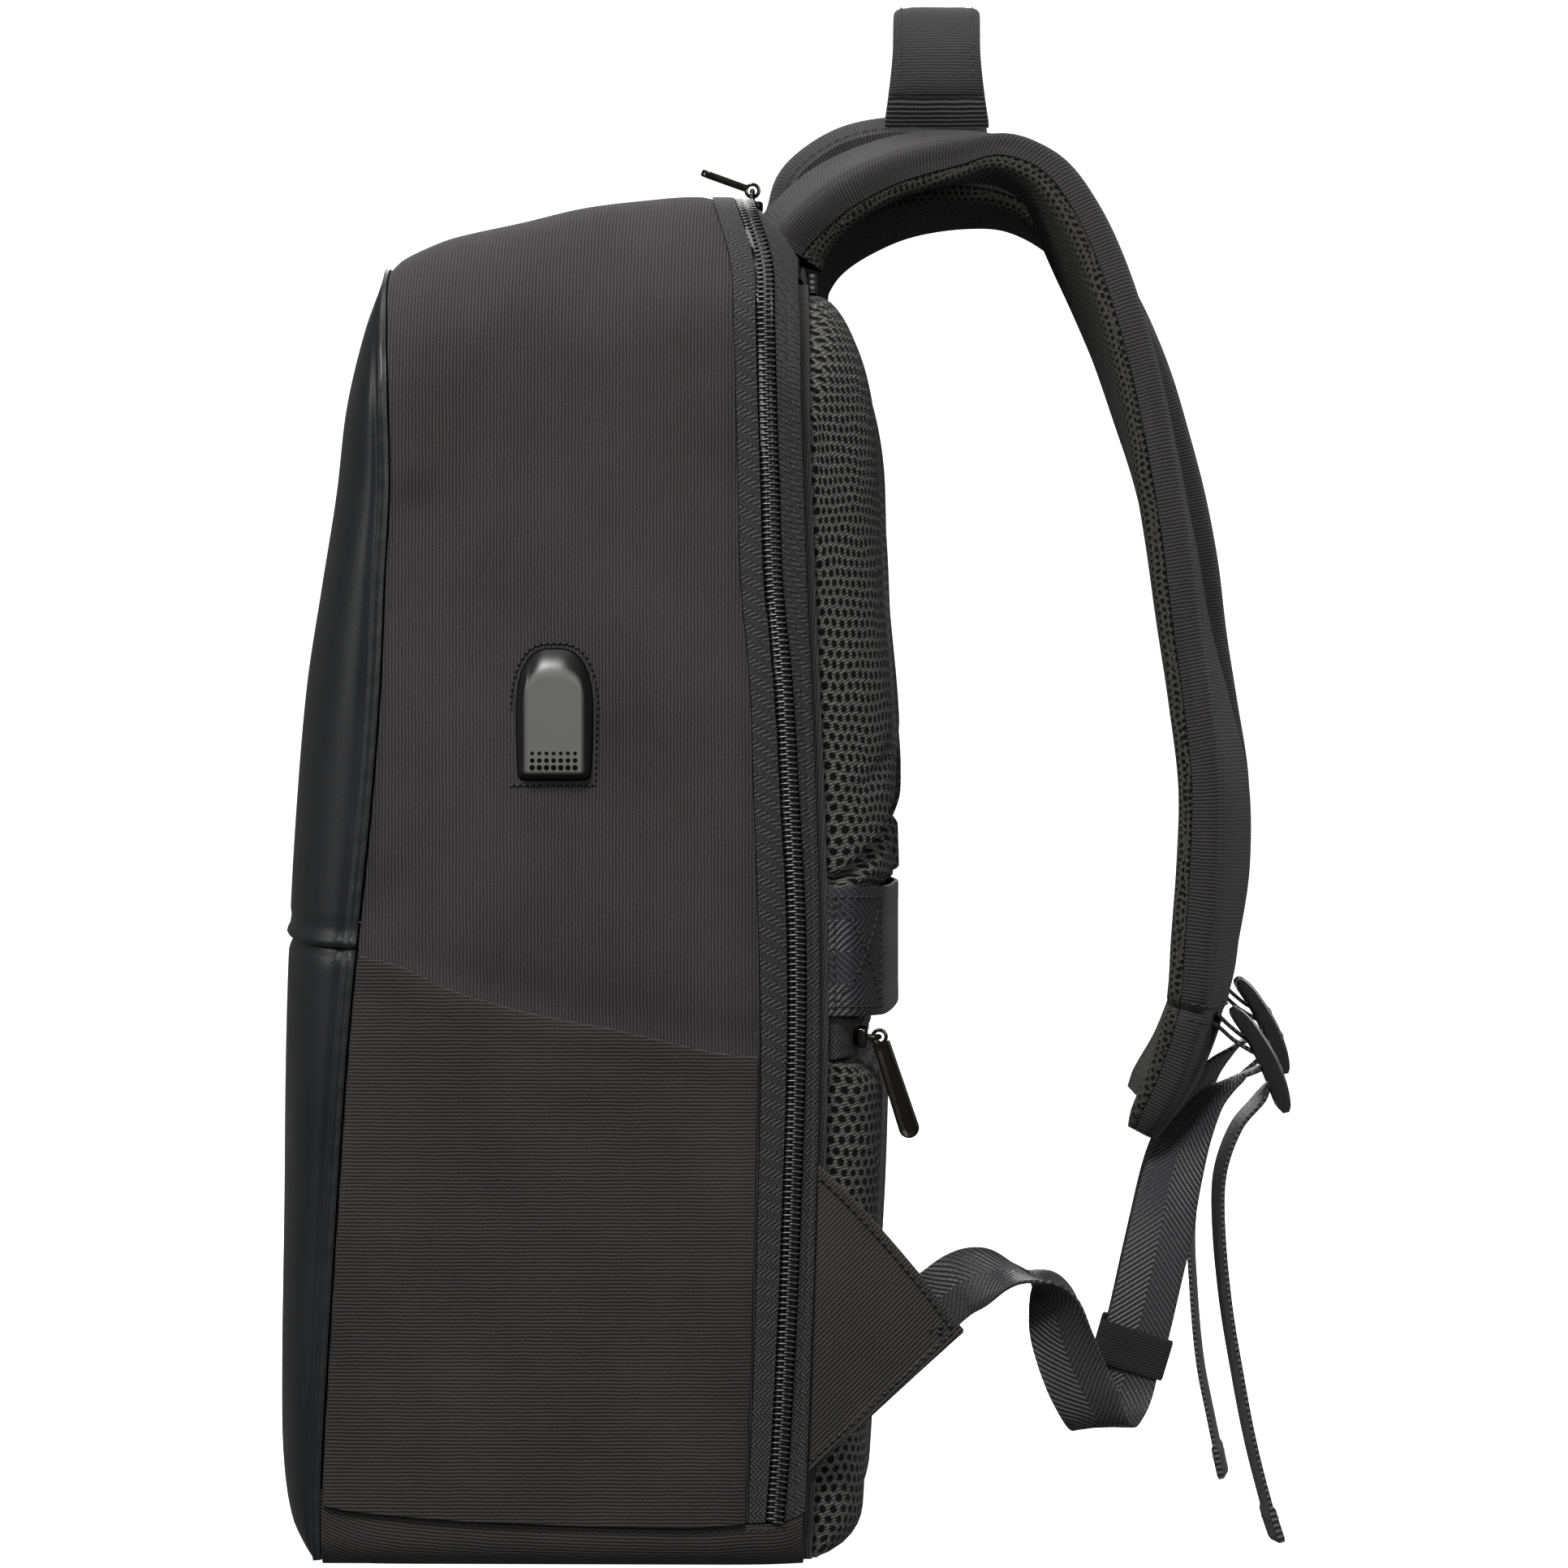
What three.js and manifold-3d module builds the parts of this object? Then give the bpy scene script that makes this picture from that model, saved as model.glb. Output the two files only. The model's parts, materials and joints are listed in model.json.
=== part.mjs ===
// A laptop backpack that stands on its base, modelled piece by piece as it is sewn:
// a leather front, a cloth gusset over sides and top, a zip all round, padded mesh on the
// back, two shoulder straps with their webbing and buckles, and a grab handle.
// Millimetres, +Z up, the front faces -Y and the wearer's back is at +Y.
// The origin is the middle of the underside of the base.

import * as THREE from 'three';
import { mergeVertices } from 'three/addons/utils/BufferGeometryUtils.js';
import Module from 'manifold-3d';

const wasm = await Module();
wasm.setup();

// Body of the bag
const BODY_WIDTH = 300;
const BODY_DEPTH = 170;
const BODY_HEIGHT = 427;
const TOP_CORNER_RADIUS = 50;
const TOP_CROWN = 4;
const FRONT_DROP = 27;
const SIDE_ROUNDING = 8.5;
const CLOTH = 2.5;
const GAP = 0.3;

// Leather front
const LEATHER = 2.4;
const LEATHER_BULGE = 29.2;
const PANEL_SEAM_HEIGHT = 195;
const PANEL_SEAM_DIP = 4.5;
const LEATHER_FOOT = 2;

// Base
const BASE_SEAM_HEIGHT = 24;
const BASE_WALL = 3;
const BASE_EDGE_RADIUS = 9;

// Zip round the body
const COIL_WIDTH = 5.4;
const COIL_THICKNESS = 2.6;
const COIL_LIFT = 0.9;
const TAPE_THICKNESS = 1.5;
const BACK_SEAM_WALL = 6;

// Side pockets
const POCKET_CLOTH = 1.4;
const POCKET_HEIGHT = 189;
const POCKET_MARGIN = 1.2;

// Back
const BACK_PANEL = 2;
const BACK_EDGE_INSET = 11.8;
const BACK_TOP_INSET = 27;
const PAD_INSET = 3.5;
const UPPER_PAD_THICKNESS = 22;
const UPPER_PAD_SIDE_HEIGHT = 213;
const UPPER_PAD_ARCH = 37;
const UPPER_PAD_TOP_RADIUS = 52;
const UPPER_PAD_FOOT_RADIUS = 7;
const PAD_SIDE_RADIUS = 30;
const PAD_LIP = 2;
const CHANNEL_DEPTH = 8;
const CHANNEL_WIDTH = 34;
const PAD_SPACING = 3;
const LUMBAR_THICKNESS = 15.5;
const LUMBAR_TOP_RADIUS = 9;
const LUMBAR_FOOT_RADIUS = 5;
const LUMBAR_RECESS = 9;
const LUMBAR_RECESS_MARGIN = 46;
const LUMBAR_BOTTOM = 170;
const STRIP_BOTTOM = 156;
const STRIP_THICKNESS = 9.5;
const STRIP_SIDE_RADIUS = 26;
const STRIP_EDGE_RADIUS = 1;
const LOWER_PAD_INSET = 16;
const LOWER_PAD_THICKNESS = 17;
const LOWER_PAD_SIDE_RADIUS = 24;
const LOWER_PAD_TOP_RADIUS = 9;
const LOWER_PAD_FOOT_RADIUS = 14;
const LOWER_PAD_FOOT = 1.5;

// Luggage strap
const LUGGAGE_STRAP_WIDTH = 40;
const LUGGAGE_STRAP_BOTTOM = 169.5;
const LUGGAGE_WEBBING = 1.8;
const LUGGAGE_STRAP_BOW = 3;
const LUGGAGE_STRAP_SHOULDER = 8;

// Shoulder straps
const STRAP_WIDTH = 65;
const STRAP_CLOTH = 8;
const STRAP_MESH = 4.7;
const STRAP_REACH = 134.5;
const STRAP_RISE = 23.5;
const STRAP_FALL = 309.5;
const STRAP_SPREAD = 98;
const STRAP_BEHIND_ZIP = 14.15;
const STRAP_ROOT_LIFT = 5.2;
const LEFT_STRAP_OUT = 13.5;
const LEFT_STRAP_UP = 6;
const LEFT_STRAP_ROLL = 0.55;

// Yoke and handle
const YOKE_THICKNESS = 11;
const YOKE_BEHIND_ZIP = 9.45;
const YOKE_ROOT_LIFT = 6.4;
const YOKE_RISE = 27;
const YOKE_REACH = 68;
const HANDLE_SPAN = 64;
const HANDLE_WIDTH = 30;
const HANDLE_FLARE = 6;
const HANDLE_SLEEVE = 9;
const HANDLE_WEBBING = 2.6;
const HANDLE_FOOT = 456.8;
const HANDLE_LEG_HEIGHT = 9;
const HANDLE_TOP = 496;
const HANDLE_BEHIND_YOKE = 51.5;

// Tape tabs where the straps leave the back
const TAB_WIDTH = 10;
const TAB_THICKNESS = 2.4;
const TAB_HEIGHT = 6;

// Wings, webbing, keepers, buckles
const WING_THICKNESS = 2.8;
const WING_REACH = 46.5;
const WING_TOP = 124;
const WEBBING_WIDTH = 20;
const WEBBING = 1.4;
const WEBBING_SAG = 70;
const LEFT_WEBBING_SAG = 82;
const KEEPER_HEIGHT = 13;
const KEEPER_WALL = 1;
const BUCKLE_LENGTH = 36;
const BUCKLE_RAIL = 3;
const BUCKLE_THICKNESS = 4.2;
const BUCKLE_BOW = 2.4;
const BUCKLE_BAR_RADIUS = 1.6;
const BUCKLE_LEAN = 26.5;
const CONNECTOR_WIDTH = 19;
const CONNECTOR_WEBBING = 1.3;
const CONNECTOR_BAR_PLACE = 14.5;
const WEBBING_BAR_PLACE = 23.5;
const TAIL_DROP = 146;

// Port cover
const COVER_WIDTH = 23;
const COVER_HEIGHT = 40;
const COVER_THICKNESS = 5;
const COVER_BEVEL = 1.4;
const COVER_DEPTH_PLACE = 5.7;
const COVER_BOTTOM = 243;

// Sliders and pulls
const SLIDER_LENGTH = 9;
const SLIDER_WIDTH = 7;
const SLIDER_HEIGHT = 3.4;
const BAIL_RADIUS = 0.8;
const BAIL_RISE = 3.6;
const BAIL_SPAN = 5.6;
const PULL_THICKNESS = 1.8;
const PULL_WIDTH = 6.4;
const PULL_EYE = 1.5;
const PULL_EYE_WALL = 1.2;
const TOP_PULL_LENGTH = 18;
const TOP_PULL_ANGLE = 20;
const BACK_PULL_LENGTH = 33;
const BACK_PULL_ANGLE = 18;
const BACK_SLIDER_INSET = 24;

// Places along the height of a side, as shares of that height. The other columns are
// shares of the body's depth, forward negative, and of the leather's bulge.
const SIDE_SECTIONS = [
  { up: 0.0, seam: -0.394, tape: 0.382, coil: 0.429, back: 0.482, bulge: 0.1 },
  { up: 0.012, seam: -0.394, tape: 0.383, coil: 0.43, back: 0.483, bulge: 0.3 },
  { up: 0.03, seam: -0.394, tape: 0.385, coil: 0.432, back: 0.485, bulge: 0.46 },
  { up: 0.07, seam: -0.392, tape: 0.388, coil: 0.44, back: 0.49, bulge: 0.575 },
  { up: 0.13, seam: -0.384, tape: 0.394, coil: 0.449, back: 0.496, bulge: 0.65 },
  { up: 0.25, seam: -0.366, tape: 0.402, coil: 0.462, back: 0.506, bulge: 0.741 },
  { up: 0.37, seam: -0.346, tape: 0.408, coil: 0.471, back: 0.512, bulge: 0.844 },
  { up: 0.46, seam: -0.325, tape: 0.404, coil: 0.471, back: 0.512, bulge: 0.928 },
  { up: 0.55, seam: -0.302, tape: 0.396, coil: 0.46, back: 0.506, bulge: 0.988 },
  { up: 0.64, seam: -0.285, tape: 0.388, coil: 0.447, back: 0.497, bulge: 0.969 },
  { up: 0.71, seam: -0.278, tape: 0.372, coil: 0.43, back: 0.489, bulge: 0.844 },
  { up: 0.78, seam: -0.269, tape: 0.367, coil: 0.424, back: 0.483, bulge: 0.725 },
  { up: 0.84, seam: -0.272, tape: 0.363, coil: 0.419, back: 0.479, bulge: 0.594 },
  { up: 0.9, seam: -0.279, tape: 0.359, coil: 0.415, back: 0.476, bulge: 0.344 },
  { up: 0.948, seam: -0.288, tape: 0.35, coil: 0.408, back: 0.469, bulge: 0.08 },
  { up: 1.0, seam: -0.288, tape: 0.31, coil: 0.365, back: 0.462, bulge: 0.03 },
];

// Places from front to back as shares of the depth: how far the top drops there, as a
// share of the front's drop, and how far the sides draw in, as a share of their rounding.
const DEPTH_SECTIONS = [
  { depth: -0.312, drop: 1.0, draw: 0.14 },
  { depth: -0.279, drop: 0.8, draw: 0.05 },
  { depth: -0.229, drop: 0.63, draw: 0.0 },
  { depth: -0.171, drop: 0.48, draw: 0.0 },
  { depth: -0.035, drop: 0.3, draw: 0.0 },
  { depth: 0.071, drop: 0.15, draw: 0.0 },
  { depth: 0.194, drop: 0.045, draw: 0.0 },
  { depth: 0.265, drop: 0.0, draw: 0.0 },
  { depth: 0.33, drop: 0.01, draw: 0.0 },
  { depth: 0.365, drop: 0.055, draw: 0.02 },
  { depth: 0.4, drop: 0.185, draw: 0.09 },
  { depth: 0.435, drop: 0.41, draw: 0.26 },
  { depth: 0.465, drop: 0.7, draw: 0.5 },
  { depth: 0.488, drop: 0.89, draw: 0.73 },
  { depth: 0.518, drop: 1.0, draw: 1.0 },
];

// Upper edge of the base along the depth, as a share of the height at its front.
const BASE_EDGE = [
  { depth: -0.394, up: 1.0 },
  { depth: -0.365, up: 0.9 },
  { depth: -0.324, up: 0.78 },
  { depth: -0.265, up: 0.7 },
  { depth: -0.188, up: 0.65 },
  { depth: -0.059, up: 0.58 },
  { depth: 0.294, up: 0.51 },
  { depth: 0.388, up: 0.55 },
  { depth: 0.453, up: 0.57 },
  { depth: 0.49, up: 0.68 },
];

// Slanted upper edge of a side pocket, as shares of its height at the leather.
const POCKET_EDGE = [
  { depth: -0.33, up: 1.0 },
  { depth: -0.239, up: 0.979 },
  { depth: -0.162, up: 0.947 },
  { depth: -0.046, up: 0.914 },
  { depth: 0.071, up: 0.891 },
  { depth: 0.147, up: 0.878 },
  { depth: 0.245, up: 0.857 },
  { depth: 0.322, up: 0.841 },
  { depth: 0.404, up: 0.833 },
];

// Shoulder strap from its root: reach, rise and fall are shares of the named sizes,
// aside is a share of the spread, roll is in degrees, left is the left strap's share of
// its own further reach and height.
const STRAP_SECTIONS = [
  { out: 0.0, rise: 0.0, fall: 0.0, aside: 0.633, roll: 13, wide: 0.92, thick: 1.06, left: 0 },
  { out: 0.078, rise: 0.426, fall: 0.0, aside: 0.643, roll: 13, wide: 0.97, thick: 1.06, left: 0 },
  { out: 0.167, rise: 0.723, fall: 0.0, aside: 0.663, roll: 12, wide: 1, thick: 1.05, left: 0 },
  { out: 0.264, rise: 0.915, fall: 0.0, aside: 0.684, roll: 11, wide: 1, thick: 1.03, left: 0 },
  { out: 0.375, rise: 1, fall: 0.0, aside: 0.714, roll: 9, wide: 1, thick: 1, left: 0 },
  { out: 0.48, rise: 1, fall: 0.002, aside: 0.745, roll: 6, wide: 1, thick: 1, left: 0.05 },
  { out: 0.562, rise: 1, fall: 0.016, aside: 0.776, roll: 0, wide: 1, thick: 1, left: 0.2 },
  { out: 0.624, rise: 1, fall: 0.044, aside: 0.806, roll: -5, wide: 1, thick: 1, left: 0.48 },
  { out: 0.677, rise: 1, fall: 0.084, aside: 0.837, roll: -6.5, wide: 1, thick: 1, left: 0.8 },
  { out: 0.728, rise: 1, fall: 0.132, aside: 0.867, roll: -6, wide: 1, thick: 1, left: 0.96 },
  { out: 0.776, rise: 1, fall: 0.187, aside: 0.898, roll: -4, wide: 1, thick: 1, left: 1.02 },
  { out: 0.821, rise: 1, fall: 0.252, aside: 0.923, roll: -2, wide: 1, thick: 1, left: 1.02 },
  { out: 0.864, rise: 1, fall: 0.323, aside: 0.949, roll: 1, wide: 1, thick: 1, left: 1 },
  { out: 0.9, rise: 1, fall: 0.401, aside: 0.969, roll: 3, wide: 1, thick: 1, left: 0.94 },
  { out: 0.929, rise: 1, fall: 0.481, aside: 0.985, roll: 4.5, wide: 1, thick: 1, left: 0.86 },
  { out: 0.967, rise: 1, fall: 0.565, aside: 0.995, roll: 7.5, wide: 1, thick: 1, left: 0.72 },
  { out: 1, rise: 1, fall: 0.646, aside: 1, roll: 11, wide: 1, thick: 1, left: 0.62 },
  { out: 1, rise: 1, fall: 0.724, aside: 1, roll: 12, wide: 1, thick: 1, left: 0.6 },
  { out: 0.981, rise: 1, fall: 0.798, aside: 1, roll: 10, wide: 1, thick: 1, left: 0.64 },
  { out: 0.959, rise: 1, fall: 0.869, aside: 0.995, roll: 8, wide: 0.98, thick: 0.96, left: 0.7 },
  { out: 0.905, rise: 1, fall: 0.94, aside: 0.99, roll: 7, wide: 0.88, thick: 0.88, left: 0.62 },
  { out: 0.85, rise: 1, fall: 0.985, aside: 0.985, roll: 6, wide: 0.76, thick: 0.72, left: 0.42 },
  { out: 0.832, rise: 1, fall: 1, aside: 0.985, roll: 6, wide: 0.66, thick: 0.55, left: 0.36 },
];

// Yoke from its root behind the zip to its rear edge, and its half width as a share of
// the straps' spread.
const YOKE_SECTIONS = [
  { out: 0.0, rise: 0.0, half: 0.312 },
  { out: 0.05, rise: 0.4, half: 0.312 },
  { out: 0.16, rise: 0.68, half: 0.314 },
  { out: 0.32, rise: 0.9, half: 0.33 },
  { out: 0.52, rise: 1.0, half: 0.347 },
  { out: 0.72, rise: 0.98, half: 0.37 },
  { out: 0.88, rise: 0.9, half: 0.388 },
  { out: 1.0, rise: 0.8, half: 0.4 },
];

// Outline of a wing: shares of its reach and of the height of its upper root.
const WING_OUTLINE = [
  { out: 0.0, rightUp: 0.226, leftUp: 0.18 },
  { out: 0.94, rightUp: 0.56, leftUp: 0.375 },
  { out: 1.0, rightUp: 0.585, leftUp: 0.4 },
  { out: 0.66, rightUp: 0.742, leftUp: 0.545 },
  { out: 0.26, rightUp: 0.907, leftUp: 0.76 },
  { out: 0.0, rightUp: 1.0, leftUp: 1.0 },
  { out: 0.0, rightUp: 0.62, leftUp: 0.6 },
];

// Lower webbing from the wing to the buckle: along is the share of the way out, aside the
// share of the way in from the wing, sag a share of the named sag, and the last three
// columns say where the webbing's width points: outboard, out from the back, and up.
const WEBBING_SECTIONS = [
  { along: 0.0, aside: 0.0, sag: 0.0, wideX: 0.0, wideY: 0.63, wideZ: -0.77 },
  { along: 0.064, aside: 0.01, sag: 0.0, wideX: 0.1, wideY: 0.6, wideZ: -0.79 },
  { along: 0.166, aside: 0.024, sag: 0.05, wideX: 0.62, wideY: 0.5, wideZ: -0.6 },
  { along: 0.256, aside: 0.05, sag: 0.144, wideX: 0.88, wideY: 0.4, wideZ: -0.25 },
  { along: 0.335, aside: 0.07, sag: 0.267, wideX: 0.84, wideY: 0.53, wideZ: -0.1 },
  { along: 0.374, aside: 0.085, sag: 0.396, wideX: 0.6, wideY: 0.8, wideZ: 0.0 },
  { along: 0.4, aside: 0.1, sag: 0.559, wideX: 0.3, wideY: 0.95, wideZ: 0.05 },
  { along: 0.45, aside: 0.12, sag: 0.79, wideX: 0.1, wideY: 0.97, wideZ: 0.3 },
  { along: 0.5, aside: 0.14, sag: 0.97, wideX: 0.2, wideY: 0.93, wideZ: 0.3 },
  { along: 0.53, aside: 0.19, sag: 1.07, wideX: 0.4, wideY: 0.88, wideZ: 0.15 },
  { along: 0.556, aside: 0.28, sag: 1.1, wideX: 0.5, wideY: 0.86, wideZ: 0.0 },
  { along: 0.58, aside: 0.37, sag: 1.06, wideX: 0.36, wideY: 0.92, wideZ: -0.1 },
  { along: 0.604, aside: 0.415, sag: 0.99, wideX: 0.15, wideY: 0.97, wideZ: -0.15 },
  { along: 0.622, aside: 0.43, sag: 0.91, wideX: 0.05, wideY: 0.98, wideZ: -0.2 },
  { along: 0.653, aside: 0.45, sag: 0.805, wideX: 0.0, wideY: 0.97, wideZ: -0.25 },
  { along: 0.7, aside: 0.49, sag: 0.59, wideX: 0.05, wideY: 0.96, wideZ: -0.27 },
  { along: 0.732, aside: 0.53, sag: 0.44, wideX: 0.15, wideY: 0.95, wideZ: -0.27 },
  { along: 0.774, aside: 0.6, sag: 0.23, wideX: 0.45, wideY: 0.85, wideZ: -0.25 },
  { along: 0.825, aside: 0.69, sag: 0.09, wideX: 0.75, wideY: 0.6, wideZ: -0.25 },
  { along: 0.878, aside: 0.8, sag: 0.02, wideX: 0.9, wideY: 0.35, wideZ: -0.15 },
  { along: 0.938, aside: 0.92, sag: -0.01, wideX: 0.95, wideY: 0.2, wideZ: -0.1 },
];
const KEEPER_PLACE = [0.622, 0.653];

// Free tails from the buckle, as shares of the right tail's drop.
const TAIL_SECTIONS = [
  { rightOut: -0.02, rightDown: 0.03, leftOut: -0.03, leftDown: 0.03 },
  { rightOut: -0.07, rightDown: 0.09, leftOut: -0.1, leftDown: 0.1 },
  { rightOut: -0.105, rightDown: 0.185, leftOut: -0.16, leftDown: 0.25 },
  { rightOut: -0.11, rightDown: 0.29, leftOut: -0.185, leftDown: 0.42 },
  { rightOut: -0.095, rightDown: 0.465, leftOut: -0.18, leftDown: 0.58 },
  { rightOut: -0.07, rightDown: 0.62, leftOut: -0.165, leftDown: 0.74 },
  { rightOut: -0.04, rightDown: 0.775, leftOut: -0.14, leftDown: 0.87 },
  { rightOut: 0.0, rightDown: 0.93, leftOut: -0.12, leftDown: 0.965 },
  { rightOut: 0.018, rightDown: 0.985, leftOut: -0.11, leftDown: 1.01 },
];

// Share at which a side reaches the round top corner, and the steps of the body's arch.
const ARCH_SIDE_STEPS = 9;
const ARCH_CORNER_STEPS = 5;
const ARCH_TOP_STEPS = 3;

const MATERIALS = {
  leather: { color: '#1b1c1f', roughness: 0.45, metalness: 0 },
  cloth: { color: '#3a3736', roughness: 0.92, metalness: 0 },
  mesh: { color: '#262625', roughness: 0.95, metalness: 0 },
  webbing: { color: '#1f1f1f', roughness: 0.6, metalness: 0 },
  zip: { color: '#141416', roughness: 0.35, metalness: 0 },
  plastic: { color: '#101012', roughness: 0.18, metalness: 0 },
  cover: { color: '#4c4d4a', roughness: 0.4, metalness: 0 },
  gunmetal: { color: '#3b3937', roughness: 0.3, metalness: 0.9 },
};

const backpack = new THREE.Group();

function lerp(a, b, t) {
  return a + (b - a) * t;
}

function vec(x, y, z) {
  return new THREE.Vector3(x, y, z);
}

// Smooth value of one column of a table at a place of its key column.
function readTable(table, key, column, place) {
  const last = table.length - 1;
  const at = Math.min(Math.max(place, table[0][key]), table[last][key]);
  let i = 0;
  while (i < last - 1 && table[i + 1][key] < at) {
    i += 1;
  }
  const slope = (k) => {
    const a = table[Math.max(k - 1, 0)];
    const b = table[Math.min(k + 1, last)];
    return (b[column] - a[column]) / (b[key] - a[key]);
  };
  const step = table[i + 1][key] - table[i][key];
  const t = (at - table[i][key]) / step;
  const rise = table[i + 1][column] - table[i][column];
  const curveIn = slope(i) * step - rise;
  const curveOut = rise - slope(i + 1) * step;
  return table[i][column] + rise * t + t * (1 - t) * ((1 - t) * curveIn + t * curveOut);
}

// Closed geometry from vertices and triangles, turned so that its faces point out.
function closedGeometry(vertices, triangles) {
  let volume = 0;
  for (const [a, b, c] of triangles) {
    volume += vertices[a].dot(new THREE.Vector3().crossVectors(vertices[b], vertices[c]));
  }
  const index = [];
  for (const [a, b, c] of triangles) {
    index.push(a, volume > 0 ? b : c, volume > 0 ? c : b);
  }
  const geometry = new THREE.BufferGeometry();
  const positions = vertices.flatMap((v) => v.toArray());
  geometry.setAttribute('position', new THREE.Float32BufferAttribute(positions, 3));
  geometry.setIndex(index);
  return geometry;
}

// Wall between an outer and an inner grid of points with the same rows and columns. A ring
// wall closes on itself along its columns.
function wallGeometry(outer, inner, ring = false) {
  const rows = outer.length;
  const columns = outer[0].length;
  const vertices = [...outer.flat(), ...inner.flat()];
  const triangles = [];
  const out = (r, c) => r * columns + (c % columns);
  const inn = (r, c) => rows * columns + out(r, c);
  const quad = (a, b, c, d) => triangles.push([a, b, c], [a, c, d]);
  const lastColumn = ring ? columns : columns - 1;
  for (let c = 0; c < lastColumn; c += 1) {
    for (let r = 0; r < rows - 1; r += 1) {
      quad(out(r, c), out(r, c + 1), out(r + 1, c + 1), out(r + 1, c));
      quad(inn(r, c), inn(r + 1, c), inn(r + 1, c + 1), inn(r, c + 1));
    }
    quad(out(0, c), inn(0, c), inn(0, c + 1), out(0, c + 1));
    quad(out(rows - 1, c), out(rows - 1, c + 1), inn(rows - 1, c + 1), inn(rows - 1, c));
  }
  if (!ring) {
    for (let r = 0; r < rows - 1; r += 1) {
      quad(out(r, 0), out(r + 1, 0), inn(r + 1, 0), inn(r, 0));
      quad(out(r, columns - 1), inn(r, columns - 1), inn(r + 1, columns - 1), out(r + 1, columns - 1));
    }
  }
  return closedGeometry(vertices, triangles);
}

// Solid lofted through rings of points, closed by a flat fan at each end. The two halves
// of a ring share their diagonals, so that a twisted thin band keeps its thickness.
function loftGeometry(rings) {
  const count = rings[0].length;
  const vertices = rings.flat();
  const triangles = [];
  const at = (r, k) => r * count + (k % count);
  for (let r = 0; r < rings.length - 1; r += 1) {
    for (let k = 0; k < count; k += 1) {
      if (k < count / 2) {
        triangles.push([at(r, k), at(r, k + 1), at(r + 1, k + 1)]);
        triangles.push([at(r, k), at(r + 1, k + 1), at(r + 1, k)]);
      } else {
        triangles.push([at(r, k), at(r, k + 1), at(r + 1, k)]);
        triangles.push([at(r, k + 1), at(r + 1, k + 1), at(r + 1, k)]);
      }
    }
  }
  const last = rings.length - 1;
  for (let k = 1; k < count - 1; k += 1) {
    triangles.push([at(0, 0), at(0, k + 1), at(0, k)]);
    triangles.push([at(last, 0), at(last, k), at(last, k + 1)]);
  }
  return closedGeometry(vertices, triangles);
}

// Stations of a band: place, direction, width direction and outward normal.
function bandFrames(places, widths) {
  return places.map((place, i) => {
    const before = places[Math.max(i - 1, 0)];
    const after = places[Math.min(i + 1, places.length - 1)];
    const along = new THREE.Vector3().subVectors(after, before).normalize();
    const across = widths[i].clone().addScaledVector(along, -widths[i].dot(along)).normalize();
    const normal = new THREE.Vector3().crossVectors(along, across).normalize();
    return { place, along, across, normal };
  });
}

function bandPoint(frame, across, out) {
  return frame.place.clone().addScaledVector(frame.across, across).addScaledVector(frame.normal, out);
}

function flatBand(frames, width, thickness, lift = 0) {
  const rings = frames.map((frame) => [
    bandPoint(frame, -width / 2, lift - thickness / 2),
    bandPoint(frame, width / 2, lift - thickness / 2),
    bandPoint(frame, width / 2, lift + thickness / 2),
    bandPoint(frame, -width / 2, lift + thickness / 2),
  ]);
  return loftGeometry(rings);
}

function toManifold(geometry) {
  const bare = geometry.clone();
  bare.deleteAttribute('normal');
  bare.deleteAttribute('uv');
  const merged = mergeVertices(bare, 1e-4);
  return new wasm.Manifold(new wasm.Mesh({
    numProp: 3,
    vertProperties: new Float32Array(merged.attributes.position.array),
    triVerts: new Uint32Array(merged.index.array),
  }));
}

function fromManifold(solid) {
  const mesh = solid.getMesh();
  const geometry = new THREE.BufferGeometry();
  const positions = new Float32Array(mesh.vertProperties);
  geometry.setAttribute('position', new THREE.BufferAttribute(positions, 3));
  geometry.setIndex(new THREE.BufferAttribute(new Uint32Array(mesh.triVerts), 1));
  return geometry;
}

function joined(geometries) {
  const solids = geometries.map(toManifold);
  return fromManifold(solids.reduce((all, one) => all.add(one)));
}

function addPiece(name, material, geometry) {
  geometry.computeVertexNormals();
  const mesh = new THREE.Mesh(geometry, new THREE.MeshStandardMaterial(MATERIALS[material]));
  mesh.name = name;
  backpack.add(mesh);
}

function forBothSides(make) {
  make('right', 1);
  make('left', -1);
}

// Body outline

const topDrop = (y) => FRONT_DROP * readTable(DEPTH_SECTIONS, 'depth', 'drop', y / BODY_DEPTH);
const sideDraw = (y) => SIDE_ROUNDING * readTable(DEPTH_SECTIONS, 'depth', 'draw', y / BODY_DEPTH);
const baseEdge = (y) => BASE_SEAM_HEIGHT * readTable(BASE_EDGE, 'depth', 'up', y / BODY_DEPTH);
const pocketEdge = (y) => POCKET_HEIGHT * readTable(POCKET_EDGE, 'depth', 'up', y / BODY_DEPTH);
const sideLine = (column, z) => BODY_DEPTH * readTable(SIDE_SECTIONS, 'up', column, z / BODY_HEIGHT);
const leatherBulge = (z) => LEATHER_BULGE * readTable(SIDE_SECTIONS, 'up', 'bulge', z / BODY_HEIGHT);
const frontTop = BODY_HEIGHT - topDrop(sideLine('seam', BODY_HEIGHT));
const backLine = (z) => sideLine('back', z);

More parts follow.
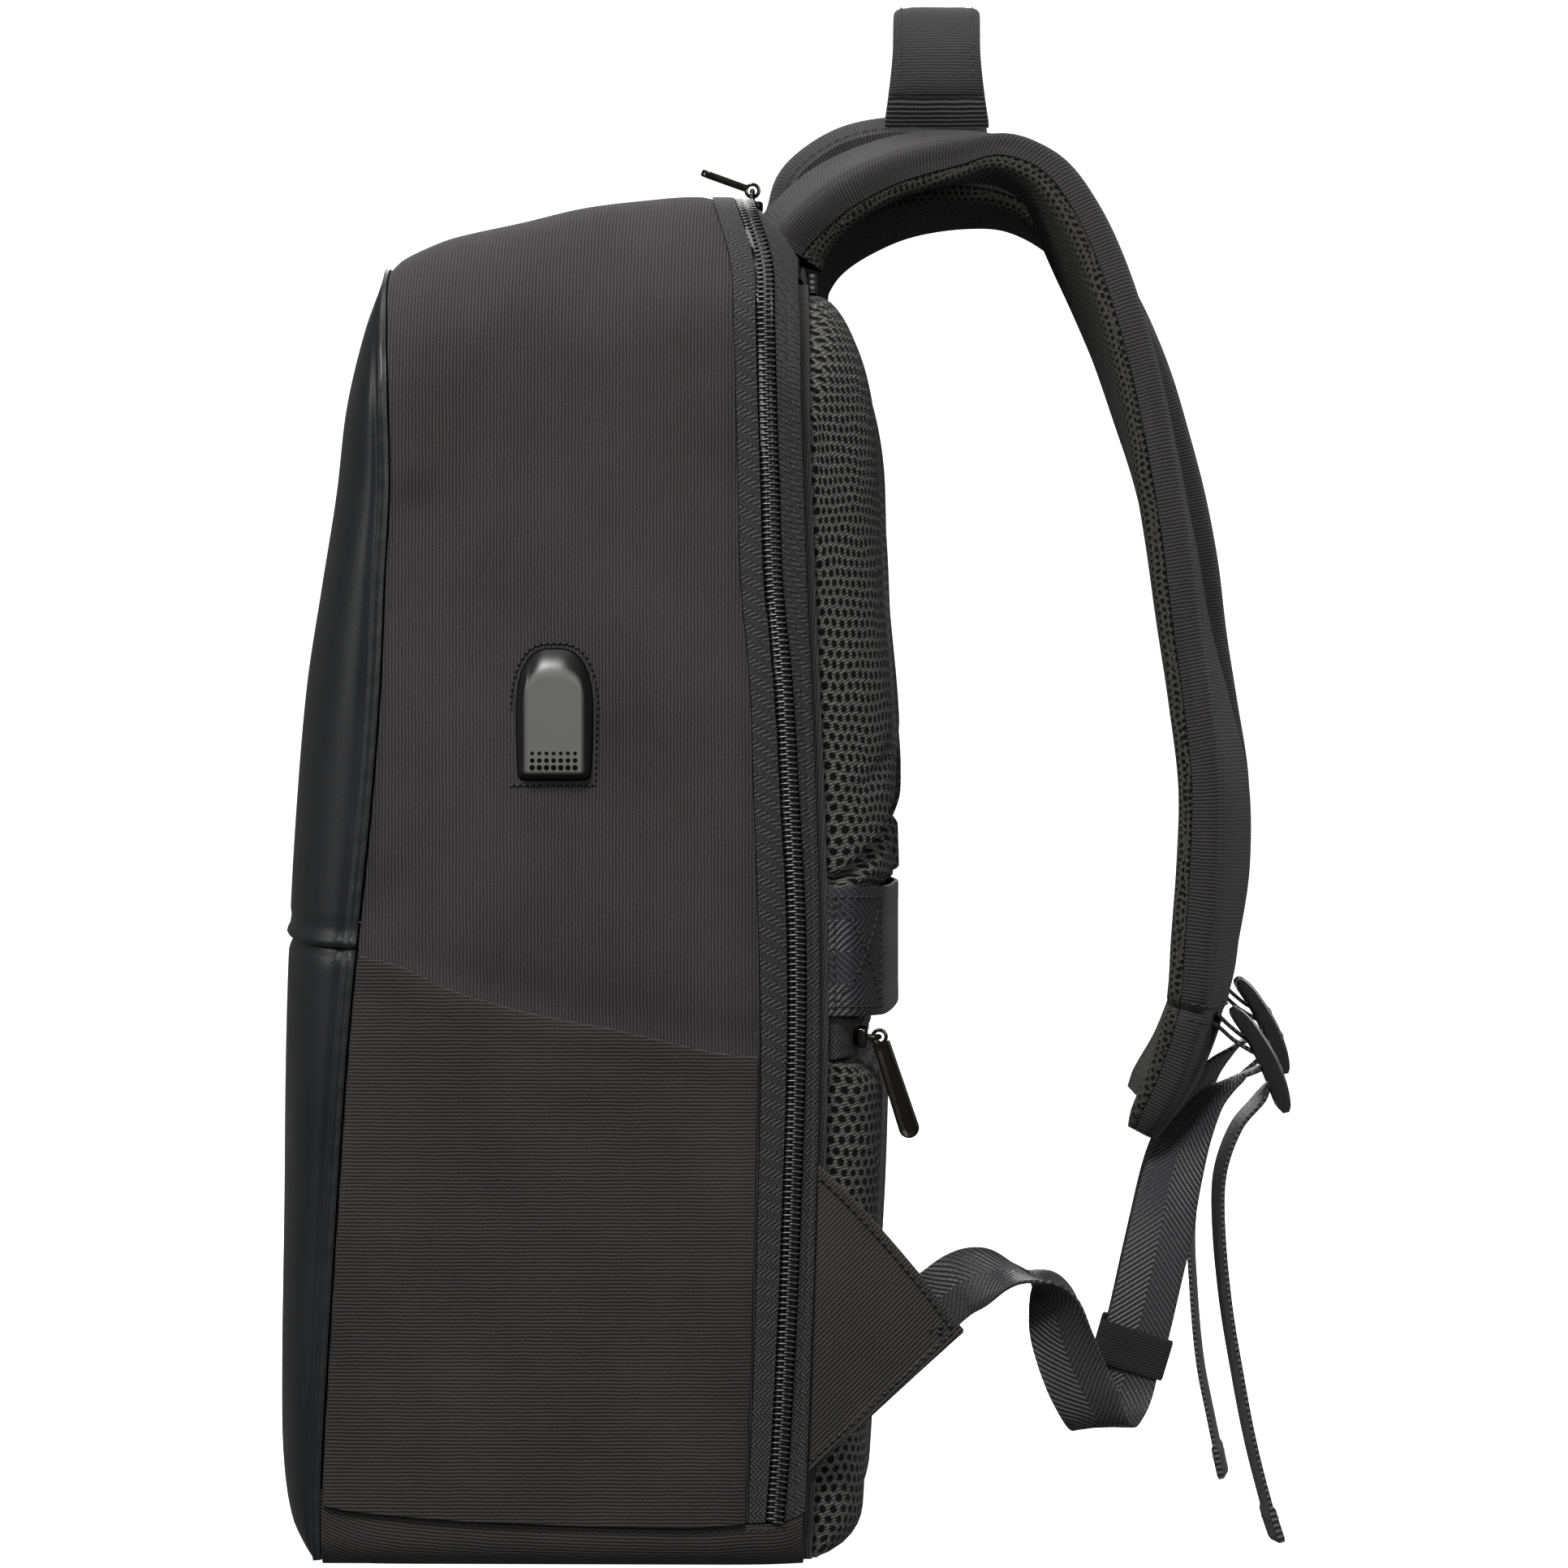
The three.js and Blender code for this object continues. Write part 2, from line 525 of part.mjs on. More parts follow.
// The arch runs up the right side (0 to 1), round the corner (1 to 2), over the top to the
// middle (3) and down the left side in the same way (to 6).
function archPoint(place, y, lift) {
  const side = place <= 3 ? 1 : -1;
  const leg = place <= 3 ? place : 6 - place;
  const half = BODY_WIDTH / 2 - sideDraw(y) + lift;
  const height = BODY_HEIGHT - topDrop(y) + lift;
  const radius = TOP_CORNER_RADIUS + lift;
  if (leg <= 1) {
    return vec(side * half, y, lerp(baseEdge(y) + 2 * GAP, height - radius, leg));
  }
  if (leg <= 2) {
    const angle = (leg - 1) * Math.PI / 2;
    const inward = radius * (1 - Math.cos(angle));
    return vec(side * (half - inward), y, height - radius * (1 - Math.sin(angle)));
  }
  const toCorner = 3 - leg;
  return vec(side * (half - radius) * toCorner, y, height + TOP_CROWN * (1 - toCorner * toCorner));
}

function archPlaces() {
  const half = [];
  for (let i = 0; i < ARCH_SIDE_STEPS; i += 1) {
    half.push(i / ARCH_SIDE_STEPS);
  }
  for (let i = 0; i < ARCH_CORNER_STEPS; i += 1) {
    half.push(1 + i / ARCH_CORNER_STEPS);
  }
  for (let i = 0; i < ARCH_TOP_STEPS; i += 1) {
    half.push(2 + i / ARCH_TOP_STEPS);
  }
  return [...half, 3, ...half.map((place) => 6 - place).reverse()];
}

// Depth of a point on the arch that lies between two lines of the table of sections.
function archDepth(place, from, to, t) {
  let z = BODY_HEIGHT * Math.min(place, 6 - place, 1);
  for (let round = 0; round < 5; round += 1) {
    z = archPoint(place, lerp(from(z), to(z), t), 0).z;
  }
  return lerp(from(z), to(z), t);
}

// One band of the body's outside between two lines of the table of sections.
function archBand({ from, to, steps, wall, lift = 0, crown = 0 }) {
  const outer = [];
  const inner = [];
  for (let i = 0; i <= steps; i += 1) {
    const t = i / steps;
    const bump = lift + crown * 4 * t * (1 - t);
    const depthAt = (place) => archDepth(place, from, to, t);
    outer.push(archPlaces().map((place) => archPoint(place, depthAt(place), bump)));
    inner.push(archPlaces().map((place) => archPoint(place, depthAt(place), lift - wall(t))));
  }
  return wallGeometry(outer, inner);
}

function gusset() {
  addPiece('gusset', 'cloth', archBand({
    from: (z) => sideLine('seam', z) + 2 * GAP,
    to: (z) => sideLine('tape', z) - GAP,
    steps: 7,
    wall: () => CLOTH,
  }));
}

function mainZip() {
  const coilFront = (z) => sideLine('coil', z) - COIL_WIDTH / 2;
  const coilBack = (z) => sideLine('coil', z) + COIL_WIDTH / 2;
  addPiece('zip_tape_front', 'cloth', archBand({
    from: (z) => sideLine('tape', z),
    to: (z) => coilFront(z) - GAP,
    steps: 1,
    wall: () => TAPE_THICKNESS,
  }));
  addPiece('zip_coil', 'zip', archBand({
    from: coilFront,
    to: coilBack,
    steps: 2,
    wall: () => COIL_THICKNESS,
    crown: COIL_LIFT,
  }));
  addPiece('zip_tape_back', 'cloth', archBand({
    from: (z) => coilBack(z) + GAP,
    to: (z) => sideLine('back', z),
    steps: 3,
    wall: (t) => lerp(TAPE_THICKNESS, BACK_SEAM_WALL, t * t),
  }));
}

// Leather front: each height is a rounded slab in plan, from seam to seam.
function leatherHalfWidth(z, inset) {
  const half = BODY_WIDTH / 2 - sideDraw(sideLine('seam', BODY_HEIGHT)) - inset;
  const radius = TOP_CORNER_RADIUS - inset;
  const above = Math.min(Math.max(z - (frontTop - inset - radius), 0), radius);
  return half - radius + Math.sqrt(radius * radius - above * above);
}

function leatherPoint(turn, share, lowEdge, highEdge, inset) {
  const angle = turn * Math.PI;
  const across = Math.sign(Math.cos(angle)) * Math.abs(Math.cos(angle)) ** (1 / 3);
  const low = lowEdge(across);
  const high = highEdge(across) - (highEdge.isTop ? inset : 0);
  const z = lerp(low, high, share);
  const half = leatherHalfWidth(Math.min(z, frontTop - inset), inset);
  const bulge = Math.max(leatherBulge(z) - inset, 0.05);
  return vec(across * half, sideLine('seam', z) - bulge * Math.sin(angle), z);
}

function leatherPanel(name, lowEdge, highEdge, heights) {
  const turns = 18;
  const grid = (inset) => {
    const rows = [];
    for (const share of heights) {
      const row = [];
      for (let i = 0; i <= turns; i += 1) {
        row.push(leatherPoint(i / turns, share, lowEdge, highEdge, inset));
      }
      rows.push(row);
    }
    return rows;
  };
  addPiece(name, 'leather', wallGeometry(grid(0), grid(LEATHER)));
}

function leatherFront() {
  const panelSeam = (across) => PANEL_SEAM_HEIGHT - PANEL_SEAM_DIP * across ** 4;
  const topEdge = (across) => frontTop + TOP_CROWN * Math.max(1 - (across * 1.5) ** 2, 0);
  topEdge.isTop = true;
  const footEdge = () => LEATHER_FOOT;
  leatherPanel('front_lower_panel', footEdge, (across) => panelSeam(across) - GAP / 2,
    [0, 0.03, 0.07, 0.14, 0.3, 0.55, 0.78, 1]);
  leatherPanel('front_upper_panel', (across) => panelSeam(across) + GAP / 2, topEdge,
    [0, 0.18, 0.36, 0.52, 0.68, 0.8, 0.89, 0.95, 0.985, 1]);
}

// Base: a tray whose section runs down one side, along the floor and up the other.
function basePoint(turn, y, inset) {
  const half = BODY_WIDTH / 2 - sideDraw(y) - inset;
  const radius = BASE_EDGE_RADIUS - inset;
  const side = turn < 0.5 ? 1 : -1;
  const leg = 1 - Math.abs(2 * turn - 1);
  const wallShare = 0.2;
  const cornerShare = 0.7;
  if (leg <= wallShare) {
    return vec(side * half, y, lerp(baseEdge(y), BASE_EDGE_RADIUS, leg / wallShare));
  }
  if (leg <= cornerShare) {
    const angle = (leg - wallShare) / (cornerShare - wallShare) * Math.PI / 2;
    const low = BASE_EDGE_RADIUS - radius * Math.sin(angle);
    return vec(side * (half - radius + radius * Math.cos(angle)), y, low);
  }
  return vec(side * (half - radius) * (1 - (leg - cornerShare) / (1 - cornerShare)), y, inset);
}

function base() {
  const turns = [0, 0.1, 0.16, 0.225, 0.29, 0.35, 0.5, 0.65, 0.71, 0.775, 0.84, 0.9, 1];
  const front = sideLine('seam', 0) + GAP;
  const back = sideLine('back', 0);
  const steps = [0, 0.04, 0.1, 0.16, 0.23, 0.36, 0.5, 0.68, 0.84, 0.9, 0.95, 1];
  const section = (y, inset) => turns.map((turn) => basePoint(turn, y, inset));
  const grid = (inset) => steps.map((t) => section(lerp(front, back, t), inset));
  addPiece('base_panel', 'cloth', wallGeometry(grid(0), grid(BASE_WALL)));
}

function sidePocket(name, side) {
  const columns = 9;
  const rows = 5;
  const front = sideLine('seam', POCKET_HEIGHT) + POCKET_MARGIN;
  const back = sideLine('tape', POCKET_HEIGHT) - POCKET_MARGIN;
  const grid = (out) => {
    const points = [];
    for (let r = 0; r <= rows; r += 1) {
      const row = [];
      for (let c = 0; c <= columns; c += 1) {
        const nominal = lerp(front, back, c / columns);
        const z = lerp(baseEdge(nominal) + GAP, pocketEdge(nominal), r / rows);
        const rowFront = sideLine('seam', z) + POCKET_MARGIN;
        const rowBack = sideLine('tape', z) - POCKET_MARGIN;
        const y = lerp(rowFront, rowBack, c / columns);
        row.push(vec(side * (BODY_WIDTH / 2 - sideDraw(y) + out), y, z));
      }
      points.push(row);
    }
    return points;
  };
  addPiece(`side_pocket_${name}`, 'cloth', wallGeometry(grid(2 * GAP + POCKET_CLOTH), grid(2 * GAP)));
}

// Back

const backHalf = BODY_WIDTH / 2 - BACK_EDGE_INSET;
const backPanelTop = BODY_HEIGHT - BACK_TOP_INSET;
const backFace = (z) => backLine(z) + GAP + BACK_PANEL;

// Upper end of a column of the back whose outline lies inset from the panel's.
function backColumnTop(x, inset) {
  const half = backHalf - inset;
  const radius = TOP_CORNER_RADIUS - inset;
  const past = Math.min(Math.max(Math.abs(x) - (half - radius), 0), radius);
  return backPanelTop - inset - radius + Math.sqrt(radius * radius - past * past);
}

function backColumns(half, steps) {
  const columns = [];
  for (let i = 0; i <= steps; i += 1) {
    columns.push(half * Math.sin((i / steps - 0.5) * Math.PI));
  }
  return columns;
}

// A slab on the back: every column runs from its bottom to its top, and the outer face
// stands off the seat by a thickness that depends on the place.
function backSlab({ name, material, half, steps, rows, bottom, top, seat, thickness }) {
  const columns = backColumns(half, steps);
  const grid = (out) => rows.map((t) => columns.map((x) => {
    const z = lerp(bottom(x), top(x), t);
    return vec(x, seat(z) + (out ? thickness(x, z) : 0), z);
  }));
  addPiece(name, material, wallGeometry(grid(true), grid(false)));
}

// Rise of a round edge from 0 at the rim to 1 at the given radius.
function roundEdge(distance, radius) {
  const t = Math.min(Math.max(1 - distance / radius, 0), 1);
  return Math.sqrt(1 - t * t);
}

function padThickness(x, z, { full, half, sideRadius, topRadius, bottomRadius, top, bottom, lip }) {
  const side = roundEdge(half - Math.abs(x), sideRadius);
  const upper = roundEdge(top(x) - z, topRadius);
  const lower = roundEdge(z - bottom(x), bottomRadius);
  return lip + (full - lip) * side * upper * lower;
}

function backPanel() {
  backSlab({
    name: 'back_panel',
    material: 'cloth',
    half: backHalf,
    steps: 12,
    rows: [0, 0.12, 0.25, 0.37, 0.5, 0.63, 0.75, 0.88, 1],
    bottom: () => LOWER_PAD_FOOT,
    top: (x) => backColumnTop(x, 0),
    seat: (z) => backLine(z) + GAP,
    thickness: () => BACK_PANEL,
  });
}

const padSeat = (z) => backFace(z) + GAP;
const upperPadHalf = backHalf - PAD_INSET;
const upperPadBottom = (x) => UPPER_PAD_SIDE_HEIGHT + UPPER_PAD_ARCH * (1 - (x / upperPadHalf) ** 2);

function upperBackPad() {
  const shape = {
    full: UPPER_PAD_THICKNESS,
    half: upperPadHalf,
    sideRadius: PAD_SIDE_RADIUS,
    topRadius: UPPER_PAD_TOP_RADIUS,
    bottomRadius: UPPER_PAD_FOOT_RADIUS,
    top: (x) => backColumnTop(x, PAD_INSET),
    bottom: upperPadBottom,
    lip: PAD_LIP,
  };
  const tall = backPanelTop - upperPadBottom(0);
  const slimmer = (z) => lerp(0.87, 1, Math.min((backPanelTop - z) / tall, 1));
  const channel = (x) => CHANNEL_DEPTH * Math.exp(-((2 * x / CHANNEL_WIDTH) ** 2));
  backSlab({
    name: 'upper_back_pad',
    material: 'mesh',
    half: upperPadHalf,
    steps: 18,
    rows: [0, 0.015, 0.05, 0.2, 0.4, 0.6, 0.76, 0.87, 0.95, 1],
    bottom: shape.bottom,
    top: shape.top,
    seat: padSeat,
    thickness: (x, z) => Math.max(padThickness(x, z, shape) * slimmer(z) - channel(x), shape.lip),
  });
}

const lumbarTop = (x) => upperPadBottom(x) - PAD_SPACING;
const lumbarShape = {
  full: LUMBAR_THICKNESS,
  half: upperPadHalf,
  sideRadius: PAD_SIDE_RADIUS,
  topRadius: LUMBAR_TOP_RADIUS,
  bottomRadius: LUMBAR_FOOT_RADIUS,
  top: lumbarTop,
  bottom: () => LUMBAR_BOTTOM,
  lip: PAD_LIP,
};

const lumbarRecessHalf = BODY_WIDTH / 2 - LUMBAR_RECESS_MARGIN;

function lumbarThickness(x, z) {
  const edge = Math.abs(x) - lumbarRecessHalf;
  const recess = LUMBAR_RECESS * (1 - THREE.MathUtils.smoothstep(edge, -14, 4));
  return Math.max(padThickness(x, z, lumbarShape) - recess, lumbarShape.lip);
}

function lumbarPad() {
  backSlab({
    name: 'lumbar_pad',
    material: 'mesh',
    half: upperPadHalf,
    steps: 20,
    rows: [0, 0.08, 0.4, 0.7, 0.9, 0.97, 1],
    bottom: lumbarShape.bottom,
    top: lumbarTop,
    seat: padSeat,
    thickness: lumbarThickness,
  });
}

const stripTop = LUMBAR_BOTTOM - GAP;
const stripShape = {
  full: STRIP_THICKNESS,
  half: upperPadHalf,
  sideRadius: STRIP_SIDE_RADIUS,
  topRadius: STRIP_EDGE_RADIUS,
  bottomRadius: STRIP_EDGE_RADIUS,
  top: () => stripTop,
  bottom: () => STRIP_BOTTOM,
  lip: PAD_LIP,
};

function pocketStrip() {
  backSlab({
    name: 'pocket_strip',
    material: 'cloth',
    half: upperPadHalf,
    steps: 14,
    rows: [0, 0.5, 1],
    bottom: stripShape.bottom,
    top: stripShape.top,
    seat: padSeat,
    thickness: (x) => padThickness(x, (STRIP_BOTTOM + stripTop) / 2, stripShape),
  });
}

const lowerPadHalf = BODY_WIDTH / 2 - LOWER_PAD_INSET;

function lowerBackPad() {
  const shape = {
    full: LOWER_PAD_THICKNESS,
    half: lowerPadHalf,
    sideRadius: LOWER_PAD_SIDE_RADIUS,
    topRadius: LOWER_PAD_TOP_RADIUS,
    bottomRadius: LOWER_PAD_FOOT_RADIUS,
    top: () => STRIP_BOTTOM - GAP,
    bottom: () => LOWER_PAD_FOOT,
    lip: PAD_LIP,
  };
  const slimmer = (z) => lerp(0.84, 1, Math.min(z / STRIP_BOTTOM, 1));
  backSlab({
    name: 'lower_back_pad',
    material: 'mesh',
    half: lowerPadHalf,
    steps: 14,
    rows: [0, 0.03, 0.09, 0.3, 0.6, 0.88, 0.95, 0.985, 1],
    bottom: shape.bottom,
    top: shape.top,
    seat: padSeat,
    thickness: (x, z) => padThickness(x, z, shape) * slimmer(z),
  });
}

// The luggage strap follows the slopes at its ends and spans the recess between them.
function luggageStrap() {
  const rest = LUGGAGE_STRAP_BOTTOM + LUGGAGE_STRAP_WIDTH / 2;
  const shoulder = lumbarRecessHalf + LUGGAGE_STRAP_SHOULDER;
  const places = [];
  const widths = [];
  const steps = 20;
  const end = upperPadHalf - 1;
  const surface = (x) => padSeat(rest) + padThickness(x, rest, lumbarShape);
  for (let i = 0; i <= steps; i += 1) {
    const x = end * Math.sin((i / steps - 0.5) * Math.PI);
    const bowed = surface(shoulder) + LUGGAGE_STRAP_BOW * (1 - (x / shoulder) ** 2);
    const on = Math.abs(x) > shoulder ? surface(x) : bowed;
    places.push(vec(x, on, rest));
    widths.push(vec(0, 0, -1));
  }
  const lift = LUGGAGE_WEBBING / 2 + 2 * GAP;
  const frames = bandFrames(places, widths);
  addPiece('luggage_strap', 'webbing', flatBand(frames, LUGGAGE_STRAP_WIDTH, LUGGAGE_WEBBING, lift));
}

// Yoke, shoulder straps and handle

function topSurface(x, y) {
  const half = BODY_WIDTH / 2 - sideDraw(y) - TOP_CORNER_RADIUS;
  return BODY_HEIGHT - topDrop(y) + TOP_CROWN * Math.max(1 - (x / half) ** 2, 0);
}

// The yoke and the straps start behind the zip's top.
const zipTop = sideLine('coil', BODY_HEIGHT);
const yokeStart = zipTop + YOKE_BEHIND_ZIP;
const yokeRoot = vec(0, yokeStart, topSurface(0, yokeStart) + YOKE_ROOT_LIFT);

function yokePlaces() {
  const place = (row) => vec(0, yokeRoot.y + row.out * YOKE_REACH, yokeRoot.z + row.rise * YOKE_RISE);
  return YOKE_SECTIONS.map(place);
}

function yoke() {
  const places = yokePlaces();
  const frames = bandFrames(places, places.map(() => vec(-1, 0, 0)));
  const half = YOKE_THICKNESS / 2;
  const rings = frames.map((frame, i) => {
    const wide = YOKE_SECTIONS[i].half * STRAP_SPREAD;
    const last = i === frames.length - 1 ? 0.6 : 1;
    return [
      [-wide, -half], [0, -half], [wide, -half], [wide, -half * 0.5], [wide * 0.8, -half * 0.1],
      [wide * 0.4, half * 0.75], [0, half], [-wide * 0.4, half * 0.75], [-wide * 0.8, -half * 0.1],
      [-wide, -half * 0.5],
    ].map(([across, out]) => bandPoint(frame, across, out * last));
  });
  addPiece('yoke', 'cloth', loftGeometry(rings));
}

const strapStart = zipTop + STRAP_BEHIND_ZIP;
const strapRoot = vec(0, strapStart, topSurface(0, strapStart) - TOP_CROWN + STRAP_ROOT_LIFT);

function strapPlace(row, side) {
  const further = side < 0 ? row.left : 0;
  return vec(
    side * row.aside * STRAP_SPREAD,
    strapRoot.y + row.out * STRAP_REACH + further * LEFT_STRAP_OUT,
    strapRoot.z + row.rise * STRAP_RISE - row.fall * STRAP_FALL + further * row.fall * LEFT_STRAP_UP,
  );
}

function strapFrames(side) {
  const places = STRAP_SECTIONS.map((row) => strapPlace(row, side));
  const rollShare = side > 0 ? 1 : -LEFT_STRAP_ROLL;
  const level = bandFrames(places, places.map(() => vec(-1, 0, 0)));
  const turned = level.map((frame, i) => {
    const roll = rollShare * THREE.MathUtils.degToRad(STRAP_SECTIONS[i].roll);
    return frame.across.clone().multiplyScalar(Math.cos(roll)).addScaledVector(frame.normal, Math.sin(roll));
  });
  return bandFrames(places, turned);
}

function shoulderStrap(name, side) {
  const frames = strapFrames(side);
  const whole = STRAP_CLOTH + STRAP_MESH;
  const clothRings = [];
  const meshRings = [];
  frames.forEach((frame, i) => {
    const half = STRAP_SECTIONS[i].wide * STRAP_WIDTH / 2;
    const thick = STRAP_SECTIONS[i].thick;
    const split = (STRAP_MESH - whole / 2) * thick;
    const outer = whole / 2 * thick;
    clothRings.push([
      [-half, split + GAP / 2], [half, split + GAP / 2], [half, outer * 0.5],
      [half - 4, outer * 0.93], [0, outer * 1.04], [-half + 4, outer * 0.93], [-half, outer * 0.5],
    ].map(([across, out]) => bandPoint(frame, across, out)));
    meshRings.push([
      [-half + 0.5, split - GAP / 2], [half - 0.5, split - GAP / 2], [half - 1.2, -outer * 0.72],
      [half - 4.5, -outer], [-half + 4.5, -outer], [-half + 1.2, -outer * 0.72],
    ].map(([across, out]) => bandPoint(frame, across, out)));
  });
  addPiece(`strap_cloth_${name}`, 'cloth', loftGeometry(clothRings));
  addPiece(`strap_mesh_${name}`, 'mesh', loftGeometry(meshRings));
}

const handleDepth = yokeStart + HANDLE_BEHIND_YOKE;

// Handle: a webbing loop across the bag, with a padded sleeve over all but its feet.
function handlePlace(angle) {
  const across = -Math.cos(angle);
  const up = Math.sin(angle);
  const squarer = (value) => Math.sign(value) * Math.abs(value) ** 0.75;
  const sleeveFoot = HANDLE_FOOT + HANDLE_LEG_HEIGHT;
  const rise = HANDLE_TOP - HANDLE_SLEEVE / 2 - sleeveFoot;
  return vec(squarer(across) * HANDLE_SPAN / 2, handleDepth, sleeveFoot + squarer(up) * rise);
}

function handle() {
  const steps = 14;
  const places = [];
  const widths = [];
  for (let i = 0; i <= steps; i += 1) {
    places.push(handlePlace(i / steps * Math.PI));
    widths.push(vec(0, 1, 0));
  }
  const frames = bandFrames(places, widths);
  const rings = frames.map((frame, i) => {
    const atFoot = i === 0 || i === steps;
    const thick = (atFoot ? 0.62 : 1) * HANDLE_SLEEVE / 2;
    const half = HANDLE_WIDTH / 2;
    return [
      [-half + 3, -thick], [half - 3, -thick], [half, -thick * 0.35], [half, thick * 0.35],
      [half - 3, thick], [-half + 3, thick], [-half, thick * 0.35], [-half, -thick * 0.35],
    ].map(([across, out]) => bandPoint(frame, across, out));
  });
  addPiece('handle_sleeve', 'webbing', loftGeometry(rings));
  forBothSides(handleLeg);
}

function handleLeg(name, side) {
  const foot = HANDLE_FOOT;
  const half = HANDLE_WIDTH / 2;
  const flare = HANDLE_FLARE / 2;
  const x = side * HANDLE_SPAN / 2;
  const ring = (z, halfWide, inward) => [-1, 1].flatMap((edge) => [
    vec(x - inward - edge * HANDLE_WEBBING / 2, handleDepth - edge * halfWide, z),
    vec(x - inward - edge * HANDLE_WEBBING / 2, handleDepth + edge * halfWide, z),
  ]);
  const sleeveFoot = HANDLE_FOOT + HANDLE_LEG_HEIGHT - GAP;
  addPiece(`handle_leg_${name}`, 'webbing', loftGeometry([
    ring(foot, half + flare, side * 6),
    ring(lerp(foot, sleeveFoot, 0.5), half + flare / 3, side * 2),
    ring(sleeveFoot, half, 0),
  ]));
}

// Wings, webbing and buckles

const wingOuter = BODY_WIDTH / 2 - SIDE_ROUNDING - GAP;
const wingMiddle = wingOuter - WING_THICKNESS / 2;

// Outline of a wing from its lower root round its tip, as shares of its reach and of the
// height of the right wing's upper root. The left wing droops.
function wingOutline(side) {
  const up = side > 0 ? 'rightUp' : 'leftUp';
  return WING_OUTLINE.map((row) => {
    const z = row[up] * WING_TOP;
    return [backLine(z) + GAP + row.out * WING_REACH, z];
  });
}

function wing(name, side) {
  const ring = (x) => wingOutline(side).map(([y, z]) => vec(side * x, y, z));
  const inner = wingOuter - WING_THICKNESS;
  addPiece(`wing_${name}`, 'cloth', loftGeometry([ring(inner), ring(wingOuter)]));
}

// Buckle frame: its own plane leans out, with places along it and out of it.
function buckleFrame(side) {
  const endRow = STRAP_SECTIONS.find((row) => row.fall > 0.85);
  const seam = strapPlace(endRow, side);
  const lean = THREE.MathUtils.degToRad(BUCKLE_LEAN);
  return {
    origin: vec(side * STRAP_SPREAD, seam.y + 13.5, seam.z - 1.5),
    down: vec(0, Math.sin(lean), -Math.cos(lean)),
    out: vec(0, Math.cos(lean), Math.sin(lean)),
  };
}

function bucklePoint(frame, along, out, x = 0) {
  return frame.origin.clone().addScaledVector(frame.down, along).addScaledVector(frame.out, out).add(vec(x, 0, 0));
}

const buckleBow = (along) => BUCKLE_BOW * (4 * along / BUCKLE_LENGTH * (1 - along / BUCKLE_LENGTH));

function buckleBar(frame, along, radius, sides) {
  const length = WEBBING_WIDTH + 2 * BUCKLE_RAIL;
  const bar = new THREE.CylinderGeometry(radius, radius, length, sides);
  bar.rotateZ(Math.PI / 2);
  const at = bucklePoint(frame, along, buckleBow(along));
  bar.translate(at.x, at.y, at.z);
  return bar;
}

function buckle(name, side) {
  const frame = buckleFrame(side);
  const rails = [-1, 1].map((edge) => {
    const ring = (x) => {
      const places = [0, 0.06, 0.3, 0.55, 0.8, 0.97, 1].map((share) => share * BUCKLE_LENGTH);
      const thick = places.map((along, i) => BUCKLE_THICKNESS / 2 * [0.5, 0.85, 1, 1, 1, 0.75, 0.45][i]);
      const outerSide = places.map((along, i) => bucklePoint(frame, along, buckleBow(along) + thick[i], x));
      const innerSide = places.map((along, i) => bucklePoint(frame, along, buckleBow(along) - thick[i], x));
      return [...outerSide, ...innerSide.reverse()];
    };
    const near = WEBBING_WIDTH / 2 + 0.7;
    return railGeometry(ring(edge * near), ring(edge * (near + BUCKLE_RAIL)));
  });
  const bars = [
    buckleBar(frame, BUCKLE_THICKNESS / 2, BUCKLE_THICKNESS / 2.4, 8),
    buckleBar(frame, CONNECTOR_BAR_PLACE, BUCKLE_BAR_RADIUS, 8),
    buckleBar(frame, WEBBING_BAR_PLACE, BUCKLE_BAR_RADIUS, 8),
    buckleBar(frame, BUCKLE_LENGTH - BUCKLE_THICKNESS / 2, BUCKLE_THICKNESS / 2.4, 8),
  ];
  addPiece(`buckle_${name}`, 'plastic', joined([...rails, ...bars]));
}

// Bent strip between two outlines whose halves face each other point by point.
function railGeometry(first, second) {
  const count = first.length;
  const vertices = [...first, ...second];
  const triangles = [];
  for (let k = 0; k < count; k += 1) {
    const next = (k + 1) % count;
    triangles.push([k, next, count + next], [k, count + next, count + k]);
  }
  for (let k = 0; k < count / 2 - 1; k += 1) {
    const far = count - 1 - k;
    triangles.push([k, far - 1, k + 1], [k, far, far - 1]);
    triangles.push([count + k, count + k + 1, count + far - 1], [count + k, count + far - 1, count + far]);
  }
  return closedGeometry(vertices, triangles);
}

// Connector: webbing from the strap's seam round its bar and back.
function connector(name, side) {
  const frame = buckleFrame(side);
  const wrap = BUCKLE_BAR_RADIUS + GAP + CONNECTOR_WEBBING / 2;
  const bow = buckleBow(CONNECTOR_BAR_PLACE);
  const path = [[-1.2, -5.4], [5, -3.2], [10.5, -0.2]];
  for (const degrees of [60, 20, -20, -60, -100, -140]) {
    const angle = THREE.MathUtils.degToRad(degrees);
    path.push([CONNECTOR_BAR_PLACE - wrap * Math.sin(angle), bow + wrap * Math.cos(angle)]);
  }
  path.push([9.5, -4], [4.2, -6.2], [0.2, -8]);
  const places = path.map(([along, out]) => bucklePoint(frame, along, out));
  const widths = places.map(() => vec(1, 0, 0));
  const frames = bandFrames(places, widths);
  addPiece(`connector_${name}`, 'webbing', flatBand(frames, CONNECTOR_WIDTH, CONNECTOR_WEBBING));
}

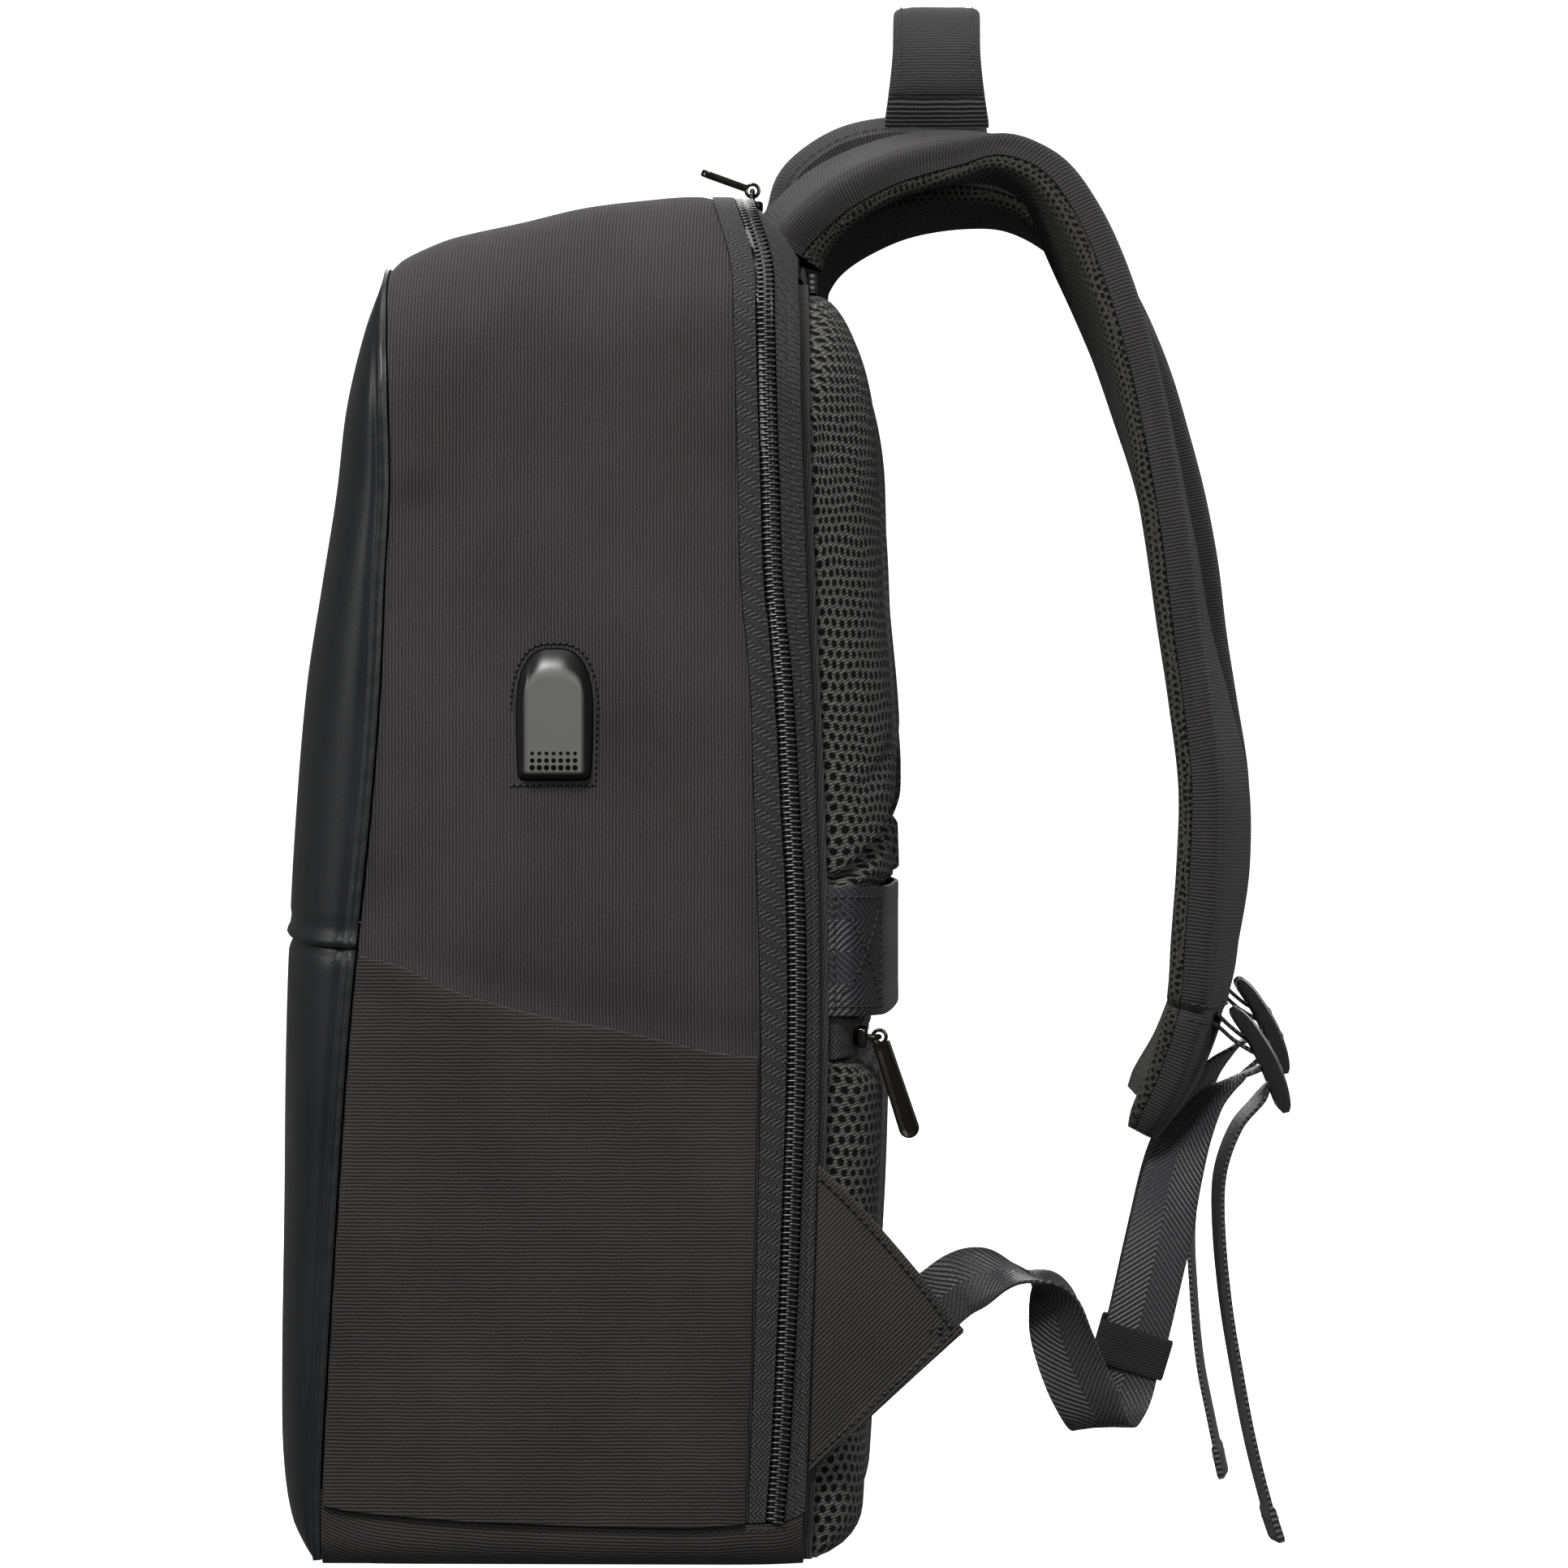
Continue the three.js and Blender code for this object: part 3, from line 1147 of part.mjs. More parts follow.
// Lower webbing: one strip from the wing through the keeper, round its bar and down as
// the free tail, whose end is folded over.
function webbingPath(side) {
  const frame = buckleFrame(side);
  const edge = wingOutline(side);
  const [tipY, tipZ] = edge[2];
  const [topY, topZ] = edge[3];
  const edgeLean = Math.atan2(topZ - tipZ, tipY - topY);
  const off = 3 * GAP;
  const startY = (tipY + topY) / 2 + off * Math.sin(edgeLean);
  const startZ = (tipZ + topZ) / 2 + off * Math.cos(edgeLean);
  const start = vec(side * wingMiddle, startY, startZ);
  const wrap = BUCKLE_BAR_RADIUS + GAP + WEBBING / 2;
  const bow = buckleBow(WEBBING_BAR_PLACE);
  const end = bucklePoint(frame, WEBBING_BAR_PLACE - 3.4, -8.6);
  const places = [];
  const widths = [];
  for (const row of WEBBING_SECTIONS) {
    places.push(vec(
      lerp(start.x, end.x, row.aside),
      lerp(start.y, end.y, row.along),
      lerp(start.z, end.z, row.along) - row.sag * (side > 0 ? WEBBING_SAG : LEFT_WEBBING_SAG),
    ));
    widths.push(vec(side * row.wideX, row.wideY, row.wideZ));
  }
  const across = vec(side, 0, 0);
  const add = (place, width) => {
    places.push(place);
    widths.push(width);
  };
  add(end, across);
  add(bucklePoint(frame, WEBBING_BAR_PLACE - 3, -3.4), across);
  for (const degrees of [170, 130, 90, 50, 10]) {
    const angle = THREE.MathUtils.degToRad(degrees);
    add(bucklePoint(frame, WEBBING_BAR_PLACE + wrap * Math.cos(angle), bow + wrap * Math.sin(angle)), across);
  }
  const tailStart = bucklePoint(frame, WEBBING_BAR_PLACE + wrap + 0.3, bow - 2.6);
  add(tailStart, across);
  for (const row of TAIL_SECTIONS) {
    const out = side > 0 ? row.rightOut : row.leftOut;
    const down = side > 0 ? row.rightDown : row.leftDown;
    add(tailStart.clone().add(vec(0, out * TAIL_DROP, -down * TAIL_DROP)), vec(side * 0.99, 0.12, 0));
  }
  return { places, widths };
}

function webbing(name, side) {
  const { places, widths } = webbingPath(side);
  addPiece(`webbing_${name}`, 'webbing', flatBand(bandFrames(places, widths), WEBBING_WIDTH, WEBBING));
}

// Elastic keeper: a short sleeve round the rising webbing.
function keeper(name, side) {
  const { places, widths } = webbingPath(side);
  const rows = KEEPER_PLACE.map((along) => WEBBING_SECTIONS.findIndex((row) => row.along === along));
  const low = places[rows[0]];
  const high = places[rows[1]];
  const middle = low.clone().lerp(high, 0.5);
  const along = high.clone().sub(low).normalize();
  const ends = [-0.5, 0.5].map((share) => middle.clone().addScaledVector(along, share * KEEPER_HEIGHT));
  const frames = bandFrames(ends, ends.map(() => widths[rows[0]].clone().lerp(widths[rows[1]], 0.5)));
  const loop = (frame, extra) => {
    const half = WEBBING_WIDTH / 2 + 0.7 + extra;
    const thick = WEBBING / 2 + 0.9 + extra;
    return [
      [-half, -thick * 0.5], [-half + 0.8, -thick], [half - 0.8, -thick], [half, -thick * 0.5],
      [half, thick * 0.5], [half - 0.8, thick], [-half + 0.8, thick], [-half, thick * 0.5],
    ].map(([across, out]) => bandPoint(frame, across, out));
  };
  const outer = frames.map((frame) => loop(frame, KEEPER_WALL));
  const inner = frames.map((frame) => loop(frame, 0));
  addPiece(`keeper_${name}`, 'webbing', wallGeometry(outer, inner, true));
}

// Port cover on the right side: a domed plate with an arched top.
function portCover() {
  const half = COVER_WIDTH / 2 - COVER_BEVEL;
  const low = COVER_BEVEL;
  const high = COVER_HEIGHT - COVER_BEVEL;
  const shape = new THREE.Shape();
  shape.moveTo(-half + 1, low);
  shape.lineTo(half - 1, low);
  shape.quadraticCurveTo(half, low, half, low + 2);
  shape.lineTo(half - 0.4, high * 0.55);
  shape.quadraticCurveTo(half - 1.4, high * 0.98, 0, high);
  shape.quadraticCurveTo(-half + 1.4, high * 0.98, -half + 0.4, high * 0.55);
  shape.lineTo(-half, low + 2);
  shape.quadraticCurveTo(-half, low, -half + 1, low);
  const plate = new THREE.ExtrudeGeometry(shape, {
    depth: COVER_THICKNESS - 2 * COVER_BEVEL,
    bevelSize: COVER_BEVEL,
    bevelThickness: COVER_BEVEL,
    bevelSegments: 2,
    curveSegments: 6,
  });
  plate.rotateX(Math.PI / 2);
  plate.rotateZ(Math.PI / 2);
  plate.translate(BODY_WIDTH / 2 + GAP + COVER_BEVEL, COVER_DEPTH_PLACE, COVER_BOTTOM);
  addPiece('port_cover', 'cover', plate);
}

// Slider: a body with a bail over it, standing on a surface whose outward direction leans
// back from -Y by the given turn about X. The pull hangs on the bail's bar.
function sliderGeometry() {
  const body = new THREE.BoxGeometry(SLIDER_LENGTH, SLIDER_WIDTH, SLIDER_HEIGHT);
  body.translate(0, 0, SLIDER_HEIGHT / 2);
  const barHeight = SLIDER_HEIGHT + BAIL_RISE;
  const bar = new THREE.CylinderGeometry(BAIL_RADIUS, BAIL_RADIUS, BAIL_SPAN, 8);
  bar.rotateZ(Math.PI / 2);
  bar.translate(0, 0, barHeight);
  const posts = [-1, 1].map((end) => {
    const postHeight = BAIL_RISE + BAIL_RADIUS + 1;
    const post = new THREE.BoxGeometry(1.4, 2 * BAIL_RADIUS, postHeight);
    post.translate(end * (BAIL_SPAN / 2 + 0.4), 0, barHeight + BAIL_RADIUS - postHeight / 2);
    return post;
  });
  return joined([body, bar, ...posts]);
}

// Pull: an eye round the bar and a plate. The plate lies in the plane of the eye, or is
// turned flat against it.
function pullGeometry(length, flat) {
  const half = PULL_WIDTH / 2;
  const root = PULL_EYE + PULL_EYE_WALL;
  const shape = new THREE.Shape();
  shape.moveTo(PULL_EYE + 0.4, -root);
  shape.lineTo(length - half, -half);
  shape.absarc(length - half, 0, half, -Math.PI / 2, Math.PI / 2, false);
  shape.lineTo(PULL_EYE + 0.4, root);
  const ring = new THREE.Shape();
  ring.absarc(0, 0, root, 0, 2 * Math.PI, false);
  const eye = new THREE.Path();
  eye.absarc(0, 0, PULL_EYE, 0, 2 * Math.PI, true);
  ring.holes.push(eye);
  const [plate, loop] = [shape, ring].map((outline) => {
    const options = { depth: PULL_THICKNESS, bevelEnabled: false, curveSegments: 6 };
    return new THREE.ExtrudeGeometry(outline, options).translate(0, 0, -PULL_THICKNESS / 2);
  });
  if (flat) {
    plate.rotateX(Math.PI / 2);
  }
  const pull = joined([plate, loop]);
  pull.rotateY(Math.PI / 2);
  pull.rotateX(Math.PI / 2);
  return pull;
}

function placeSlider({ name, seat, turn, pullLength, pullTurn, flat }) {
  const slider = sliderGeometry();
  slider.rotateX(turn);
  slider.translate(seat.x, seat.y, seat.z);
  addPiece(`slider_${name}`, 'gunmetal', slider);
  const bar = vec(0, 0, SLIDER_HEIGHT + BAIL_RISE).applyAxisAngle(vec(1, 0, 0), turn).add(seat);
  const pull = pullGeometry(pullLength, flat);
  pull.rotateX(pullTurn);
  pull.translate(bar.x, bar.y, bar.z);
  addPiece(`puller_${name}`, 'gunmetal', pull);
}

function sliders() {
  const topSeat = vec(0, zipTop, topSurface(0, zipTop) + COIL_LIFT + GAP);
  placeSlider({
    name: 'top',
    seat: topSeat,
    turn: 0,
    pullLength: TOP_PULL_LENGTH,
    pullTurn: THREE.MathUtils.degToRad(180 - TOP_PULL_ANGLE),
    flat: true,
  });
  const height = (STRIP_BOTTOM + stripTop) / 2;
  const place = BODY_WIDTH / 2 - BACK_SLIDER_INSET;
  const inner = place - SLIDER_LENGTH / 2;
  const face = padSeat(height) + padThickness(inner, height, stripShape);
  placeSlider({
    name: 'back',
    seat: vec(place, face + GAP, height),
    turn: -Math.PI / 2,
    pullLength: BACK_PULL_LENGTH,
    pullTurn: THREE.MathUtils.degToRad(BACK_PULL_ANGLE - 90),
    flat: false,
  });
}

// Small folded tab of tape where each strap leaves the top of the back.
function strapTab(name, side) {
  const x = side * (backHalf - TOP_CORNER_RADIUS + 4);
  const padTop = backColumnTop(Math.abs(x) - TAB_WIDTH / 2, PAD_INSET);
  const tab = new THREE.BoxGeometry(TAB_WIDTH, TAB_THICKNESS, TAB_HEIGHT);
  tab.translate(x, backFace(padTop) + GAP + TAB_THICKNESS / 2, padTop + GAP + TAB_HEIGHT / 2);
  addPiece(`strap_tab_${name}`, 'webbing', tab);
}

leatherFront();
gusset();
mainZip();
base();
backPanel();
upperBackPad();
lumbarPad();
pocketStrip();
lowerBackPad();
luggageStrap();
yoke();
handle();
portCover();
sliders();
forBothSides((name, side) => {
  sidePocket(name, side);
  shoulderStrap(name, side);
  strapTab(name, side);
  wing(name, side);
  buckle(name, side);
  connector(name, side);
  webbing(name, side);
  keeper(name, side);
});

export default backpack;
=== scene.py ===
"""Looks of a laptop backpack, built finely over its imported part.

Sizes are millimetres, with +Z up, the front at -Y and the wearer's back at +Y. A mesh is
turned to metres when it is made. Every cloth, webbing and moulded piece is a closed surface
that follows the same sizes as the part, with its folds, seams and stitches added.
"""

import json
import math

import bpy
import numpy as np
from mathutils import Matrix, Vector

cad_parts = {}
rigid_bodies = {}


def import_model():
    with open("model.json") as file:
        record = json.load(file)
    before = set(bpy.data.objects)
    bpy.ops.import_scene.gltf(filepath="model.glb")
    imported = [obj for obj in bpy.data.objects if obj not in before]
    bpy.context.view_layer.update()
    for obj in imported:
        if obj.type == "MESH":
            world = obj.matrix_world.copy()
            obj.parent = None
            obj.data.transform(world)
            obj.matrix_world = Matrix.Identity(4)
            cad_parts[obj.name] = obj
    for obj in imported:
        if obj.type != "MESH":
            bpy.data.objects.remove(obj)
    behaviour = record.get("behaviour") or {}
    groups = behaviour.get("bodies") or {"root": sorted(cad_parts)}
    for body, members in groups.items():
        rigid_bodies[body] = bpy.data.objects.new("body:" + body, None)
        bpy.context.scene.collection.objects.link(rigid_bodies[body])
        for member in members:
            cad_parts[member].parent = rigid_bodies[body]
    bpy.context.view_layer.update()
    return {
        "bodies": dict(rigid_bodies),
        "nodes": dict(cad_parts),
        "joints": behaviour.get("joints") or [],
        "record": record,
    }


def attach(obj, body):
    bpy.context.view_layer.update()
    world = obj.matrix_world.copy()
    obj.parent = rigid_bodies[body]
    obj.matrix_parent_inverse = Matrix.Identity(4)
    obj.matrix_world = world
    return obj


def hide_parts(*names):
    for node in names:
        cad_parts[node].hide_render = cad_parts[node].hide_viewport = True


MM = 0.001
UV_NAME = "cloth"

# Body of the bag
BODY_WIDTH = 300
BODY_DEPTH = 170
BODY_HEIGHT = 427
TOP_CORNER_RADIUS = 50
TOP_CROWN = 4
FRONT_DROP = 27
SIDE_ROUNDING = 8.5
CLOTH = 2.5
GAP = 0.3

# Leather front
LEATHER = 2.4
LEATHER_BULGE = 29.2
PANEL_SEAM_HEIGHT = 195
PANEL_SEAM_DIP = 4.5
LEATHER_FOOT = 2
LEATHER_SQUARENESS = 6

# Base
BASE_SEAM_HEIGHT = 24
BASE_WALL = 3
BASE_EDGE_RADIUS = 9

# Zip round the body
COIL_WIDTH = 5.4
COIL_LIFT = 0.9
COIL_BED = 1.2
TAPE_THICKNESS = 1.5
BACK_SEAM_WALL = 6
TOOTH_PITCH = 1.8
TOOTH_RADIUS = 0.55
TOOTH_LENGTH = 3.1

# Side pockets
POCKET_CLOTH = 1.4
POCKET_HEIGHT = 189
POCKET_MARGIN = 1.2
POCKET_HEM = 7

# Back
BACK_PANEL = 2
SEAM_OVERLAP = 0.8
BACK_EDGE_INSET = 11.8
BACK_TOP_INSET = 27
PAD_INSET = 3.5
UPPER_PAD_THICKNESS = 22
UPPER_PAD_SIDE_HEIGHT = 213
UPPER_PAD_ARCH = 37
ARCH_SQUARENESS = 4
CHANNEL_DEPTH = 8
CHANNEL_WIDTH = 34
PAD_SPACING = 3
LUMBAR_THICKNESS = 15.5
LUMBAR_RECESS = 9
LUMBAR_RECESS_WIDTH = 208
LUMBAR_BOTTOM = 170
LUMBAR_ROLL = 5
STRIP_BOTTOM = 156
STRIP_THICKNESS = 9.5
LOWER_PAD_WIDTH = 268
LOWER_PAD_THICKNESS = 17
LOWER_PAD_FOOT = 1.5
PAD_LIP = 2

# Luggage strap
LUGGAGE_STRAP_WIDTH = 40
LUGGAGE_STRAP_BOTTOM = 169.5
LUGGAGE_WEBBING = 1.8
LUGGAGE_STRAP_BOW = 3

# Shoulder straps
STRAP_WIDTH = 65
STRAP_CLOTH = 8
STRAP_MESH = 4.7
STRAP_FULLNESS = 1.2
STRAP_REACH = 134.5
STRAP_RISE = 23.5
STRAP_FALL = 309.5
STRAP_SPREAD = 98
STRAP_ROOT_DEPTH = 76.2
STRAP_ROOT_LIFT = 5.2
LEFT_STRAP_OUT = 13.5
LEFT_STRAP_UP = 6
LEFT_STRAP_ROLL = 0.55
STRAP_SEAM_HEIGHT = 171

# Yoke and handle
YOKE_THICKNESS = 11
YOKE_ROOT_DEPTH = 71.5
YOKE_ROOT_LIFT = 6.4
YOKE_RISE = 27
YOKE_REACH = 68
ROOT_FILL = 3.5
SUNK_ROOT = (0, -3.2, -4.5)
HANDLE_SPAN = 64
HANDLE_WIDTH = 30
HANDLE_FLARE = 6
HANDLE_SLEEVE = 9
HANDLE_WEBBING = 2.6
HANDLE_FOOT = 456.8
HANDLE_LEG_HEIGHT = 9
HANDLE_TOP = 497.5
HANDLE_DEPTH_PLACE = 123

# Tape tabs where the straps leave the back
TAB_WIDTH = 10
TAB_THICKNESS = 2.4
TAB_HEIGHT = 6

# Wings, webbing, keepers and buckles
WING_THICKNESS = 2.8
WING_REACH = 46.5
WING_TOP = 124
WING_HEM = 3.5
WEBBING_WIDTH = 20
WEBBING = 1.4
WEBBING_SAG = 70
LEFT_WEBBING_SAG = 82
WEBBING_SEWN_IN = 6
KEEPER_HEIGHT = 13
KEEPER_WALL = 1
BUCKLE_LENGTH = 36
BUCKLE_RAIL = 3
BUCKLE_THICKNESS = 5.2
BUCKLE_BOW = 2.4
BUCKLE_BAR_RADIUS = 1.6
BUCKLE_LEAN = 26.5
CONNECTOR_WIDTH = 19
CONNECTOR_WEBBING = 1.3
CONNECTOR_BAR_PLACE = 14.5
WEBBING_BAR_PLACE = 23.5
TAIL_DROP = 146
TAIL_FOLD = 11

# Port cover
COVER_WIDTH = 23
COVER_HEIGHT = 40
COVER_THICKNESS = 5
COVER_ARCH = 0.45
COVER_ARCH_SQUARENESS = 3.0
COVER_SIDE_SLOPE = 3.6
COVER_TOP_SLOPE = 9
COVER_FOOT = 2.4
COVER_DEPTH_PLACE = 5.7
COVER_BOTTOM = 243
COVER_RIM = 0.5
DENT_PITCH = 2.2
DENT_COLUMNS = 7
DENT_ROWS = 3
DENT_HEIGHT = 3.6
DENT_RADIUS = 0.88
PATCH_MARGIN = 1.9

# Sliders and pulls
SLIDER_LENGTH = 9
SLIDER_WIDTH = 7
SLIDER_HEIGHT = 3.4
BAIL_RADIUS = 0.8
BAIL_RISE = 3.6
BAIL_SPAN = 5.6
PULL_THICKNESS = 2.2
PULL_WIDTH = 6.4
PULL_EYE = 1.5
PULL_EYE_WALL = 1.2
TOP_PULL_LENGTH = 18
TOP_PULL_ANGLE = 20
BACK_PULL_LENGTH = 33
BACK_PULL_ANGLE = 18
BACK_SLIDER_PLACE = 126

# Sewing
STITCH_PITCH = 3.1
STITCH_LENGTH = 2.3
STITCH_RADIUS = 0.27

# Camera and light, in metres
CAMERA_DISTANCE = 2.2
CAMERA_TURN = math.radians(1.5)
CAMERA_AIM = (0.0, 0.0725, 0.2416)
CAMERA_LENS = 152.8
SENSOR_WIDTH = 36

# Places up a side as shares of the height. The other columns are shares of the depth,
# forward negative, and of the leather's bulge.
SIDE_SECTIONS = {
    "up": (0, 0.012, 0.03, 0.07, 0.13, 0.25, 0.37, 0.46, 0.55, 0.64, 0.71, 0.78, 0.84, 0.9, 0.948, 1),
    "seam": (-0.394, -0.394, -0.394, -0.392, -0.384, -0.366, -0.346, -0.325,
             -0.302, -0.285, -0.278, -0.269, -0.272, -0.279, -0.288, -0.288),
    "tape": (0.382, 0.383, 0.385, 0.388, 0.394, 0.402, 0.408, 0.404,
             0.396, 0.388, 0.372, 0.367, 0.363, 0.359, 0.35, 0.31),
    "coil": (0.429, 0.43, 0.432, 0.44, 0.449, 0.462, 0.471, 0.471,
             0.46, 0.447, 0.43, 0.424, 0.419, 0.415, 0.408, 0.365),
    "back": (0.482, 0.483, 0.485, 0.49, 0.496, 0.506, 0.512, 0.512,
             0.506, 0.497, 0.489, 0.483, 0.479, 0.476, 0.469, 0.462),
    "bulge": (0.1, 0.3, 0.46, 0.575, 0.65, 0.741, 0.844, 0.928,
              0.988, 0.969, 0.844, 0.725, 0.594, 0.344, 0.08, 0.03),
}

# Places from front to back as shares of the depth: how far the top drops there, as a share
# of the front's drop, and how far the sides draw in, as a share of their rounding.
DEPTH_SECTIONS = {
    "depth": (-0.312, -0.279, -0.229, -0.171, -0.035, 0.071, 0.194, 0.265,
              0.33, 0.365, 0.4, 0.435, 0.465, 0.488, 0.518),
    "drop": (1.0, 0.8, 0.63, 0.48, 0.3, 0.15, 0.045, 0.0, 0.01, 0.055, 0.185, 0.41, 0.7, 0.89, 1.0),
    "draw": (0.14, 0.05, 0, 0, 0, 0, 0, 0, 0, 0.02, 0.09, 0.26, 0.5, 0.73, 1.0),
}

# Upper edge of the base along the depth, as a share of the height at its front.
BASE_EDGE = {
    "depth": (-0.394, -0.365, -0.324, -0.265, -0.188, -0.059, 0.294, 0.388, 0.453, 0.49),
    "up": (1.0, 0.9, 0.78, 0.7, 0.65, 0.58, 0.51, 0.55, 0.57, 0.68),
}

# Slanted upper edge of a side pocket, as shares of its height at the leather.
POCKET_EDGE = {
    "depth": (-0.33, -0.239, -0.162, -0.046, 0.071, 0.147, 0.245, 0.322, 0.404),
    "up": (1.0, 0.979, 0.947, 0.914, 0.891, 0.878, 0.857, 0.841, 0.833),
}

# Shoulder strap from its root: reach, rise and fall are shares of the named sizes, aside a
# share of the spread, roll degrees, and left the left strap's share of its further reach.
STRAP_SECTIONS = {
    "out": (0, 0.078, 0.167, 0.264, 0.375, 0.48, 0.562, 0.624, 0.677, 0.728, 0.776, 0.821,
            0.864, 0.9, 0.929, 0.967, 1, 1, 0.981, 0.959, 0.905, 0.85, 0.832),
    "rise": (0, 0.426, 0.723, 0.915, 1, 1, 1, 1, 1, 1, 1, 1, 1, 1, 1, 1, 1, 1, 1, 1, 1, 1, 1),
    "fall": (0, 0, 0, 0, 0, 0.002, 0.016, 0.044, 0.084, 0.132, 0.187, 0.252,
             0.323, 0.401, 0.481, 0.565, 0.646, 0.724, 0.798, 0.869, 0.94, 0.985, 1),
    "aside": (0.633, 0.643, 0.663, 0.684, 0.714, 0.745, 0.776, 0.806, 0.837, 0.867, 0.898, 0.923,
              0.949, 0.969, 0.985, 0.995, 1, 1, 1, 0.995, 0.99, 0.985, 0.985),
    "roll": (13, 13, 12, 11, 9, 6, 0, -5, -6.5, -6, -4, -2, 1, 3, 4.5, 7.5, 11, 12, 10, 8, 7, 6, 6),
    "wide": (0.92, 0.97, 1, 1, 1, 1, 1, 1, 1, 1, 1, 1, 1, 1, 1, 1, 1, 1, 1, 0.98, 0.88, 0.76, 0.66),
    "thick": (1.06, 1.06, 1.05, 1.03, 1, 1, 1, 1, 1, 1, 1, 1, 1, 1, 1, 1, 1, 1, 1, 0.96, 0.88, 0.72, 0.55),
    "left": (0, 0, 0, 0, 0, 0.05, 0.2, 0.48, 0.8, 0.96, 1.02, 1.02,
             1, 0.94, 0.86, 0.72, 0.62, 0.6, 0.64, 0.7, 0.62, 0.42, 0.36),
}
STRAP_SEAM_SHARE = 0.85

# Yoke from its root behind the zip to its rear edge, its half width as a share of the
# straps' spread, and its upper face across, as a share of half its thickness.
YOKE_SECTIONS = {
    "out": (0, 0.05, 0.16, 0.32, 0.52, 0.72, 0.88, 1),
    "rise": (0, 0.4, 0.68, 0.9, 1, 0.98, 0.9, 0.8),
    "half": (0.312, 0.312, 0.314, 0.33, 0.347, 0.37, 0.388, 0.4),
}
YOKE_FACE = {"across": (0, 0.4, 0.8, 1), "up": (1, 0.75, -0.1, -0.5)}

# Edges of a wing from its root to its tip, as shares of its reach and of the height of its
# upper root.
WING_EDGES = {
    "out": (0, 0.26, 0.66, 0.94, 1),
    "rightLow": (0.226, 0.318, 0.461, 0.56, 0.58),
    "rightHigh": (1.0, 0.907, 0.742, 0.612, 0.588),
    "leftLow": (0.18, 0.234, 0.317, 0.375, 0.394),
    "leftHigh": (1.0, 0.76, 0.545, 0.425, 0.402),
}

# Lower webbing from the wing to the buckle: along is the share of the way out, aside the
# share of the way in, sag a share of the named sag, and the rest where its width points.
WEBBING_SECTIONS = {
    "along": (0, 0.064, 0.166, 0.256, 0.335, 0.374, 0.4, 0.45, 0.5, 0.53, 0.556,
              0.58, 0.604, 0.622, 0.653, 0.7, 0.732, 0.774, 0.825, 0.878, 0.938),
    "aside": (0, 0.01, 0.024, 0.05, 0.07, 0.085, 0.1, 0.12, 0.14, 0.19, 0.28,
              0.37, 0.415, 0.43, 0.45, 0.49, 0.53, 0.6, 0.69, 0.8, 0.92),
    "sag": (0, 0, 0.05, 0.144, 0.267, 0.396, 0.559, 0.79, 0.97, 1.07, 1.1,
            1.06, 0.99, 0.91, 0.805, 0.59, 0.44, 0.23, 0.09, 0.02, -0.01),
    "wideX": (0, 0.1, 0.62, 0.88, 0.84, 0.6, 0.3, 0.1, 0.2, 0.4, 0.5,
              0.36, 0.15, 0.05, 0, 0.05, 0.15, 0.45, 0.75, 0.9, 0.95),
    "wideY": (0.63, 0.6, 0.5, 0.4, 0.53, 0.8, 0.95, 0.97, 0.93, 0.88, 0.86,
              0.92, 0.97, 0.98, 0.97, 0.96, 0.95, 0.85, 0.6, 0.35, 0.2),
    "wideZ": (-0.77, -0.79, -0.6, -0.25, -0.1, 0, 0.05, 0.3, 0.3, 0.15, 0,
              -0.1, -0.15, -0.2, -0.25, -0.27, -0.27, -0.25, -0.25, -0.15, -0.1),
}
KEEPER_ROWS = (13, 14)

# Free tails from the buckle, as shares of the right tail's drop.
TAIL_SECTIONS = {
    "rightOut": (-0.02, -0.07, -0.105, -0.11, -0.095, -0.07, -0.04, 0, 0.018),
    "rightDown": (0.03, 0.09, 0.185, 0.29, 0.465, 0.62, 0.775, 0.93, 0.985),
    "leftOut": (-0.03, -0.1, -0.16, -0.185, -0.18, -0.165, -0.14, -0.12, -0.11),
    "leftDown": (0.03, 0.1, 0.25, 0.42, 0.58, 0.74, 0.87, 0.965, 1.01),
}


# Reading tables and measuring paths


def read_table(table, key, column, place):
    """Smooth value of a column: a cubic whose slope at a row is that between its neighbours."""
    at = np.asarray(table[key], float)
    value = np.asarray(table[column], float)
    place = np.clip(place, at[0], at[-1])
    i = np.clip(np.searchsorted(at, place, side="right") - 1, 0, len(at) - 2)
    after = np.minimum(np.arange(len(at)) + 1, len(at) - 1)
    before = np.maximum(np.arange(len(at)) - 1, 0)
    slope = (value[after] - value[before]) / (at[after] - at[before])
    step = at[i + 1] - at[i]
    t = (place - at[i]) / step
    rise = value[i + 1] - value[i]
    curve_in = slope[i] * step - rise
    curve_out = rise - slope[i + 1] * step
    return value[i] + rise * t + t * (1 - t) * ((1 - t) * curve_in + t * curve_out)


def unit(vectors):
    return vectors / np.linalg.norm(vectors, axis=-1, keepdims=True)


def running_length(points, axis):
    """Distance along a grid's lines from their first point."""
    steps = np.linalg.norm(np.diff(points, axis=axis), axis=-1)
    start = np.zeros_like(np.take(steps, [0], axis=axis))
    return np.concatenate([start, np.cumsum(steps, axis=axis)], axis=axis)


def close_ended(count, length, edge):
    """Shares from 0 to 1, evenly spaced, with four closer ones inside an edge's width at each end."""
    near = np.array([0, 0.12, 0.35, 0.65]) * edge / length
    middle = np.linspace(edge / length, 1 - edge / length, count)
    return np.concatenate([near, middle, 1 - near[::-1]])


def bump(distance, centre, width):
    return np.exp(-(((distance - centre) / width) ** 2))


def soft_step(value, low, high):
    t = np.clip((value - low) / (high - low), 0, 1)
    return t * t * (3 - 2 * t)


def round_drop(distance, radius):
    """How far a round edge lies below its face at a distance in from the rim."""
    short = np.clip(1 - distance / radius, 0, 1)
    return radius * (1 - np.sqrt(1 - short**2))


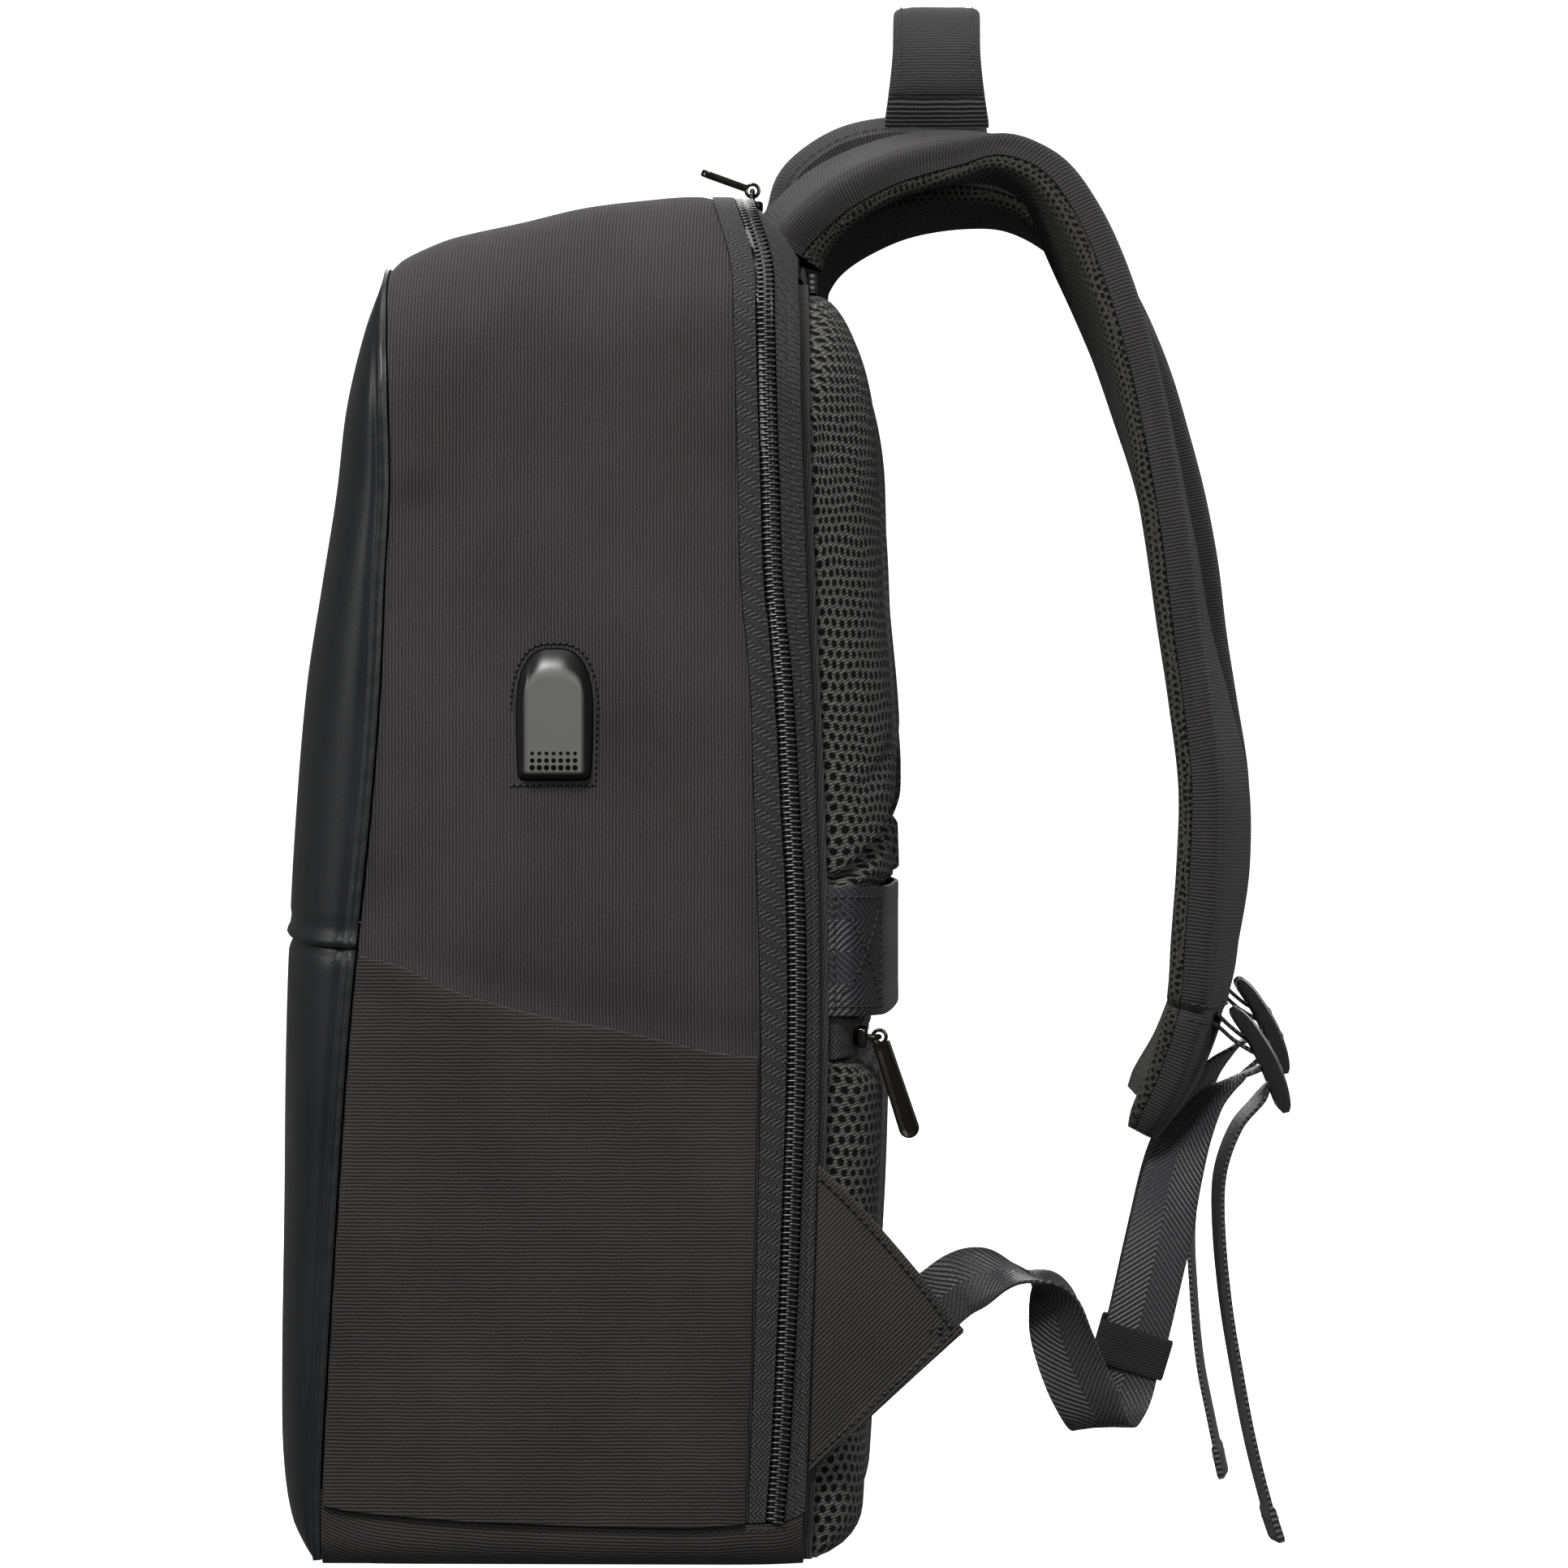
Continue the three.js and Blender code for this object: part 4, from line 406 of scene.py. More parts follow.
def waves(a, b, length, seed):
    """Slow waves over a surface from -1 to 1: four sines whose directions and lengths vary."""
    draw = np.random.default_rng(seed)
    total = np.zeros(np.broadcast(a, b).shape)
    for _ in range(4):
        turn, stretch, phase = draw.uniform(0, math.tau), draw.uniform(0.7, 1.6), draw.uniform(0, math.tau)
        total += np.sin((a * math.cos(turn) + b * math.sin(turn)) * math.tau / (length * stretch) + phase)
    return total / 4


def grid_normals(points, towards):
    """Unit normals of a grid of points, on the side that mostly faces a direction."""
    crossed = np.cross(np.gradient(points, axis=0), np.gradient(points, axis=1))
    normals = crossed / np.maximum(np.linalg.norm(crossed, axis=-1, keepdims=True), 1e-9)
    return normals * (1.0 if (normals @ np.asarray(towards, float)).mean() > 0 else -1.0)


class Line:
    """Stations of a path: place, unit directions along, across and out of it, and distance."""

    def __init__(self, places, widths, step=None, **columns):
        places, widths = np.asarray(places, float), np.asarray(widths, float)
        at = running_length(places, 0)
        if step:
            fine = np.linspace(0, at[-1], max(int(at[-1] / step), 2) + 1)
            smooth = lambda values: read_table({"at": at, "value": values}, "at", "value", fine)
            places = np.stack([smooth(values) for values in places.T], 1)
            widths = np.stack([smooth(values) for values in widths.T], 1)
            columns = {name: smooth(values) for name, values in columns.items()}
            at = running_length(places, 0)
        self.at, self.place, self.columns = at, places, columns
        self.along = unit(np.gradient(places, axis=0))
        lean = (widths * self.along).sum(1, keepdims=True)
        self.across = unit(widths - lean * self.along)
        self.normal = np.cross(self.along, self.across)

    def point(self, across, out):
        """Places at distances across and out of every station, each a number per station or ring."""
        across, out = (np.asarray(v, float) for v in (across, out))
        across, out = (v[:, None] if v.ndim == 1 else v for v in (across, out))
        return self.place[:, None] + across[..., None] * self.across[:, None] + out[..., None] * self.normal[:, None]


# Closed meshes


def outward(vertices, quads, corners):
    """The same closed part with its faces turned outwards."""
    a, b, c, d = (vertices[quads[:, k]] for k in range(4))
    volume = (np.cross(a, b) * c).sum() + (np.cross(a, c) * d).sum()
    if volume < 0:
        quads, corners = quads[:, ::-1], corners[:, ::-1]
    return vertices, quads, corners


def loft(rings, cloth_places):
    """Closed solid through rings whose second half runs back along the first. Quads between
    the halves close both ends. Cloth places are in millimetres, with the first ring point repeated."""
    rows, count = rings.shape[:2]
    r, k = (g.ravel() for g in np.meshgrid(np.arange(rows - 1), np.arange(count), indexing="ij"))
    around = ((r, k), (r, k + 1), (r + 1, k + 1), (r + 1, k))
    quads = [np.stack([a * count + b % count for a, b in around], 1)]
    corners = [np.stack([cloth_places[a, b] for a, b in around], 1)]
    near = np.arange(count // 2 - 1)
    far = count - 1 - near
    for row, order in ((0, 1), (rows - 1, -1)):
        cap = (near, far, far - 1, near + 1)[::order]
        quads.append(np.stack([row * count + k for k in cap], 1))
        corners.append(np.stack([cloth_places[row, k] for k in cap], 1))
    return outward(rings.reshape(-1, 3), np.concatenate(quads), np.concatenate(corners))


def wall(outer, inner, cloth_places=None):
    """Closed sheet between two grids of the same rows and columns."""
    if cloth_places is None:
        cloth_places = np.stack([running_length(outer, 1), running_length(outer, 0)], -1)
    back = cloth_places[:, ::-1]
    return loft(np.concatenate([outer, inner[:, ::-1]], 1),
                np.concatenate([cloth_places, back, cloth_places[:, :1]], 1))


def ring_profile(columns, squareness=2.0):
    """Ring of (across, out) from -1 to 1: a rounded slab whose ends get squarer with the power."""
    turn = (np.arange(columns) + 0.5) / columns * math.pi
    across = -np.sign(np.cos(turn)) * np.abs(np.cos(turn)) ** (1 / squareness)
    out = np.sin(turn) ** (1 / squareness)
    return np.concatenate([np.stack([across, out], 1), np.stack([across, -out], 1)[::-1]])


def band(line, half_width, half_thickness, columns=12, squareness=4.0, lift=0.0, ripple=None):
    """Strip along a line with a rounded slab for its section, and a ripple added to its outward place."""
    profile = ring_profile(columns, squareness)
    half_width = np.broadcast_to(half_width, line.at.shape)
    half_thickness = np.broadcast_to(half_thickness, line.at.shape)
    across = half_width[:, None] * profile[:, 0]
    out = half_thickness[:, None] * profile[:, 1] + np.broadcast_to(lift, line.at.shape)[:, None]
    if ripple is not None:
        out = out + ripple(line.at[:, None], across)
    along = np.broadcast_to(line.at[:, None], across.shape)
    places = np.stack([along, across], -1)
    return loft(line.point(across, out), np.concatenate([places, places[:, :1]], 1))


def rod(line, radius, sides=10):
    """Round rod along a line whose radius is a number or one per station."""
    turn = (np.arange(2 * sides) + 0.5) / (2 * sides) * math.tau
    radius = np.broadcast_to(radius, line.at.shape)[:, None]
    across, out = -radius * np.cos(turn), radius * np.sin(turn)
    places = np.stack([np.broadcast_to(line.at[:, None], across.shape), across], -1)
    return loft(line.point(across, out), np.concatenate([places, places[:, :1]], 1))


def bead(length, radius, rise, sides=3):
    """Thread bead along its first axis: thin ends sunk in, middle risen by a height."""
    shares = np.array([-0.5, -0.36, 0, 0.36, 0.5])
    swell = np.array([0.35, 0.9, 1, 0.9, 0.35])
    sunk = np.array([-1, 0.35, 1, 0.35, -1]) * rise
    turn = (np.arange(2 * sides) + 0.5) / (2 * sides) * math.tau
    rings = np.stack([
        np.broadcast_to(shares[:, None] * length, (5, 2 * sides)),
        sunk[:, None] + radius * swell[:, None] * np.sin(turn),
        radius * swell[:, None] * np.cos(turn),
    ], -1)
    places = rings[..., [0, 2]]
    return loft(rings, np.concatenate([places, places[:, :1]], 1))


def scatter(part, line):
    """Copies of a part at every station of a line, its axes along, across and out of the line."""
    vertices, quads, corners = part
    placed = (line.place[:, None] + vertices[:, :1] * line.along[:, None]
              + vertices[:, 1:2] * line.across[:, None] + vertices[:, 2:] * line.normal[:, None])
    count = len(line.at)
    offset = np.arange(count)[:, None, None] * len(vertices)
    return placed.reshape(-1, 3), (quads + offset).reshape(-1, 4), np.tile(corners, (count, 1, 1))


def stitches(path, outwards, pitch=STITCH_PITCH, length=STITCH_LENGTH, radius=STITCH_RADIUS):
    """Row of thread beads along a path on a surface, each risen out of it at its middle."""
    path = np.asarray(path, float)
    outwards = np.broadcast_to(np.asarray(outwards, float), path.shape)
    return scatter(bead(length, radius, radius * 0.45), Line(path, outwards, step=pitch))


def turned(part, angle, move):
    """The part turned about X by an angle and then moved."""
    vertices, quads, corners = part
    c, s = math.cos(angle), math.sin(angle)
    matrix = np.array([[1, 0, 0], [0, c, -s], [0, s, c]])
    return vertices @ matrix.T + np.asarray(move, float), quads, corners


def make_piece(name, parts, material, stands_for=(), body="bag", sharp=48):
    """One object from closed parts, riding on a body of the frame."""
    parts = parts if isinstance(parts, list) else [parts]
    starts = np.cumsum([0] + [len(part[0]) for part in parts])
    vertices = np.concatenate([part[0] for part in parts]) * MM
    quads = np.concatenate([part[1] + start for part, start in zip(parts, starts)]).astype(np.int32)
    corners = np.concatenate([part[2].reshape(-1, 2) for part in parts])
    mesh = bpy.data.meshes.new(name)
    mesh.vertices.add(len(vertices))
    mesh.vertices.foreach_set("co", vertices.ravel().astype(np.float32))
    mesh.loops.add(quads.size)
    mesh.loops.foreach_set("vertex_index", quads.ravel())
    mesh.polygons.add(len(quads))
    mesh.polygons.foreach_set("loop_start", np.arange(0, quads.size, 4, dtype=np.int32))
    mesh.polygons.foreach_set("use_smooth", np.ones(len(quads), bool))
    mesh.uv_layers.new(name=UV_NAME).data.foreach_set("uv", corners.ravel().astype(np.float32))
    mesh.update(calc_edges=True)
    mesh.set_sharp_from_angle(angle=math.radians(sharp))
    mesh.materials.append(material)
    piece = bpy.data.objects.new(name, mesh)
    bpy.context.scene.collection.objects.link(piece)
    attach(piece, body)
    if stands_for:
        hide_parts(*stands_for)
    return piece


# Materials


def srgb(code):
    """Linear colour of an sRGB hex code."""
    parts = [int(code[i:i + 2], 16) / 255 for i in (1, 3, 5)]
    return (*[p / 12.92 if p <= 0.04045 else ((p + 0.055) / 1.055) ** 2.4 for p in parts], 1.0)


def add(tree, kind, inputs=(), **settings):
    """Adds a node: settings are its own values, inputs the numbers or the nodes for its sockets."""
    made = tree.nodes.new("ShaderNode" + kind)
    for key, value in settings.items():
        setattr(made, key, value)
    for key, value in dict(inputs).items():
        if isinstance(value, bpy.types.Node):
            value = value.outputs[0]
        if isinstance(value, bpy.types.NodeSocket):
            tree.links.new(value, made.inputs[key])
        else:
            made.inputs[key].default_value = value
    return made


def cloth_axes(tree):
    """The piece's own cloth places in millimetres, and their two numbers."""
    places = add(tree, "UVMap", uv_map=UV_NAME)
    split = add(tree, "SeparateXYZ", {0: places})
    return places, split.outputs[0], split.outputs[1]


def finish_material(name, shade, colour, roughness, height=None, depth=0.0, **fixed):
    """Material whose pattern drives colour, roughness and height by the three sockets given."""
    made = bpy.data.materials.new(name)
    made.use_nodes = True
    tree = made.node_tree
    tree.nodes.clear()
    sockets = shade(tree)
    inputs = {"Base Color": sockets.get("colour", colour), "Roughness": sockets.get("roughness", roughness)}
    if sockets.get("height") is not None:
        inputs["Normal"] = add(tree, "Bump", {"Strength": 1.0, "Distance": depth * MM,
                                              "Height": sockets["height"]})
    for key, value in fixed.items():
        inputs[key.replace("_", " ")] = value
    surface = add(tree, "BsdfPrincipled", inputs)
    output = add(tree, "OutputMaterial")
    tree.links.new(surface.outputs[0], output.inputs[0])
    return made


def between(tree, factor, low, high):
    """Colour between two hex colours by a factor."""
    return add(tree, "MixRGB", {"Fac": factor, "Color1": srgb(low), "Color2": srgb(high)})


def ribbed_cloth(name, low, high, pitch, depth, yarn=0.55, sheen=0.06, roughness=0.9):
    """Woven polyester with round ribs: ribs run along the second cloth axis, and finer yarns
    cross them, so that the face reads as fine cords with a dry, soft sheen, and painted shade
    darkens the valleys between the ribs."""
    def shade(tree):
        places, across, along = cloth_axes(tree)
        wobble = add(tree, "TexNoise", {"Vector": places, "Scale": 0.12, "Detail": 2.0}, noise_dimensions="2D")
        shift = add(tree, "Math", {0: wobble, 1: 0.5, 2: across}, operation="MULTIPLY_ADD")
        turn = add(tree, "Math", {0: shift, 1: math.tau / pitch}, operation="MULTIPLY")
        rib = add(tree, "Math", {0: turn}, operation="SINE")
        rib = add(tree, "MapRange", {0: rib, 1: -1.0, 2: 1.0, 3: 0.0, 4: 1.0})
        offset = add(tree, "Math", {0: across, 1: pitch / 2}, operation="SNAP")
        slide = add(tree, "Math", {0: offset, 1: 0.5, 2: along}, operation="MULTIPLY_ADD")
        turn = add(tree, "Math", {0: slide, 1: math.tau / yarn}, operation="MULTIPLY")
        thread = add(tree, "Math", {0: turn}, operation="SINE")
        fuzz = add(tree, "TexNoise", {"Vector": places, "Scale": 2.2, "Detail": 3.0}, noise_dimensions="2D")
        height = add(tree, "Math", {0: thread, 1: 0.16, 2: rib}, operation="MULTIPLY_ADD")
        height = add(tree, "Math", {0: fuzz, 1: 0.35, 2: height}, operation="MULTIPLY_ADD")
        worn = add(tree, "TexNoise", {"Vector": places, "Scale": 0.02, "Detail": 3.0}, noise_dimensions="2D")
        # Colour: painted shade darkens the rib valleys, over random yarn and slow tone changes.
        tone = add(tree, "Math", {0: rib, 1: 0.7, 2: fuzz}, operation="MULTIPLY_ADD")
        tone = add(tree, "Math", {0: worn, 1: 0.5, 2: tone}, operation="MULTIPLY_ADD")
        tone = add(tree, "MapRange", {0: tone, 1: 0.6, 2: 1.5, 3: 0.0, 4: 1.0})
        return {"colour": between(tree, tone, low, high), "height": height}
    return finish_material(name, shade, None, roughness, depth=depth,
                           Sheen_Weight=sheen, Sheen_Roughness=0.45, Specular_IOR_Level=0.18)


def smooth_leather(name, low, high):
    """Smooth coated cowhide, finely grained: near black with a soft, broad highlight whose
    gloss varies slowly, and a fine pebble that only shows where light grazes it."""
    def shade(tree):
        places, across, along = cloth_axes(tree)
        pebble = add(tree, "TexVoronoi", {"Vector": places, "Scale": 0.85}, feature="SMOOTH_F1",
                     voronoi_dimensions="2D")
        pore = add(tree, "TexNoise", {"Vector": places, "Scale": 1.6, "Detail": 4.0}, noise_dimensions="2D")
        height = add(tree, "Math", {0: pebble, 1: 0.6, 2: pore}, operation="MULTIPLY_ADD")
        slow = add(tree, "TexNoise", {"Vector": places, "Scale": 0.018, "Detail": 3.0}, noise_dimensions="2D")
        gloss = add(tree, "MapRange", {0: slow, 1: 0.3, 2: 0.7, 3: 0.36, 4: 0.5})
        return {"colour": between(tree, slow, low, high), "roughness": gloss, "height": height}
    return finish_material(name, shade, None, None, depth=0.03, Specular_IOR_Level=0.32)


def spacer_mesh(name, low, high, pitch=3.7, hole=0.85, depth=1.0):
    """Knitted spacer mesh: rows of round holes, each row half a pitch on from the last, in a
    springy ribbed face, so that the pads read as dotted straight on and ribbed at a slant.
    Painted shade darkens the holes, and painted light brightens the rib crests."""
    rows = pitch * math.sqrt(3) / 2
    def shade(tree):
        places = add(tree, "UVMap", uv_map=UV_NAME)
        drift = add(tree, "TexNoise", {"Vector": places, "Scale": 0.05, "Detail": 1.0}, noise_dimensions="2D")
        drift = add(tree, "VectorMath", {0: drift.outputs["Color"], 1: (4.0, 4.0, 0)}, operation="MULTIPLY")
        places = add(tree, "VectorMath", {0: places, 1: drift}, operation="ADD")
        split = add(tree, "SeparateXYZ", {0: places})
        across, along = split.outputs[0], split.outputs[1]
        row = add(tree, "Math", {0: along, 1: 1 / rows}, operation="MULTIPLY")
        number = add(tree, "Math", {0: row}, operation="FLOOR")
        slid = add(tree, "Math", {0: number, 1: pitch / 2, 2: across}, operation="MULTIPLY_ADD")
        column = add(tree, "Math", {0: slid, 1: 1 / pitch}, operation="MULTIPLY")
        column = add(tree, "Math", {0: column}, operation="FRACT")
        row = add(tree, "Math", {0: row}, operation="FRACT")
        beside = add(tree, "Math", {0: column, 1: pitch, 2: -pitch / 2}, operation="MULTIPLY_ADD")
        above = add(tree, "Math", {0: row, 1: rows, 2: -rows / 2}, operation="MULTIPLY_ADD")
        away = add(tree, "CombineXYZ", {0: beside, 1: above})
        distance = add(tree, "VectorMath", {0: away}, operation="LENGTH")
        fuzz = add(tree, "TexNoise", {"Vector": places, "Scale": 1.3, "Detail": 4.0}, noise_dimensions="2D")
        ragged = add(tree, "Math", {0: fuzz, 1: 0.5, 2: distance.outputs["Value"]}, operation="MULTIPLY_ADD")
        face = add(tree, "MapRange", {0: ragged, 1: hole + 0.2, 2: hole + 0.9, 3: 0.0, 4: 1.0},
                   interpolation_type="SMOOTHSTEP")
        slant = add(tree, "Math", {0: across, 1: 0.35, 2: along}, operation="MULTIPLY_ADD")
        turn = add(tree, "Math", {0: slant, 1: math.tau / (rows / 3)}, operation="MULTIPLY")
        rib = add(tree, "Math", {0: turn}, operation="SINE")
        height = add(tree, "Math", {0: rib, 1: 0.12, 2: face}, operation="MULTIPLY_ADD")
        # Colour: painted light on the rib crests over random yarn, times the face, so that painted shade fills the
        # holes.
        lit = add(tree, "Math", {0: rib, 1: 0.16, 2: fuzz}, operation="MULTIPLY_ADD")
        tone = add(tree, "Math", {0: lit, 1: face}, operation="MULTIPLY")
        tone = add(tree, "MapRange", {0: tone, 1: 0.12, 2: 0.72, 3: 0.0, 4: 1.0})
        return {"colour": between(tree, tone, low, high), "height": height}
    return finish_material(name, shade, None, 0.95, depth=depth, Sheen_Weight=0.05, Sheen_Roughness=0.5,
                           Specular_IOR_Level=0.15)


def satin_cover_painted_light(name, slope, face, floor):
    """Satin moulding, glossier on its slopes and drier on its flat face. Painted shade darkens
    the slopes, and the face is paler, partly its own grey and partly a painted highlight.
    The change follows the height over a floor, in millimetres along X."""
    def shade(tree):
        place = add(tree, "TexCoord")
        split = add(tree, "SeparateXYZ", {0: place.outputs["Object"]})
        height = add(tree, "MapRange", {0: split, 1: (floor - 0.9) * MM, 2: floor * MM, 3: 0.0, 4: 1.0})
        spread = add(tree, "Mapping", {"Vector": place.outputs["Object"], "Scale": (1000, 1000, 1000)})
        skin = add(tree, "TexNoise", {"Vector": spread, "Scale": 2.5, "Detail": 3.0})
        gloss = add(tree, "MapRange", {0: height, 1: 0.0, 2: 1.0, 3: 0.3, 4: 0.42})
        # Colour by the height: painted shade on the slopes, and on the face its own paler grey with a painted
        # highlight.
        return {"colour": between(tree, height, slope, face), "roughness": gloss, "height": skin}
    return finish_material(name, shade, None, None, depth=0.012, Specular_IOR_Level=0.35)


def woven_webbing(name, low, high, pitch=1.5, slope=1.0, half=5.0, depth=0.25, roughness=0.42):
    """Woven nylon webbing in a herringbone: slanted floats that turn back at the middle of each
    half, tight and slightly glossy, so that the strip shows fine chevrons and sharp highlights,
    with painted shade darkening the grooves between the floats."""
    def shade(tree):
        places, along, across = cloth_axes(tree)
        zigzag = add(tree, "Math", {0: across, 1: half}, operation="PINGPONG")
        slid = add(tree, "Math", {0: zigzag, 1: slope, 2: along}, operation="MULTIPLY_ADD")
        turn = add(tree, "Math", {0: slid, 1: math.tau / pitch}, operation="MULTIPLY")
        twill = add(tree, "Math", {0: turn}, operation="SINE")
        twill = add(tree, "MapRange", {0: twill, 1: -1.0, 2: 1.0, 3: 0.0, 4: 1.0})
        turn = add(tree, "Math", {0: across, 1: math.tau / 0.8}, operation="MULTIPLY")
        yarn = add(tree, "Math", {0: turn}, operation="SINE")
        height = add(tree, "Math", {0: yarn, 1: 0.12, 2: twill}, operation="MULTIPLY_ADD")
        fuzz = add(tree, "TexNoise", {"Vector": places, "Scale": 1.4, "Detail": 3.0}, noise_dimensions="2D")
        height = add(tree, "Math", {0: fuzz, 1: 0.2, 2: height}, operation="MULTIPLY_ADD")
        # Colour: painted shade between the floats, over random yarn.
        tone = add(tree, "Math", {0: twill, 1: 0.6, 2: fuzz}, operation="MULTIPLY_ADD")
        tone = add(tree, "MapRange", {0: tone, 1: 0.35, 2: 1.2, 3: 0.0, 4: 1.0})
        gloss = add(tree, "MapRange", {0: twill, 1: 0.0, 2: 1.0, 3: roughness + 0.2, 4: roughness})
        return {"colour": between(tree, tone, low, high), "roughness": gloss, "height": height}
    return finish_material(name, shade, None, None, depth=depth, Sheen_Weight=0.03,
                           Sheen_Roughness=0.35, Specular_IOR_Level=0.4)


def plain_finish(name, low, high, roughness, scale, depth, **fixed):
    """Moulded or cast finish: one colour with a slight slow change, and a fine skin."""
    def shade(tree):
        place = add(tree, "TexCoord")
        spread = add(tree, "Mapping", {"Vector": place.outputs["Object"], "Scale": (1000, 1000, 1000)})
        skin = add(tree, "TexNoise", {"Vector": spread, "Scale": scale, "Detail": 4.0})
        slow = add(tree, "TexNoise", {"Vector": spread, "Scale": 0.05, "Detail": 2.0})
        gloss = add(tree, "MapRange", {0: skin, 1: 0.3, 2: 0.7, 3: roughness * 0.85, 4: roughness * 1.15})
        return {"colour": between(tree, slow, low, high), "roughness": gloss, "height": skin}
    return finish_material(name, shade, None, None, depth=depth, **fixed)


# Body outline


def top_drop(y):
    return FRONT_DROP * read_table(DEPTH_SECTIONS, "depth", "drop", y / BODY_DEPTH)


def side_draw(y):
    return SIDE_ROUNDING * read_table(DEPTH_SECTIONS, "depth", "draw", y / BODY_DEPTH)


def base_edge(y):
    return BASE_SEAM_HEIGHT * read_table(BASE_EDGE, "depth", "up", y / BODY_DEPTH)


def pocket_edge(y):
    return POCKET_HEIGHT * read_table(POCKET_EDGE, "depth", "up", y / BODY_DEPTH)


def side_line(column, z):
    return BODY_DEPTH * read_table(SIDE_SECTIONS, "up", column, z / BODY_HEIGHT)


def leather_bulge(z):
    return LEATHER_BULGE * read_table(SIDE_SECTIONS, "up", "bulge", z / BODY_HEIGHT)


FRONT_TOP = BODY_HEIGHT - top_drop(side_line("seam", BODY_HEIGHT))


def arch_point(place, y, lift):
    """Point of the body's outline: place runs up the right side (0 to 1), round the corner
    (1 to 2), over the top to the middle (3) and down the left side in the same way (to 6)."""
    side = np.where(place <= 3, 1.0, -1.0)
    leg = np.where(place <= 3, place, 6 - place)
    half = BODY_WIDTH / 2 - side_draw(y) + lift
    height = BODY_HEIGHT - top_drop(y) + lift
    radius = TOP_CORNER_RADIUS + lift
    low = base_edge(y) + 2 * GAP
    angle = np.clip(leg - 1, 0, 1) * math.pi / 2
    inward = 3 - leg
    x = np.where(leg <= 1, half, np.where(leg <= 2, half - radius + radius * np.cos(angle),
                                          (half - radius) * inward))
    z = np.where(leg <= 1, low + (height - radius - low) * leg,
                 np.where(leg <= 2, height - radius + radius * np.sin(angle),
                          height + TOP_CROWN * (1 - inward**2)))
    return np.stack(np.broadcast_arrays(side * x, y, z), -1)


def arch_places(step):
    """Places along the outline about a step apart."""
    lengths = (BODY_HEIGHT - TOP_CORNER_RADIUS - BASE_SEAM_HEIGHT, TOP_CORNER_RADIUS * math.pi / 2,
               BODY_WIDTH / 2 - TOP_CORNER_RADIUS)
    legs = [i + np.arange(int(length / step)) / int(length / step) for i, length in enumerate(lengths)]
    half = np.concatenate(legs)
    return np.concatenate([half, [3.0], 6 - half[::-1]])


def arch_depth(place, start, end, share):
    """Depth of a point on the outline at a share of the way between two lines up the side."""
    z = BODY_HEIGHT * np.minimum(np.minimum(place, 6 - place), 1.0)
    for _ in range(6):
        y = start(z) + (end(z) - start(z)) * share
        z = arch_point(place, y, 0.0)[..., 2]
    return start(z) + (end(z) - start(z)) * share


def arch_sheet(start, end, shares, step, thickness, lift):
    """Closed band of the outline between two lines. Lift and thickness are functions of the
    share, the depth and the height. Cloth places are the depth and the length round the arch."""
    places = arch_places(step)
    depth = np.stack([arch_depth(places, start, end, share) for share in shares])
    height = arch_point(places, depth, 0.0)[..., 2]
    share = np.broadcast_to(np.asarray(shares)[:, None], depth.shape)
    raised = lift(share, depth, height)
    outer = arch_point(places, depth, raised)
    inner = arch_point(places, depth, raised - thickness(share))
    round_arch = np.broadcast_to(running_length(outer, 1)[len(shares) // 2], depth.shape)
    return wall(outer, inner, np.stack([depth, round_arch], -1))


def gusset_front(z):
    return side_line("seam", z) + 2 * GAP


def gusset_back(z):
    return side_line("tape", z) - GAP


def coil_front(z):
    return side_line("coil", z) - COIL_WIDTH / 2


def coil_back(z):
    return side_line("coil", z) + COIL_WIDTH / 2


def gusset_lift(share, y, z):
    """Height of the gusset over its plain outline: it tucks into both seams, dips in puckers
    beside the leather, and hollows above the pocket's slanted edge."""
    front = y - gusset_front(z)
    back = gusset_back(z) - y
    lift = -0.9 * bump(front, 0, 2.2) - 0.5 * bump(back, 0, 2.0)
    for height, deep, tall in ((327, 1.5, 7), (205, 1.3, 9), (286, 0.5, 14), (372, 0.6, 16)):
        lift -= deep * bump(z, height, tall) * bump(front, 7, 7)
        lift += 0.5 * deep * bump(z, height + 1.7 * tall, tall) * bump(front, 8, 6)
    over = z - pocket_edge(y)
    lift -= 2.0 * bump(over, 3, 9) * soft_step(y, -56, -30)
    lift += 0.55 * waves(y, z, 95, 3) * soft_step(over, 4, 30)
    return lift


